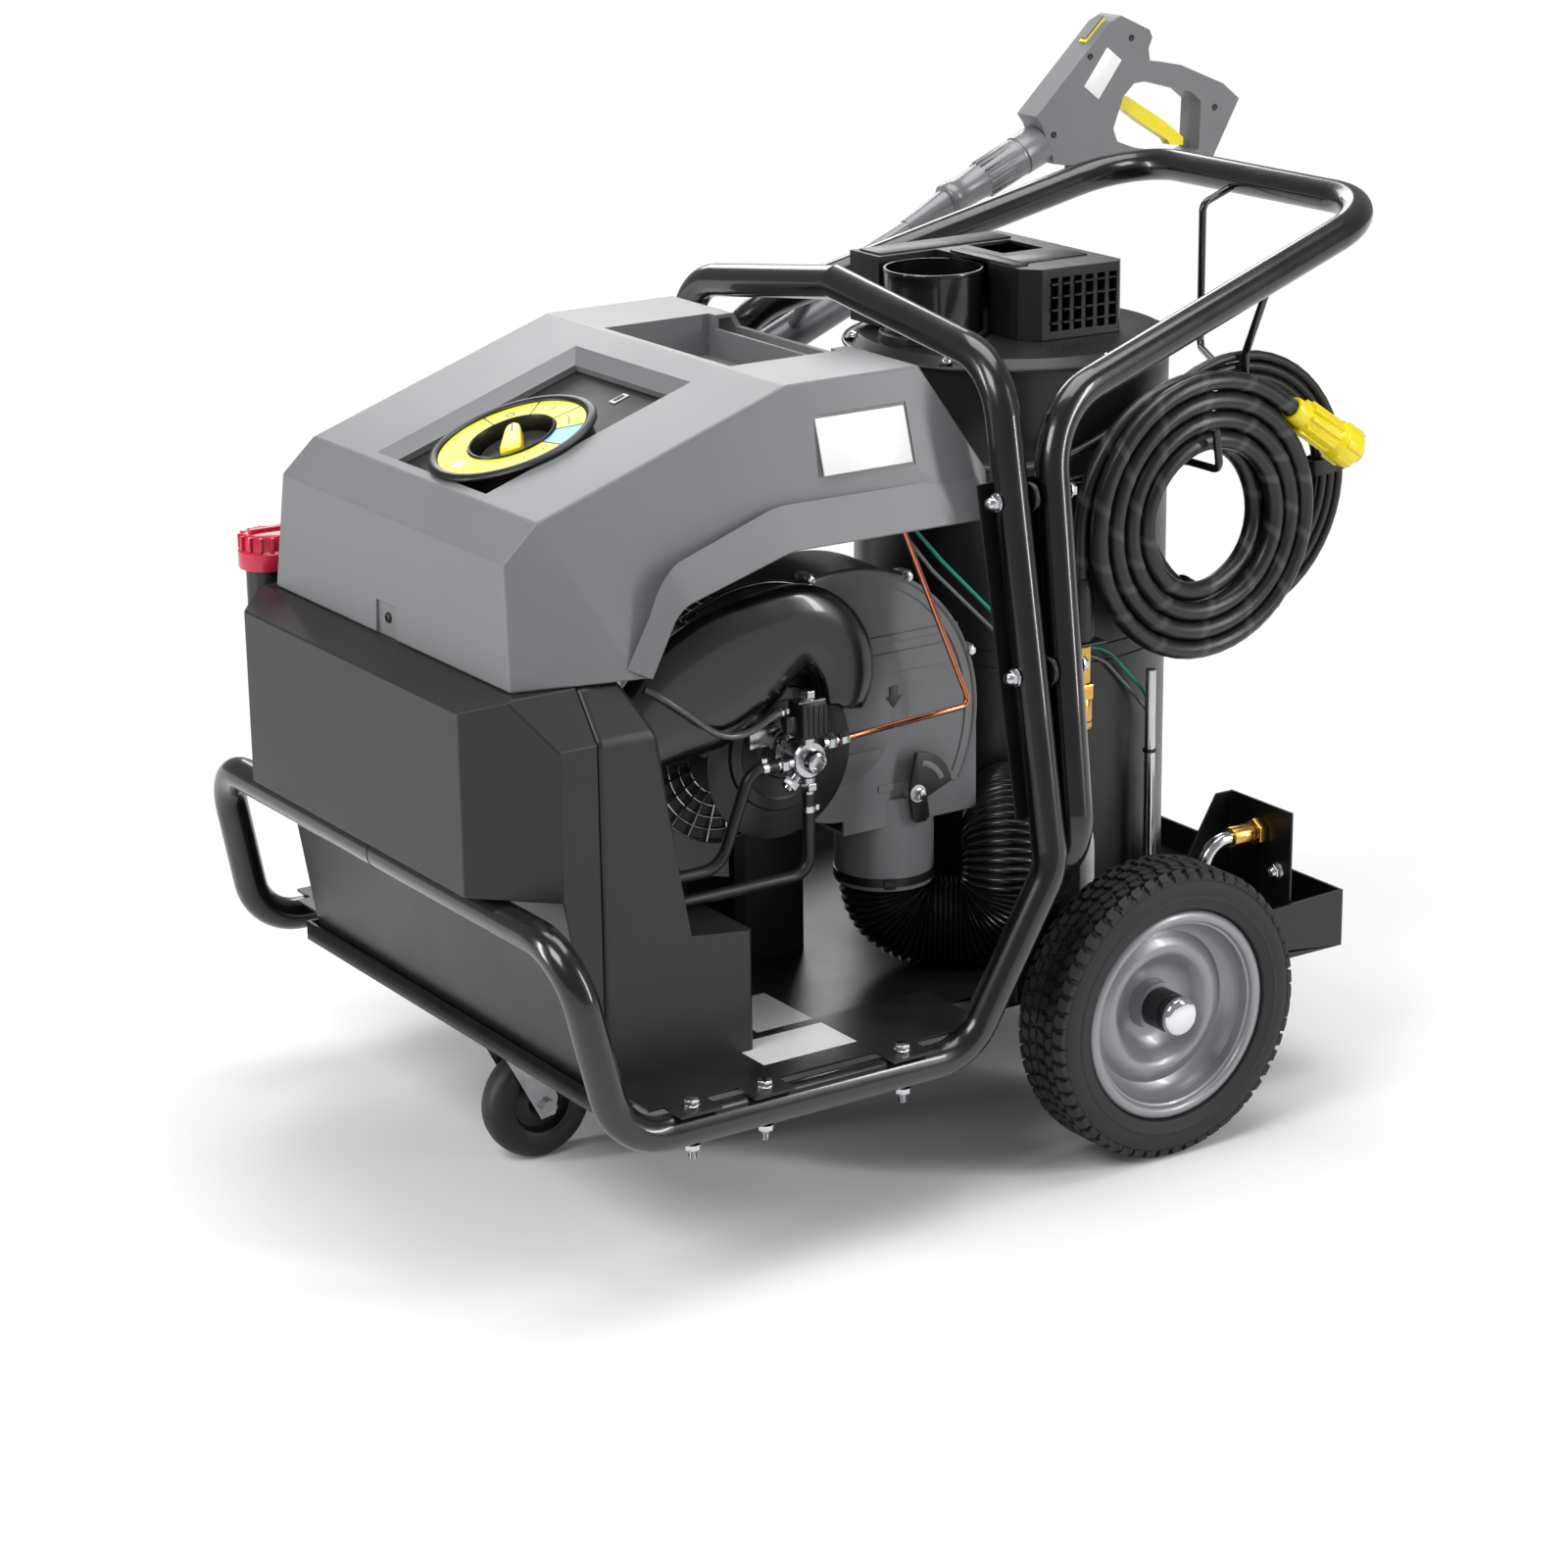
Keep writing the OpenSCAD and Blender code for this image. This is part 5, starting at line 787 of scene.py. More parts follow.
def add_tyre(side, word):
    body = f"wheel_{word}"
    # Bead, sidewall with its moulding lines, shoulder and crown, drawn for the half at +Z and mirrored
    half = [(108.2, 30), (110, 33.6), (114, 35.4), (119, 36.4), (121, 37.6), (122.5, 37.6), (124, 36.8),
            (129, 37.4), (134, 37.0), (136, 36.2), (138, 36.0), (141.5, 33.0), (143.6, 29), (145.2, 20),
            (145.8, 8)]
    profile = half + [(r, -z) for r, z in half[::-1]]
    parts = [(revolve(profile, 96, True), 0)]
    parts.append((repeat_round(tread_blocks(149.6, 72, 4.2), 54, 360 / 54), 0))
    # Short ribs where the tread runs out on the sidewall
    rib = block(mm(138.5, -2.6, 30), mm(144.6, 2.6, 35.2), 0.8, 1)
    for way in (1, -1):
        one = rib.copy()
        if way < 0:
            one.transform(Matrix.Diagonal((1, 1, -1, 1)))
            one.flip_normals()
        parts.append((repeat_round(one, 60, 6), 0))
    mesh = joined(parts)
    turned(mesh, at(0, side * HALF_TRACK, WHEEL_R), (0, side, 0))
    finished(f"tyre_{word}_finished", mesh, body, [RUBBER], (f"tyre_{word}",), angle=30)
    # Pressed steel disc with its rolled flange
    disc = [(107.6, -29), (107.6, 29.5), (105.5, 33), (101, 34.5), (97.5, 33.5), (95.6, 30.5), (94.5, 22),
            (90, 12), (84, 4.5), (79, 2), (74, 4.5), (68, 9.5), (60, 10.5), (55, 7), (48, -3), (41, -10),
            (33, -13), (26, -13), (25, -12), (24.4, 2), (20.4, 2), (20.4, -16), (40, -16), (52, -9), (58, 4),
            (66, 6), (76, -2), (88, 4), (92, 12), (93, 27), (100, 30), (104.6, 28), (104.6, -29)]
    mesh = revolve(disc, 96, True)
    turned(mesh, at(0, side * HALF_TRACK, WHEEL_R), (0, side, 0))
    finished(f"rim_{word}_finished", mesh, body, [RIM_SILVER], (f"rim_{word}",), angle=45)
    hub = joined([(revolve([(10.1, -30), (20.2, -30), (20.2, 22), (19.6, 23.6), (18, 24), (18, 27),
                            (19.4, 28), (19.4, 33), (10.1, 33)], 48, True), 0),
                  (revolve([(19.6, 33.2), (20.2, 34), (20.0, 37), (18.6, 40.0), (15, 41.6), (8, 42.4),
                            (0, 42.6)], 48), 1), (revolve([(0, 33.1), (19.6, 33.2)], 48), 1)])
    turned(hub, at(0, side * HALF_TRACK, WHEEL_R), (0, side, 0))
    finished(f"hub_{word}_finished", hub, body, [SMOOTH_BLACK, CHROME], (f"hub_{word}",),
             angle=50)


def add_caster():
    half = [(34.5, 15), (40, 16.4), (44, 16.6), (49, 16.4), (53.5, 14), (56.4, 10.4), (57.8, 5), (58, 0)]
    tyre = revolve(half + [(r, -z) for r, z in half[-2::-1]], 72, True)
    disc = revolve([(5.1, -18.4), (12, -18.4), (12.6, -17), (13, -8), (18, -5), (27, -5), (30, -8),
                    (31, -13.6), (34.6, -14.6), (34.6, 14.6), (31, 13.6), (30, 8), (27, 5), (18, 5), (13, 8),
                    (12.6, 17), (12, 18.4), (5.1, 18.4)], 72, True)
    mesh = joined([(tyre, 0), (disc, 1)])
    turned(mesh, at(CASTER_X, 0, CASTER_R), (0, 1, 0))
    finished("caster_wheel_finished", mesh, "caster_wheel", [CASTER_RUBBER, SMOOTH_BLACK],
             ("caster_tyre",))
    softened("caster_fork", "caster_swivel", ZINC, 0.8)
    softened("caster_plate", "root", ZINC, 0.6)


for side, word in ((-1, "left"), (1, "right")):
    add_tyre(side, word)
add_caster()

# ---------------------------------------------------------------- frame, tray and bolts


def repaint(names, material):
    for name in names:
        mesh = NODES[name].data
        mesh.materials.clear()
        mesh.materials.append(material)


def dome_nut():
    """Domed nut on its flange, standing on Z 0."""
    nut = plate(hexagon(7.6), 6.5, 0.9)
    dome = revolve([(6.2, 6), (6.0, 8), (5.0, 10.4), (3.0, 12), (0, 12.6)], 28)
    flange = revolve([(0, 0), (9.2, 0), (9.4, 0.8), (8.8, 1.7), (0, 1.8)], 32)
    return joined([nut, dome, flange])


def hex_bolt(across=13, high=5.5, washer=8.4):
    """Hexagon head on its washer, standing on Z 0; across is the spanner's size."""
    head = plate(hexagon(across / 2 / math.cos(math.pi / 6)), high, 0.7)
    return joined([moved_up(head, 1.4), revolve([(0, 0), (washer, 0), (washer, 1.1), (washer - 0.5, 1.5),
                                                 (0, 1.5)], 32)])


def copies_at(template, places):
    """Copies of a mesh, each at (place, axis)."""
    meshes = []
    for place, axis in places:
        one = template.copy()
        turned(one, place, axis)
        meshes.append(one)
    return joined(meshes)


KNEE, SHOULDER = Vector((-151, 365, 333)), Vector((-146, 269, 804))
HANDLE_KNEE, HANDLE_SHOULDER = Vector((-117, 360.5, 355)), Vector((-94, 279, 755))


def at_height(a, b, z):
    return mix(a, b, (z - a.z) / (b.z - a.z))


def add_bolts():
    nuts, heads, spacers, low_heads, shanks = [], [], [], [], []
    for side in (-1, 1):
        for z in (678, 515):
            p, q = at_height(KNEE, SHOULDER, z), at_height(HANDLE_KNEE, HANDLE_SHOULDER, z)
            nuts.append((at(p.x - 17.6, side * p.y, z), (-1, 0, 0)))
            heads.append((at(q.x + 17.2, side * p.y, z), (1, 0, 0)))
            spacers.append((at(p.x + 17.3, side * p.y, z), (1, 0, 0)))
        for x in (-560, -480, -325):
            low_heads.append((at(x, side * RAIL_Y, 185.2), (0, 0, 1)))
            shanks.append((at(x, side * RAIL_Y, 148), (0, 0, -1)))
        low_heads.append((at(-114, side * 296.2, 183), (0, side, 0)))
    spacer = revolve([(4.2, 0), (15, 0), (15.6, 1.2), (13.2, 3.4), (13.2, 5.6), (13.5, 6.4), (4.2, 6.6)], 32,
                     True)
    shank = joined([plate(hexagon(7.4), 6.2, 0.8), revolve([(0, 0), (8.2, 0), (8.2, 1.4), (0, 1.4)], 28),
                    revolve([(0, 5)] + [(3.9 if k % 2 else 3.3, 5 + 0.5 * k) for k in range(20)]
                            + [(3, 15.4), (0, 15.6)], 24)])
    mesh = joined([(copies_at(dome_nut(), nuts), 0), (copies_at(hex_bolt(), heads + low_heads), 0),
                   (copies_at(shank, shanks), 0), (copies_at(spacer, spacers), 1)])
    finished("frame_bolts_finished", mesh, "root", [ZINC, SMOOTH_BLACK], ("frame_bolts",),
             angle=40)


DECK_END = -215
DECK_TOP = 184.9


def low_rims(bm):
    """Brings the tray's long rims down to the deck sheets that lie on the bottom tubes."""
    cut = at(DECK_END, 0, 0)
    bmesh.ops.bisect_plane(bm, geom=bm.verts[:] + bm.edges[:] + bm.faces[:], plane_co=cut, plane_no=(1, 0, 0))
    for v in bm.verts:
        if v.co.z > (DECK_TOP + 1) * MM and v.co.x < cut.x + MM and abs(v.co.y) > 0.25:
            v.co.z = (DECK_TOP - 0.9) * MM


def add_tray():
    """Flat tray with its edge sheets on the tubes; its labels stay plain plates."""
    softened("tray", "root", SHEET_PAINT, 0.8, change=low_rims)
    for side, word in ((-1, "near"), (1, "far")):
        low, high = sorted((side * 247, side * 352))
        deck = block(at(-598, low, DECK_TOP - 2.6), at(DECK_END, high, DECK_TOP), 0.5, 1)
        finished(f"tray_edge_{word}", deck, "root", [SHEET_PAINT])
    labels = [(block(at(-452, -321, DECK_TOP - 0.2), at(-347, -261, DECK_TOP + 0.4), 0.2, 1), 0),
              (block(at(-387, -217, 166.8), at(-323, -124, 167.6), 0.2, 1), 0)]
    finished("tray_label", joined(labels), "root", [LABEL_WHITE])


repaint(["frame_left", "frame_right", "handle_tube", "hose_hook", "cable_hook", "exhaust_stack"], FRAME_PAINT)
add_tray()
for part in ("side_panels", "water_brackets", "junction_box", "boiler_base", "handle_feet"):
    softened(part, "root", SHEET_PAINT, 0.8)
repaint(["axle", "impeller"], STEEL_TUBE)
repaint(["caster_bolt"], ZINC)
repaint(["heating_coil"], COIL_STEEL)
add_bolts()

# Sleeve over the joint in the middle of the bumper
sleeve = revolve([(16.6, -0.9), (17.5, -0.9), (17.5, 0.9), (16.6, 0.9)], 48, True)
finished("bumper_joint", turned(sleeve, at(*BUMPER), (0, 1, 0)), "root", [FRAME_PAINT])

# ---------------------------------------------------------------- tanks and hood


def is_outer_ridge(least_length, least_angle, centre):
    def test(edge):
        if edge.calc_length() < least_length * MM or edge.calc_face_angle(0) < math.radians(least_angle):
            return False
        if not edge.is_convex:
            return False
        middle = (edge.verts[0].co + edge.verts[1].co) / 2
        outwards = (middle - centre).normalized()
        return all(f.normal.dot(outwards) > 0.0 for f in edge.link_faces)
    return test


# Broad roundings on the outer ridges of the big mouldings, told from hollows by a place inside each
front_ridges = is_outer_ridge(30, 12, at(-610, 0, 380))
rear_ridges = is_outer_ridge(30, 12, at(-560, 0, 400))
hood_ridges = is_outer_ridge(40, 9, at(-380, 0, 600))
softened("front_tank", "root", TANK_PLASTIC, 1.2, ridges=(7, front_ridges))
softened("rear_tank", "root", TANK_PLASTIC, 1.2, ridges=(6, rear_ridges))
softened("hood", "root", HOOD_PLASTIC, 1.3, ridges=(15, hood_ridges))


def add_fuel_cap():
    body = revolve([(22.6, -15), (28.4, -15), (29, -14), (29, 2), (27, 4), (25.4, 5), (25.4, 15), (24, 19),
                    (20, 20.6), (0, 21), (0, 17), (20, 16), (22, 0), (22.6, -2)], 64)
    rib = block(mm(24.8, -1.9, 4.6), mm(28.6, 1.9, 19), 0.9)
    ridge = block(mm(-19, -3.5, 19.5), mm(19, 3.5, 24.5), 1.2)
    mesh = joined([body, repeat_round(rib, 14, 360 / 14), ridge])
    turned(mesh, at(-645, 280, 585.3), (0, 0, 1))
    finished("fuel_cap_finished", mesh, "fuel_cap", [RED], ("fuel_cap",))


SLOPE_FOOT, SLOPE_TOP = (-619, 710), (-350, 801)
SLOPE = math.atan2(SLOPE_TOP[1] - SLOPE_FOOT[1], SLOPE_TOP[0] - SLOPE_FOOT[0])
SLOPE_DIRECTION = Vector((math.cos(SLOPE), 0, math.sin(SLOPE)))
SLOPE_NORMAL = Vector((-math.sin(SLOPE), 0, math.cos(SLOPE)))


def on_slope(mesh, s, y, z):
    """Puts a mesh made in slope axes at a place on the hood's slope."""
    place = Vector((SLOPE_FOOT[0], 0,
                    SLOPE_FOOT[1])) + SLOPE_DIRECTION * s + SLOPE_NORMAL * z + Vector((0, y, 0))
    return turned(mesh, at(*place), SLOPE_NORMAL, SLOPE_DIRECTION)


def arc_strip(r0, r1, start, end, thick, steps=24):
    """A flat ring sector from Z 0 up, angles in degrees."""
    outline = [polar(r1, mix(start, end, k / steps)) for k in range(steps + 1)]
    outline += [polar(r0, mix(end, start, k / steps)) for k in range(steps + 1)]
    return plate(outline, thick, 0)


SCALE_Z = 3.4
DIAL_PLACE = (91, -28, 0)


def scale_mark(start, end, half, degrees):
    """A raised bar on the dial's scale, along its radius at an angle."""
    return spun(block(mm(start, -half, SCALE_Z), mm(end, half, SCALE_Z + 0.3), 0), degrees)


def moved(mesh, degrees, radius):
    x, y = polar(radius * MM, degrees)
    mesh.transform(Matrix.Translation((x, y, 0)))
    return mesh


def add_panel():
    softened("control_panel", "root", PANEL_PLASTIC, 0.6)
    ring = revolve([(5.2, -18.1), (75.4, -18.1), (76, -17.6), (76, -1), (77, 0.4), (82, 0.6), (83.6, 1.6),
                    (83.8, 3.4), (82.2, 5.6), (79, 6.6), (75.4, 6.2), (73.6, 4.6), (73.3, 2.8), (73.2, 2.2),
                    (44.4, 2.2), (43.9, 4.4), (42.8, 5.6), (41.4, 5.2), (40.6, 3.6), (40.4, -13), (5.2, -13)],
                   120, True)
    parts = [(ring, 0)]
    # The scale: a yellow ring with one light blue part towards the near side, and fine dividing lines
    blue = (281, 314)
    parts.append((arc_strip(44.6, 73.2, blue[1] - 360, blue[0], 3.4, 96), 1))
    parts.append((arc_strip(44.6, 73.2, blue[0], blue[1], 3.4, 20), 2))
    for a in (281, 314, 350, 36, 81):
        parts.append((scale_mark(45.0, 72.8, 0.7, a), 0))
    # Plain marks: an open ring for off, a short bar for on, a curved level bar and a bare code plate
    parts.append((moved(revolve([(3.2, 3.4), (4.6, 3.4), (4.6, 3.7), (3.2, 3.7)], 24, True), 60, 57), 0))
    parts.append((moved(scale_mark(-4.0, 4.0, 0.6, 14), 14, 60), 0))
    parts.append((moved_up(arc_strip(56, 57.2, 321, 343, 0.3, 10), SCALE_Z), 0))
    for a in (250, 262, 270):
        parts.append((scale_mark(56.0, 61.0, 0.4, a), 0))
    parts.append((moved(scale_mark(-6.0, 6.0, 6.0, 24), 177, 59), 3))
    mesh = joined(parts)
    on_slope(mesh, *DIAL_PLACE)
    finished("dial_ring_finished", mesh, "root", [DIAL_BLACK, SCALE_YELLOW, SCALE_BLUE,
                                                                   LABEL_WHITE], ("dial_ring",), angle=40)
    cup = revolve([(0, -32), (4.9, -32), (4.9, -12.4), (35.6, -12.4), (36, -12), (36, -9.6), (34.5, -7.8),
                   (20, -7.6), (0, -7.6)], 72)
    grip = plate([(-33, -7), (-31, -10), (-20, -11), (18, -8), (26, -6.4), (30, -3), (31, 0), (30, 3),
                  (26, 6.4), (18, 8), (-20, 11), (-31, 10), (-33, 7)], 13.5, 2.6, 5)
    moved_up(grip, -7.7)
    groove = block(mm(8, -0.6, 5.7), mm(27, 0.6, 6.1), 0.1, 1)
    knob = spun(joined([(cup, 0), (grip, 1), (groove, 0)]), 56)
    on_slope(knob, *DIAL_PLACE)
    finished("dial_knob_finished", knob, "selector", [PANEL_PLASTIC, YELLOW], ("dial_knob",),
             angle=40)
    window = joined([(block(mm(-9, -5, 0), mm(9, 5, 1.2), 0.3), 0),
                     (block(mm(-6, -3, 1.2), mm(6, 3, 1.5), 0.1, 1), 1)])
    on_slope(window, 214, -20, -18.3)
    finished("hour_window", window, "root", [LABEL_WHITE, PANEL_PLASTIC])


SIDE_LEAN = math.atan2(262 - 218, 801 - 655)


def add_side_plates():
    """The bare plates on the hood's leaning sides."""
    for side, word in ((-1, "near"), (1, "far")):
        lean_y = mix(262, 218, (742 - 655) / (801 - 655))
        normal = Vector((0, side * math.cos(SIDE_LEAN), math.sin(SIDE_LEAN)))
        mesh = block(mm(-50, -27, 0), mm(50, 27, 2.2), 1.0)
        turned(mesh, at(*(Vector((-275, side * lean_y, 742)) - normal * 1.6)), normal, (1, 0, 0))
        finished(f"side_plate_{word}", mesh, "root", [WHITE_PLATE])


def hood_side_y(x, z):
    """Half the hood's width at a place on its side."""
    return 262 - max(0, z - 655) * (262 - 218) / (801 - 655) - max(0, -540 - x) * 29 / 120


def add_hood_flare():
    """Lip that leans outwards along the arch at the hood's foot, on both sides."""
    arch = rounded_path([Vector((x * MM, 0, z * MM)) for x, z in ((-531, 561.6), (-500, 622), (-378, 657),
                                                                 (-151, 655.5))], (34, 60))
    for side, word in ((-1, "near"), (1, "far")):
        points, faces = [], []
        for i, p in enumerate(arch):
            t = (arch[min(len(arch) - 1, i + 1)] - arch[max(0, i - 1)]).normalized()
            up = Vector((-t.z, 0, t.x))
            if i == len(arch) - 1:
                up = Vector((0, 0, 1))
            width = mix(24, 40, smooth(min(1, i / (len(arch) * 0.75)))) * MM
            top = p + up * width
            rows = ((top, -0.6), (p + up * width * 0.5, 3.0), (p + up * 1.4 * MM, 6.4), (p, 5.4), (p, -0.6))
            for q, out in rows:
                y = hood_side_y(q.x / MM, q.z / MM) + out
                points.append(at(q.x / MM, side * y, q.z / MM))
        count = len(rows)
        for i in range(len(arch) - 1):
            for k in range(count):
                a, b = i * count + k, i * count + (k + 1) % count
                faces.append((a, b, b + count, a + count))
        faces.append(tuple(range(count)))
        faces.append(tuple(len(points) - 1 - k for k in range(count)))
        finished(f"hood_flare_{word}", closed_mesh(f"flare_{word}", points, faces), "root",
                 [HOOD_PLASTIC], angle=35)


def add_recess_bevel():
    """Sloping sides of the recess towards the far side and the rear."""
    section = [(0, 0.3), (13, -10.5), (14.5, -11.2), (14.5, -17.7), (0, -17.7)]
    points, faces = [], []
    for s, y, ds, dy in ((12.4, 103.8, 0, -1), (247.6, 103.8, -1, -1), (247.6, -106.8, -1, 0)):
        for inwards, z in section:
            points.append(Vector(((s + ds * inwards) * MM, (y + dy * inwards) * MM, z * MM)))
    count = len(section)
    for i in range(2):
        for k in range(count):
            a, b = i * count + k, i * count + (k + 1) % count
            faces.append((a, b, b + count, a + count))
    faces.append(tuple(range(count)))
    faces.append(tuple(len(points) - 1 - k for k in range(count)))
    mesh = on_slope(closed_mesh("recess_bevel", points, faces), 0, 0, 0)
    finished("recess_bevel", mesh, "root", [HOOD_PLASTIC], angle=20)


def add_hood_details():
    add_hood_flare()
    add_recess_bevel()
    screw = revolve([(0, 0), (5.2, 0), (5.2, 1.6), (4.2, 2.8), (2.4, 3.3), (2.2, 1.4), (0, 1.4)], 32)
    turned(screw, at(-655.6, 2, 580), (-1, 0, 0))
    finished("hood_screw", screw, "root", [SMOOTH_BLACK])


add_fuel_cap()
add_panel()
add_side_plates()
add_hood_details()

# ---------------------------------------------------------------- fan, pump and duct


def bulged(mesh, voxel, rounds, factor=0.6, levels=1):
    """A solid remeshed and relaxed into one soft moulded form."""
    carrier = bpy.data.objects.new("bulged", mesh)
    bpy.context.scene.collection.objects.link(carrier)
    remesh = carrier.modifiers.new("remesh", "REMESH")
    remesh.mode = "VOXEL"
    remesh.voxel_size = voxel * MM
    relax = carrier.modifiers.new("relax", "SMOOTH")
    relax.factor = factor
    relax.iterations = rounds
    if levels:
        fine = carrier.modifiers.new("fine", "SUBSURF")
        fine.levels = fine.render_levels = levels
    bake_modifiers(carrier)
    mesh = carrier.data
    bpy.data.objects.remove(carrier)
    return mesh


def elbow_solid():
    """Hooked intake cover: a thick curved tube from the cowl over the top and down to its tip."""
    centre = [(-522, 480), (-492, 492), (-458, 508), (-420, 521), (-384, 537), (-350, 553), (-320, 560),
              (-292, 548), (-275, 524), (-271, 498), (-277, 474)]
    widths = [38, 48, 60, 66, 62, 50, 42, 38, 36, 33, 26]
    path = smooth_route([Vector((x, 0, z)) for x, z in centre], 6)
    sizes = smooth_route([Vector((w, 0, 0)) for w in widths], 6)
    bm = bmesh.new()
    rings = []
    for i, p in enumerate(path):
        t = (path[min(len(path) - 1, i + 1)] - path[max(0, i - 1)]).normalized()
        side = Vector((-t.z, 0, t.x))
        half = sizes[i].x
        ring = []
        for k in range(24):
            a = 2 * math.pi * k / 24
            c, s = math.cos(a), math.sin(a)
            c = math.copysign(abs(c) ** 0.8, c)
            out = math.copysign(abs(s) ** 0.8, s)
            ring.append(bm.verts.new(at(*(p + side * half * c + Vector((0, -190.0 - 18.5 * out, 0))))))
        rings.append(ring)
    for a, b in zip(rings, rings[1:]):
        for k in range(24):
            bm.faces.new((a[k], a[(k + 1) % 24], b[(k + 1) % 24], b[k]))
    bm.faces.new(rings[0][::-1])
    bm.faces.new(rings[-1])
    bmesh.ops.recalc_face_normals(bm, faces=bm.faces)
    return mesh_of(bm)


def add_intake():
    parts = [(bulged(elbow_solid(), 4, 6), 0)]
    # The rolled flange that follows the cover's outer edge
    edge = [(-440, 580), (-400, 596), (-367, 602), (-329, 600), (-290, 586), (-262, 560), (-245, 520),
            (-244, 490), (-258, 462)]
    line = placed_mm(smooth_route([Vector((x, -170.6, z)) for x, z in edge], 6))
    parts.append((tube(line, 2.4, 10), 0))
    finished("intake_cover_finished", joined(parts), "root", [GLOSS_BLACK], ("intake_cover",),
             angle=60)


def facing_near(mesh, x, y, z):
    """Stands a mesh made round Z on a place, with its Z towards the near side and its X along +X."""
    return turned(mesh, at(x, y, z), (0, -1, 0), (1, 0, 0))


def add_fan():
    softened("scroll_housing", "root", FAN_PAINT, 1.6, segments=3)
    # Rolled rim, clamp lugs and the raised arcs on the near face
    rim = []
    for k in range(49):
        a = math.radians(mix(-28, 178, k / 48))
        rim.append(at(FAN.x + 157 * math.cos(a), -168.2, FAN.z + 157 * math.sin(a)))
    parts = [(tube(rim, 2.6, 8), 0)]
    # A wide raised band round the top, three flat strips across the face and the blank plate over the inlet
    band = arc_strip(146, 156, -30, 172, 1.6, 60)
    parts.append((facing_near(band, *FAN), 0))
    for x0, x1, z0, z1 in ((-262, -128, 487, 508), (-262, -118, 518, 526), (-256, -212, 402, 413),
                           (-214, -118, 366, 374)):
        parts.append((block(at(x0, -168.4, z0), at(x1, -166.6, z1), 0.5, 1), 0))
    blank = revolve([(0, 0), (57, 0), (57, 0.3), (56.6, 0.5), (0, 0.5)], 72)
    parts.append((facing_near(blank, *FAN), 0))
    for a in (20, 62, 104, 146):
        x, z = polar(161, a)
        c = Vector((FAN.x + x, 0, FAN.z + z))
        parts.append((block(at(c.x - 6, -168, c.z - 5), at(c.x + 6, -152, c.z + 5), 1.5), 0))
        nut = turned(hex_bolt(8, 4, 5), at(c.x, -168, c.z), (0, -1, 0))
        parts.append((nut, 1))
    arrow = plate([(-5, 10), (5, 10), (5, 0), (10, 0), (0, -12), (-10, 0), (-5, 0)], 0.8, 0.2)
    parts.append((facing_near(arrow, -195, -167.2, 463), 2))
    finished("fan_trim", joined(parts), "root", [FAN_PAINT, ZINC, MOTOR_PAINT])
    # Cowl plate round the wire guard
    outline = [(-412, 470), (-420, 400), (-414, 332), (-388, 292), (-335, 280)]
    outline += [(GUARD_X - 91 * math.sin(math.radians(a)), GUARD_Z - 91 * math.cos(math.radians(a)))
                for a in range(0, 131, 10)]
    cowl = facing_near(plate(outline, 2.0, 0.5, 1), 0, -80, 0)
    finished("cowl_plate", cowl, "root", [FAN_PAINT])


def add_guard():
    """Bright wire guard over the dark mouth beside the scroll: rings on straight spokes."""
    parts = []
    for r in (90, 78, 66, 54, 42):
        ring = [at(GUARD_X + r * math.cos(2 * math.pi * k / 64), -76.8,
                   GUARD_Z + r * math.sin(2 * math.pi * k / 64)) for k in range(64)]
        parts.append((tube(ring, 1.3, 8, closed=True), 0))
    spoke = tube([mm(42, 0, 0), mm(91.5, 0, 0)], 1.2, 8)
    spokes = repeat_round(spoke, 24, 15)
    parts.append((turned(spokes, at(GUARD_X, -78.2, GUARD_Z), (0, -1, 0)), 0))
    finished("fan_guard_finished", joined(parts), "root", [ZINC], ("fan_guard",))


def add_motor():
    softened("motor", "root", MOTOR_PAINT, 1.2)
    fin = block(mm(78.5, -1.1, 12), mm(88.5, 1.1, 168), 0.5, 1)
    fins = spun(repeat_round(fin, 30, 9), -45)
    turned(fins, at(FAN.x, -61, FAN.z), (0, 1, 0), (0, 0, 1))
    finished("motor_fins", fins, "root", [MOTOR_PAINT])
    softened("pump", "root", CAST_METAL, 1.8, segments=3)
    caps = []
    for k in (-1, 0, 1):
        caps.append((at(FAN.x + 32 * k, 229, 498), (0, 0, 1)))
    finished("pump_caps", copies_at(hex_bolt(18, 7, 12), caps), "root", [BRASS])


PUMP = Vector((-328, -215, 435))


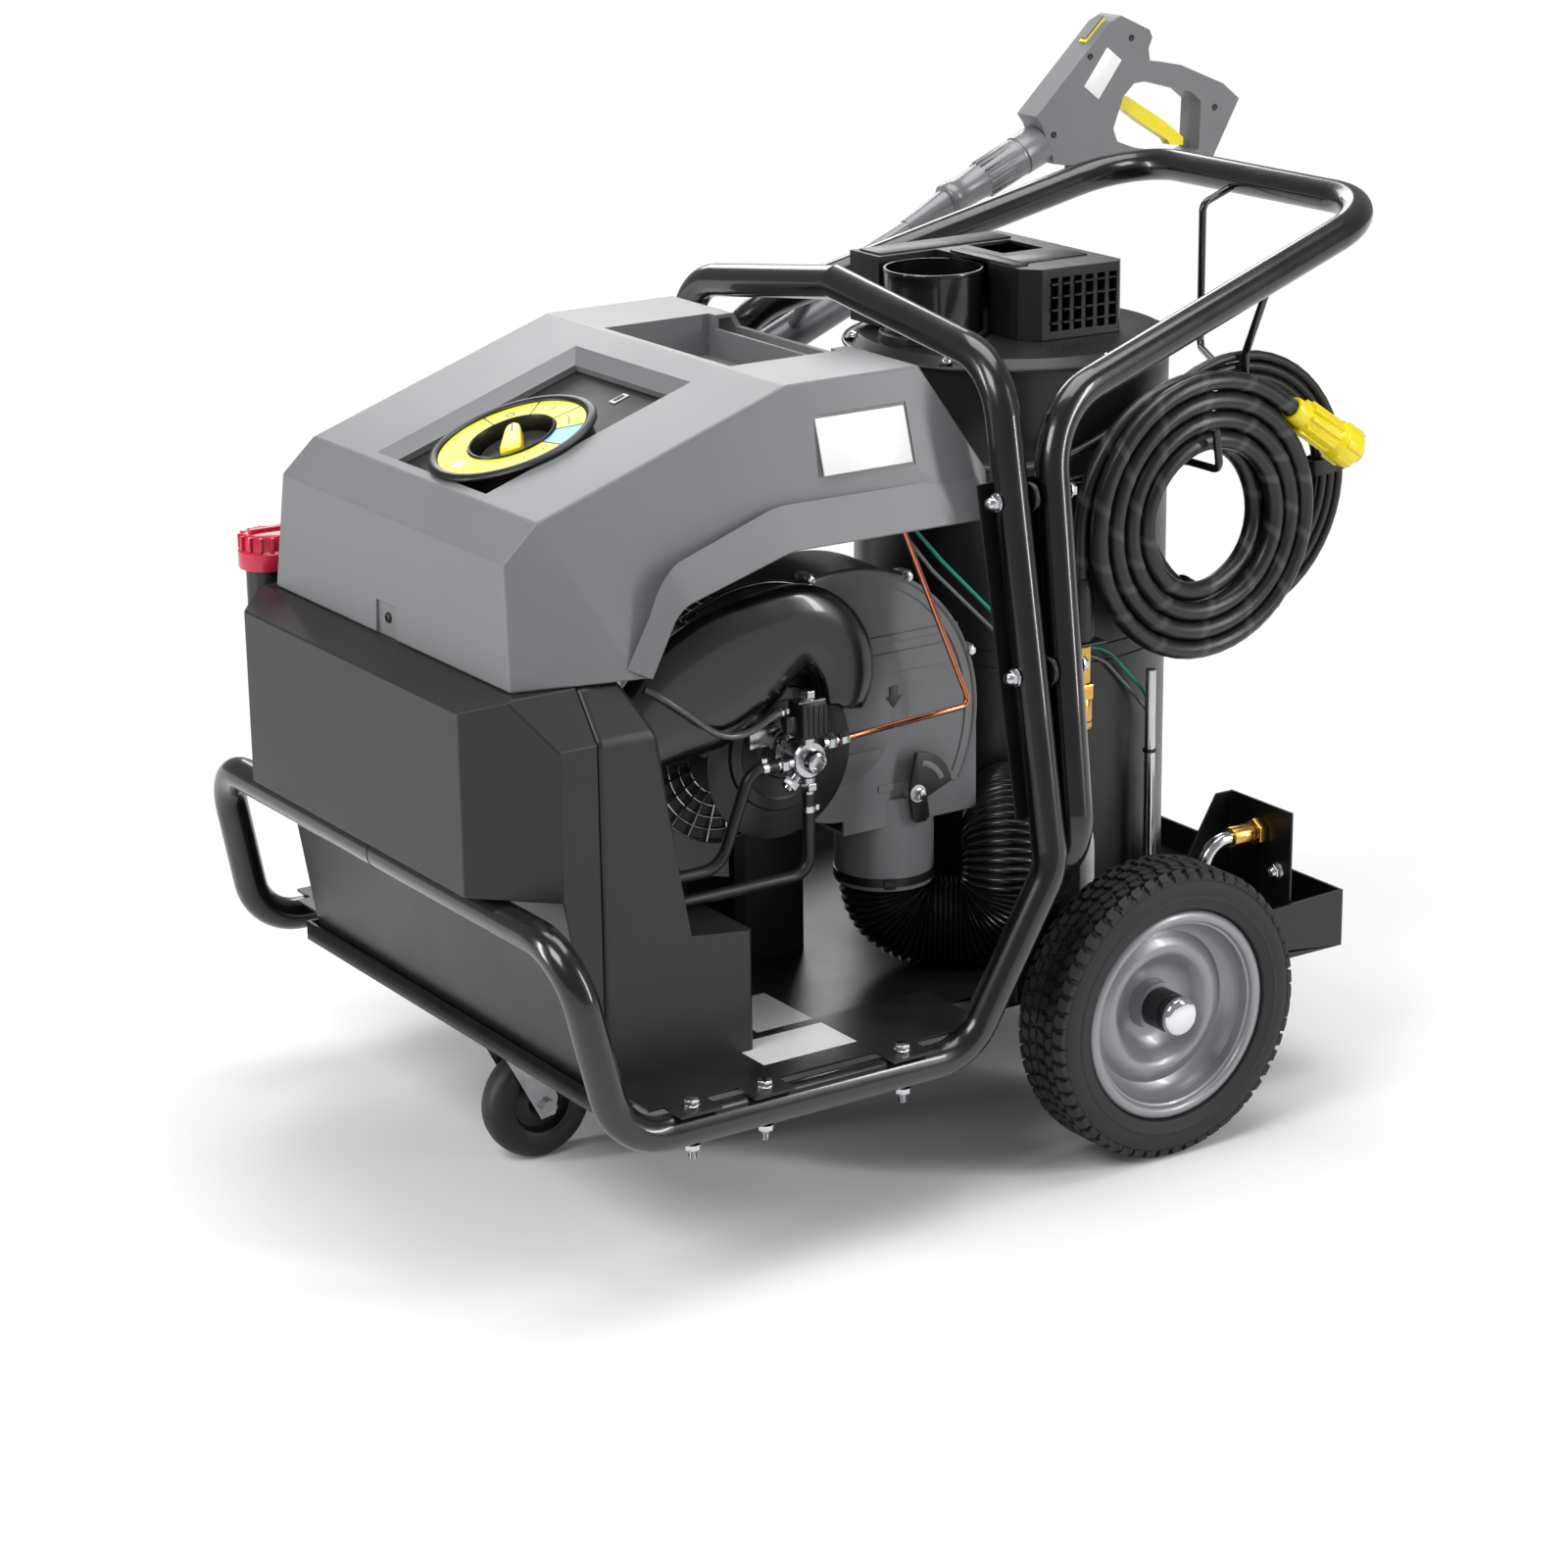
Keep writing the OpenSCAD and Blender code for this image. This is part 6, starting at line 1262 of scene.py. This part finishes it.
def add_fuel_pump():
    back = -167.3
    parts = []
    disc = revolve([(0, 0), (61, 0), (62, 1), (62, 5), (60.5, 7), (50, 8), (48, 6.6), (30, 6.6), (28, 8),
                    (0, 8)], 72)
    parts.append((facing_near(disc, PUMP.x, back, PUMP.z), 1))
    mouth = revolve([(0, 0), (81, 0), (82, 0.8), (82, 1.8), (81, 2.2), (0, 2.2)], 96)
    parts.append((facing_near(mouth, PUMP.x - 4, back - 1.6, PUMP.z - 8), 1))
    body = revolve([(0, 8), (23, 8), (24, 9), (24, 22), (22, 25), (17, 26), (17, 41), (18.6, 42.4),
                    (18.6, 50), (17, 52), (11.4, 52.6), (11.4, 61), (10, 64.6), (7.4, 66), (6.4, 64), (6, 60),
                    (0, 60)], 48)
    parts.append((facing_near(body, PUMP.x, back, PUMP.z), 0))
    for a in (45, 135, 225, 315):
        x, z = polar(20, a)
        c = Vector((PUMP.x + x, 0, PUMP.z + z))
        parts.append((facing_near(revolve([(0, 22), (4.6, 22), (4.6, 27), (3.6, 28.6), (2, 28.6), (1.8, 26.6),
                                           (0, 26.6)], 20), c.x, back, c.z), 0))
    parts.append((block(at(PUMP.x - 44, back - 14, PUMP.z + 8), at(PUMP.x - 8, back - 7, PUMP.z + 28), 1.6),
                  0))
    for dx, dz, axis in ((-20, 0, (-1, 0, 0)), (0, -18, (0, 0, -1)), (16, 13, (1, 0, 0)),
                         (-14, -14, (-0.7, 0, -0.7))):
        union = joined([revolve([(0, 0), (6.4, 0), (6.4, 6), (5.6, 7), (5.6, 16), (0, 16)], 24),
                        moved_up(plate(hexagon(8.4), 8, 0.8), 5)])
        parts.append((turned(union, at(PUMP.x + dx, PUMP.y, PUMP.z + dz), axis), 0))
    # The solenoid: a ribbed block in a bent strap, with its nut
    low = PUMP.z + 23
    parts.append((block(at(PUMP.x - 14, PUMP.y - 12, low), at(PUMP.x + 14, PUMP.y + 12, low + 36), 1.5), 1))
    for k in range(5):
        x = PUMP.x - 12 + 6 * k
        parts.append((block(at(x - 1.4, PUMP.y - 13.4, low + 3), at(x + 1.4, PUMP.y + 13.4, low + 33), 0.6,
                            1), 1))
    parts.append((block(at(PUMP.x - 15, PUMP.y - 9, low + 35.6), at(PUMP.x + 15, PUMP.y + 9, low + 37.4), 0.5,
                        1), 0))
    parts.append((turned(hex_bolt(13, 7, 7.5), at(PUMP.x, PUMP.y, low + 37.4), (0, 0, 1)), 0))
    parts.append((turned(revolve([(0, 0), (7, 0), (7, 6.4), (0, 6.4)], 24), at(PUMP.x, PUMP.y, PUMP.z + 17),
                         (0, 0, 1)), 0))
    parts.append((block(at(PUMP.x - 28, PUMP.y - 6, low + 8), at(PUMP.x - 14, PUMP.y + 6, low + 24), 1.4), 1))
    finished("fuel_pump_finished", joined(parts), "root", [PUMP_METAL, SMOOTH_BLACK],
             ("fuel_pump",))
    # Fuel lines with clamped ends
    left, low_port = PUMP + Vector((-36, 0, 0)), PUMP + Vector((0, 0, -34))
    lines = []
    for points, radii in (([left, left - Vector((30, 0, 0)), Vector((-430, -215, 345)),
                            Vector((-512, -215, 345))], (22, 30)),
                          ([low_port, Vector((low_port.x, low_port.y, 320)), Vector((-512, -215, 320))],
                           (20,))):
        lines.append((tube(rounded_path(placed_mm(points), radii), 6, 16), 0))
    for place, axis in ((left - Vector((12, 0, 0)), (-1, 0, 0)), (low_port - Vector((0, 0, 12)), (0, 0, -1))):
        clamp = joined([revolve([(6.1, 0), (6.9, 0), (6.9, 6), (6.1, 6)], 32, True),
                        block(mm(6.2, -3, 0), mm(10.5, 3, 6), 0.5, 1)])
        lines.append((turned(clamp, at(*place), axis), 1))
    finished("fuel_hoses_finished", joined(lines), "root", [SMOOTH_BLACK, ZINC],
             ("fuel_hoses",))
    # The thin return hose, clamped at the pump's top and led away under the intake cover
    lead = smooth_route([Vector(p) for p in ((-350, -214, 487), (-366, -215.5, 485), (-391, -215.5, 475),
                                             (-412, -215.5, 473), (-434, -215.5, 481), (-457, -215.5, 499),
                                             (-483, -214, 519), (-503, -206, 532))], 6)
    clamps = [(turned(revolve([(3.6, 0), (4.6, 0), (4.6, 2.2), (3.6, 2.2)], 24, True), at(x, -214.6, z),
                      (-1, 0, -0.12)), 1) for x, z in ((-352, 487), (-357, 486.2))]
    finished("return_hose", joined([(tube(placed_mm(lead), 3.5, 12), 0)] + clamps), "root",
             [HOSE_GREY, ZINC])


def add_copper():
    path = rounded_path(placed_mm([Vector((-294, -215, 448)), Vector((-137, -215, 456)),
                                   Vector((-219.5, -204, 666.5))]), (8,))
    nut = moved_up(plate(hexagon(6.4), 9, 0.7), 2)
    finished("copper_pipe_finished", joined([(tube(path, 3, 16), 0), (turned(nut, path[0], path[1] - path[0]),
                                                                      1)]), "root", [COPPER, ZINC],
             ("copper_pipe",))


def add_air_flap():
    outline = [polar(42, mix(8, 92, k / 16)) for k in range(17)] + [(-9, 6), (-8, -6), (-5, -27), (0, -31),
                                                                    (10, -31), (15, -26), (12, -6)]
    slot = plate([polar(33.5, 20 + 6 * k) for k in range(11)]
                 + [polar(27.5, 80 - 6 * k) for k in range(11)], 0.8, 0.2)
    parts = [(plate(outline, 4.2, 0.9), 0), (moved_up(slot, 4.1), 1)]
    parts.append((moved_up(revolve([(0, 0), (8.8, 0), (8.8, 1.2), (0, 1.2)], 32), 4.2), 3))
    parts.append((moved_up(hex_bolt(10, 5, 6.6), 5.3), 2))
    mesh = joined(parts)
    facing_near(mesh, *FLAP)
    finished("air_flap_finished", mesh, "air_flap",
             [SMOOTH_BLACK, FAN_PAINT, ZINC, LABEL_WHITE], ("air_flap",))


DUCT_FLOOR = TRAY_FLOOR + 46 + 1.5
DUCT_BEND = 47.0
DUCT_DIR = Vector((-0.6, -0.8, 0))


def add_duct():
    far = Vector((BOILER_X, 0, 0)) + DUCT_DIR * (110 + 92 + DUCT_BEND)
    top = DUCT_FLOOR + DUCT_BEND + 92
    up = DUCT_FLOOR + 2 * DUCT_BEND + 0.5
    corners = [Vector((-178, -125, top)), Vector((-178, -125, DUCT_FLOOR)),
               Vector((far.x, far.y, DUCT_FLOOR)), Vector((far.x, far.y, up)),
               Vector((BOILER_X, 0, up)) + DUCT_DIR * 110]
    path = rounded_path(placed_mm(corners), (DUCT_BEND,) * 3)
    total = path_length(path)
    ribs = 84
    cuff = 66.0
    points, radii = [], []
    fine = spaced(path, total / (ribs * 4))
    step = path_length(fine) / (len(fine) - 1) / MM
    for i, p in enumerate(fine):
        s = i * step
        if s < cuff:
            band = 49.4 if s > 2 else 48.6
            radii.append(band - (1.2 if int(s / 12) % 2 else 0.0) if s > 8 else 45.8)
        else:
            radii.append((46.2, 45.0, 41.2, 45.0)[i % 4])
        points.append(p)
    radii[0] = 45.6
    mesh = tube(points, radii, 40, first=(1, 0.3, 0), ends=False)
    bore = tube(points[::6] + [points[-1]], 39, 24, first=(1, 0.3, 0), ends=False)
    bore.flip_normals()
    finished("flex_duct_finished", joined([mesh, bore]), "root", [DUCT_PLASTIC],
             ("flex_duct",), angle=70)
    clamp = [(revolve([(50, 0), (51.4, 0.4), (51.4, 8.6), (50, 9)], 64, True), 0)]
    clamp.append((block(mm(50.8, -6, 0.5), mm(58, 6, 8.5), 1.0), 0))
    mesh = joined(clamp)
    turned(mesh, at(-178, -125, 266), (0, 0, 1), (-0.5, -0.9, 0))
    finished("duct_clamp", mesh, "root", [SMOOTH_BLACK])


add_intake()
add_fan()
add_guard()
add_motor()
add_fuel_pump()
add_copper()
add_air_flap()
add_duct()

# ---------------------------------------------------------------- boiler and water lines

def add_boiler():
    shell = clean_copy("boiler_shell")
    rims = [e for e in shell.edges if len(e.link_faces) == 2 and e.calc_face_angle(0) > math.radians(50)]
    round_edges(shell, rims, 0.8, 2, clamp=True)
    finished("boiler_shell_finished", mesh_of(shell), "root", [JACKET_PAINT],
             ("boiler_shell",), weighted=True)
    # Rivets of the jacket's lapped seams
    rivet = revolve([(0, 0), (3.6, 0), (3.4, 1.0), (2.2, 1.9), (0, 2.2)], 20)
    rivets = []
    for z in (240, 300, 520, 580, 640, 700):
        for a in (-62, 40, 150):
            c, s = math.cos(math.radians(a)), math.sin(math.radians(a))
            rivets.append((at(BOILER_X + BOILER_R * c, BOILER_R * s, z), (c, s, 0)))
    finished("jacket_rivets", copies_at(rivet, rivets), "root", [JACKET_PAINT])
    softened("burner_lid", "root", SHEET_PAINT, 0.8, name="burner_lid_finished")
    rim = [at(BOILER_X + LID_R * math.cos(2 * math.pi * k / 120), LID_R * math.sin(2 * math.pi * k / 120),
              759.8) for k in range(120)]
    lid_rim = tube(rim, 2.2, 8, closed=True)
    finished("lid_rim", lid_rim, "root", [SHEET_PAINT])
    screw = joined([revolve([(0, 0), (7.4, 0), (7.4, 1.0), (0, 1.0)], 32),
                    revolve([(5.6, 1), (5.4, 3), (4.2, 5), (2.2, 6), (0, 6.2)], 32)])
    screw.transform(Matrix.Translation(mm(160, 0, 0)))
    screws = spun(repeat_round(screw, 6, 60), 30)
    turned(screws, at(BOILER_X, 0, 764.5), (0, 0, 1), (1, 0, 0))
    finished("lid_screws", screws, "root", [CHROME])


def add_burner_cover():
    softened("burner_cover", "root", SMOOTH_BLACK, 2.0, segments=3)
    z = HEAD_Z
    parts = []
    # Bars across the vents, and the raised front block beside the stack
    for k in range(6):
        for row in range(4):
            parts.append(block(at(46 + 14 * k - 0.5, -103, z + 16 + 13 * row), at(46 + 14 * k + 9.5, -99,
                                                                                  z + 18 + 13 * row), 0.4, 1))
    parts.append(block(at(40, -60, z + 71.4), at(122, -20, z + 73.6), 1.0))
    parts.append(block(at(22, -70, z + 71.4), at(40, 40, z + 74.4), 1.2))
    parts.append(block(at(-46, 66, z + 71.4), at(120, 104, z + 74.0), 1.2))
    ring = revolve([(50.6, 0), (55.6, 0), (55.4, 3.4), (52.6, 5.2), (50.6, 5.2)], 72, True)
    parts.append(turned(ring, at(STACK_X, 0, 775.4), (0, 0, 1)))
    finished("burner_cover_trim", joined(parts), "root", [SMOOTH_BLACK])
    lip = revolve([(48.2, 0), (50.5, 0), (50.9, 0.8), (50.9, 3), (50.4, 3.8), (48.2, 3.8)], 72, True)
    turned(lip, at(STACK_X, 0, 839.4), (0, 0, 1))
    finished("stack_lip", lip, "root", [FRAME_PAINT])


def add_water_lines():
    x, y = OUTLET
    body = [(moved_up(plate(hexagon(15), 16, 1.4), 436), 0),
            (revolve([(0, 396), (7.4, 396), (8, 397), (8, 404), (12, 404.5), (13, 406), (13, 412),
                      (12.2, 413), (13, 414), (13, 434), (12, 436), (10, 452), (11, 453), (11, 490), (9, 492),
                      (0, 492)], 48), 0)]
    outlet = joined(body)
    turned(outlet, at(x, y, 0), (0, 0, 1), (1, 0, 0))
    port = turned(joined([revolve([(0, 0), (7, 0), (7, 12), (8.4, 12.4), (8.4, 18), (7.6, 18.8), (0, 18.8)],
                                  32)]), at(x, y, 466), (-1, 0, 0))
    finished("outlet_fitting_finished", joined([outlet, port]), "root", [BRASS],
             ("outlet_fitting",))
    clear = rounded_path(placed_mm([Vector((x, y, 396)), Vector((x, y, 330)), Vector((x + 14, y + 2, 280)),
                                    Vector((x + 14, y + 2, 167.3))]), (60, 60))
    steel = rounded_path(placed_mm([Vector((116, -180, 440)), Vector((116, -180, 230)),
                                    Vector((124, -190, 167.3))]), (60,))
    ferrules = []
    for place in (at(x, y, 380), at(x + 14, y + 2, 190)):
        ring = revolve([(7.6, 0), (9.2, 0.4), (9.4, 6), (8.8, 12), (9.2, 14), (7.6, 14)], 32, True)
        ferrules.append((turned(ring, place, (0, 0, 1)), 1))
    knot = turned(revolve([(5.6, 0), (7.2, 0.6), (7.2, 3.4), (5.6, 4)], 24, True), at(116, -180, 352),
                  (0, 0, 1))
    finished("outlet_pipes_finished", joined([(tube(clear, 7.5, 20), 0), (tube(steel, 5.5, 18), 1),
                                              (knot, 2)] + ferrules), "root",
             [CLEAR_HOSE, STEEL_TUBE, SMOOTH_BLACK], ("outlet_pipes",))
    # Water inlet at the tray's corner
    ix, iy, iz = 220, -236, 262
    nipple = revolve([(0, -42), (10.6, -42), (11, -41), (11, -20), (9.4, -19), (9.4, -17), (11, -16),
                      (11, -12), (10, 0), (10, 3), (13, 3.4), (13, 8), (12, 9), (12, 13), (13.4, 14),
                      (13.4, 18), (11.4, 20), (12.6, 23), (13.2, 26.4), (12.4, 27), (7, 27), (7, 9), (0, 9)],
                     48)
    nut = moved_up(plate(hexagon(15), 12, 1.2), -12)
    inlet = turned(joined([nipple, nut]), at(ix, iy, iz), (1, 0, 0))
    elbow = tube(rounded_path(placed_mm([Vector((ix - 42, iy, iz)), Vector((ix - 76, iy, iz)),
                                         Vector((ix - 76, iy, 167))]), (30,)), 7.5, 20)
    bolt = turned(dome_nut(), at(ix - 0.4, -264, 226), (-1, 0, 0))
    back = turned(hex_bolt(12, 5, 8), at(ix + 3.1, -264, 226), (1, 0, 0))
    finished("inlet_fitting_finished", joined([(inlet, 0), (elbow, 1), (bolt, 2), (back, 2)]), "root",
             [BRASS, STEEL_TUBE, ZINC], ("inlet_fitting",))


def add_wires():
    foot = 167.3
    teal = rounded_path(placed_mm([Vector(p) for p in ((-214, -190, 667), (-150, -186, 596), (-34, -176, 484),
                                                       (62, -172, 472), (128, -168, 402),
                                                       (126, -172, foot))]), (60,) * 4)
    grey = rounded_path(placed_mm([Vector(p) for p in ((-222, -180, 667), (-156, -178, 586), (-38, -170, 474),
                                                       (60, -166, 462), (134, -164, 382),
                                                       (134, -168, foot))]), (60,) * 4)
    finished("wires_finished", joined([(tube(teal, 2, 10), 0), (tube(grey, 2, 10), 1)]), "root",
             [EARTH_TEAL, LANCE_GREY], ("wires",))


add_boiler()
add_burner_cover()
add_water_lines()
add_wires()

# ---------------------------------------------------------------- spray gun

GUN = Vector((345, 322, 894))
LANCE_ANGLE = math.radians(22.7)
LANCE_DIRECTION = Vector((-math.cos(LANCE_ANGLE), 0, -math.sin(LANCE_ANGLE)))


def gun_plate(outline, half, bevel, segments=4):
    """A moulding from an outline in the gun's side view, as thick as 2 * half."""
    mesh = plate(outline, 2 * half, bevel, segments)
    return turned(moved_up(mesh, -half), at(*GUN), (0, -1, 0), (1, 0, 0))


def add_gun():
    softened("gun_body", "gun", GUN_GREY, 3.2, segments=4, limit=24)
    softened("gun_trigger", "trigger", YELLOW, 1.8, segments=3)
    parts = []
    # Screws and the pressure slide
    for side in (-1, 1):
        for x, z in ((60, 92), (118, 108), (10, 10), (240, 20), (120, -26)):
            screw = revolve([(0, 0), (3.6, 0), (3.6, 0.6), (2.6, 1.1), (2.0, 0.4), (0, 0.4)], 24)
            place = GUN + Vector((x, side * 18.0, z))
            parts.append((turned(screw, at(*place), (0, side, 0)), 0))
    slide = gun_plate([(62, 107), (66, 102), (92, 127), (89, 132)], 6, 1.2)
    parts.append((slide, 1))
    finished("gun_details", joined(parts), "gun", [SMOOTH_BLACK, YELLOW])
    for side, word in ((-1, "near"), (1, "far")):
        bare = spun(plate([(-13, -26), (13, -26), (13, 26), (-13, 26)], 1.0, 0.4), -38)
        turned(bare, at(*(GUN + Vector((78, side * 17.7, 72)))), (0, side, 0), (1, 0, 0))
        finished(f"gun_plate_{word}", bare, "gun", [WHITE_PLATE])
    lance = revolve([(0, 1), (22, 1), (23, 2.4), (22.6, 30), (21, 31), (21, 34), (22, 35), (19, 90),
                     (17.4, 112), (19.6, 124), (20.2, 125), (20.2, 135), (19, 137), (15.4, 138), (13.6, 152),
                     (11.4, 170), (10, 190), (9.4, 196), (8, 197), (8, 560), (10.4, 560.4), (11, 562),
                     (11, 600), (10, 603.6), (3, 604), (3, 590), (0, 590)], 48)
    grip_rib = block(mm(16.5, -1.2, 40), mm(21.8, 1.2, 86), 0.8, 1)
    bands = repeat_round(grip_rib, 16, 22.5)
    place = GUN + Vector((3, 0, -1))
    turned(lance, at(*place), LANCE_DIRECTION, (0, 1, 0))
    turned(bands, at(*place), LANCE_DIRECTION, (0, 1, 0))
    finished("lance_finished", joined([(lance, 0), (bands, 0)]), "gun", [LANCE_GREY],
             ("lance",), angle=40)
    softened("lance_holder", "root", HOLDER_GREY, 0.8)


add_gun()

# ---------------------------------------------------------------- room


def floor_material():
    """Pale matt floor that takes the shadow near the machine and fades into the white room further out."""
    material = bpy.data.materials.new("floor_pale")
    material.use_nodes = True
    tree = material.node_tree
    shader = tree.nodes["Principled BSDF"]
    shader.inputs["Base Color"].default_value = colour("f4f4f4")
    shader.inputs["Roughness"].default_value = 0.9
    shader.inputs["Specular IOR Level"].default_value = 0.1
    place = node(tree, "ShaderNodeTexCoord").outputs["Object"]
    away = node(tree, "ShaderNodeVectorMath", {0: place}, operation="LENGTH").outputs["Value"]
    far = node(tree, "ShaderNodeMapRange", {"Value": away, "From Min": 0.85, "From Max": 1.7, "To Min": 0.0,
                                            "To Max": 1.0}, interpolation_type="SMOOTHSTEP").outputs["Result"]
    white = node(tree, "ShaderNodeEmission", {"Color": colour("ffffff"), "Strength": 1.0}).outputs[0]
    path = node(tree, "ShaderNodeLightPath")
    seen = node(tree, "ShaderNodeMath", {0: path.outputs["Is Camera Ray"], 1: path.outputs["Is Glossy Ray"]},
                operation="MAXIMUM").outputs[0]
    share = node(tree, "ShaderNodeMath", {0: far, 1: seen}, operation="MULTIPLY").outputs[0]
    mixed = node(tree, "ShaderNodeMixShader", {0: share, 1: shader.outputs[0], 2: white}).outputs[0]
    tree.links.new(mixed, tree.nodes["Material Output"].inputs["Surface"])
    return material


def add_room():
    bm = bmesh.new()
    bmesh.ops.create_grid(bm, x_segments=1, y_segments=1, size=8)
    floor = bpy.data.objects.new("floor", mesh_of(bm))
    floor.data.materials.append(floor_material())
    bpy.context.scene.collection.objects.link(floor)
    world = bpy.data.worlds.new("studio")
    bpy.context.scene.world = world
    world.use_nodes = True
    tree = world.node_tree
    tree.nodes.clear()
    path = node(tree, "ShaderNodeLightPath")
    seen = node(tree, "ShaderNodeMath", {0: path.outputs["Is Camera Ray"],
                                         1: path.outputs["Is Transmission Ray"]},
                operation="MAXIMUM").outputs[0]
    strength = node(tree, "ShaderNodeMapRange", {"Value": seen, "From Min": 0.0, "From Max": 1.0,
                                                 "To Min": 0.30, "To Max": 1.0}).outputs["Result"]
    sky = node(tree, "ShaderNodeBackground", {"Color": colour("ffffff"), "Strength": strength})
    node(tree, "ShaderNodeOutputWorld", {"Surface": sky.outputs[0]})
    for name, place, aim, size, power in (
            ("key_left", (-2.6, -1.0, 2.8), (0, 0, 0.5), (1.4, 1.4), 56),
            ("strip_right", (1.9, -2.8, 1.7), (0.1, 0, 0.5), (0.3, 2.4), 58),
            ("top", (0.2, 0.1, 3.2), (0, 0, 0.4), (2.4, 1.8), 58),
            ("back", (1.2, 3.0, 2.2), (0, 0, 0.6), (2.0, 1.2), 40),
            ("front_strip", (-3.4, 0.9, 1.2), (0, 0, 0.5), (0.4, 2.0), 46)):
        data = bpy.data.lights.new(name, "AREA")
        data.shape = "RECTANGLE"
        data.size, data.size_y = size
        data.energy = power
        lamp = bpy.data.objects.new(name, data)
        lamp.location = place
        lamp.rotation_euler = (Vector(aim) - Vector(place)).to_track_quat("-Z", "Y").to_euler()
        bpy.context.scene.collection.objects.link(lamp)


add_room()
bpy.context.scene.view_settings.view_transform = "Standard"
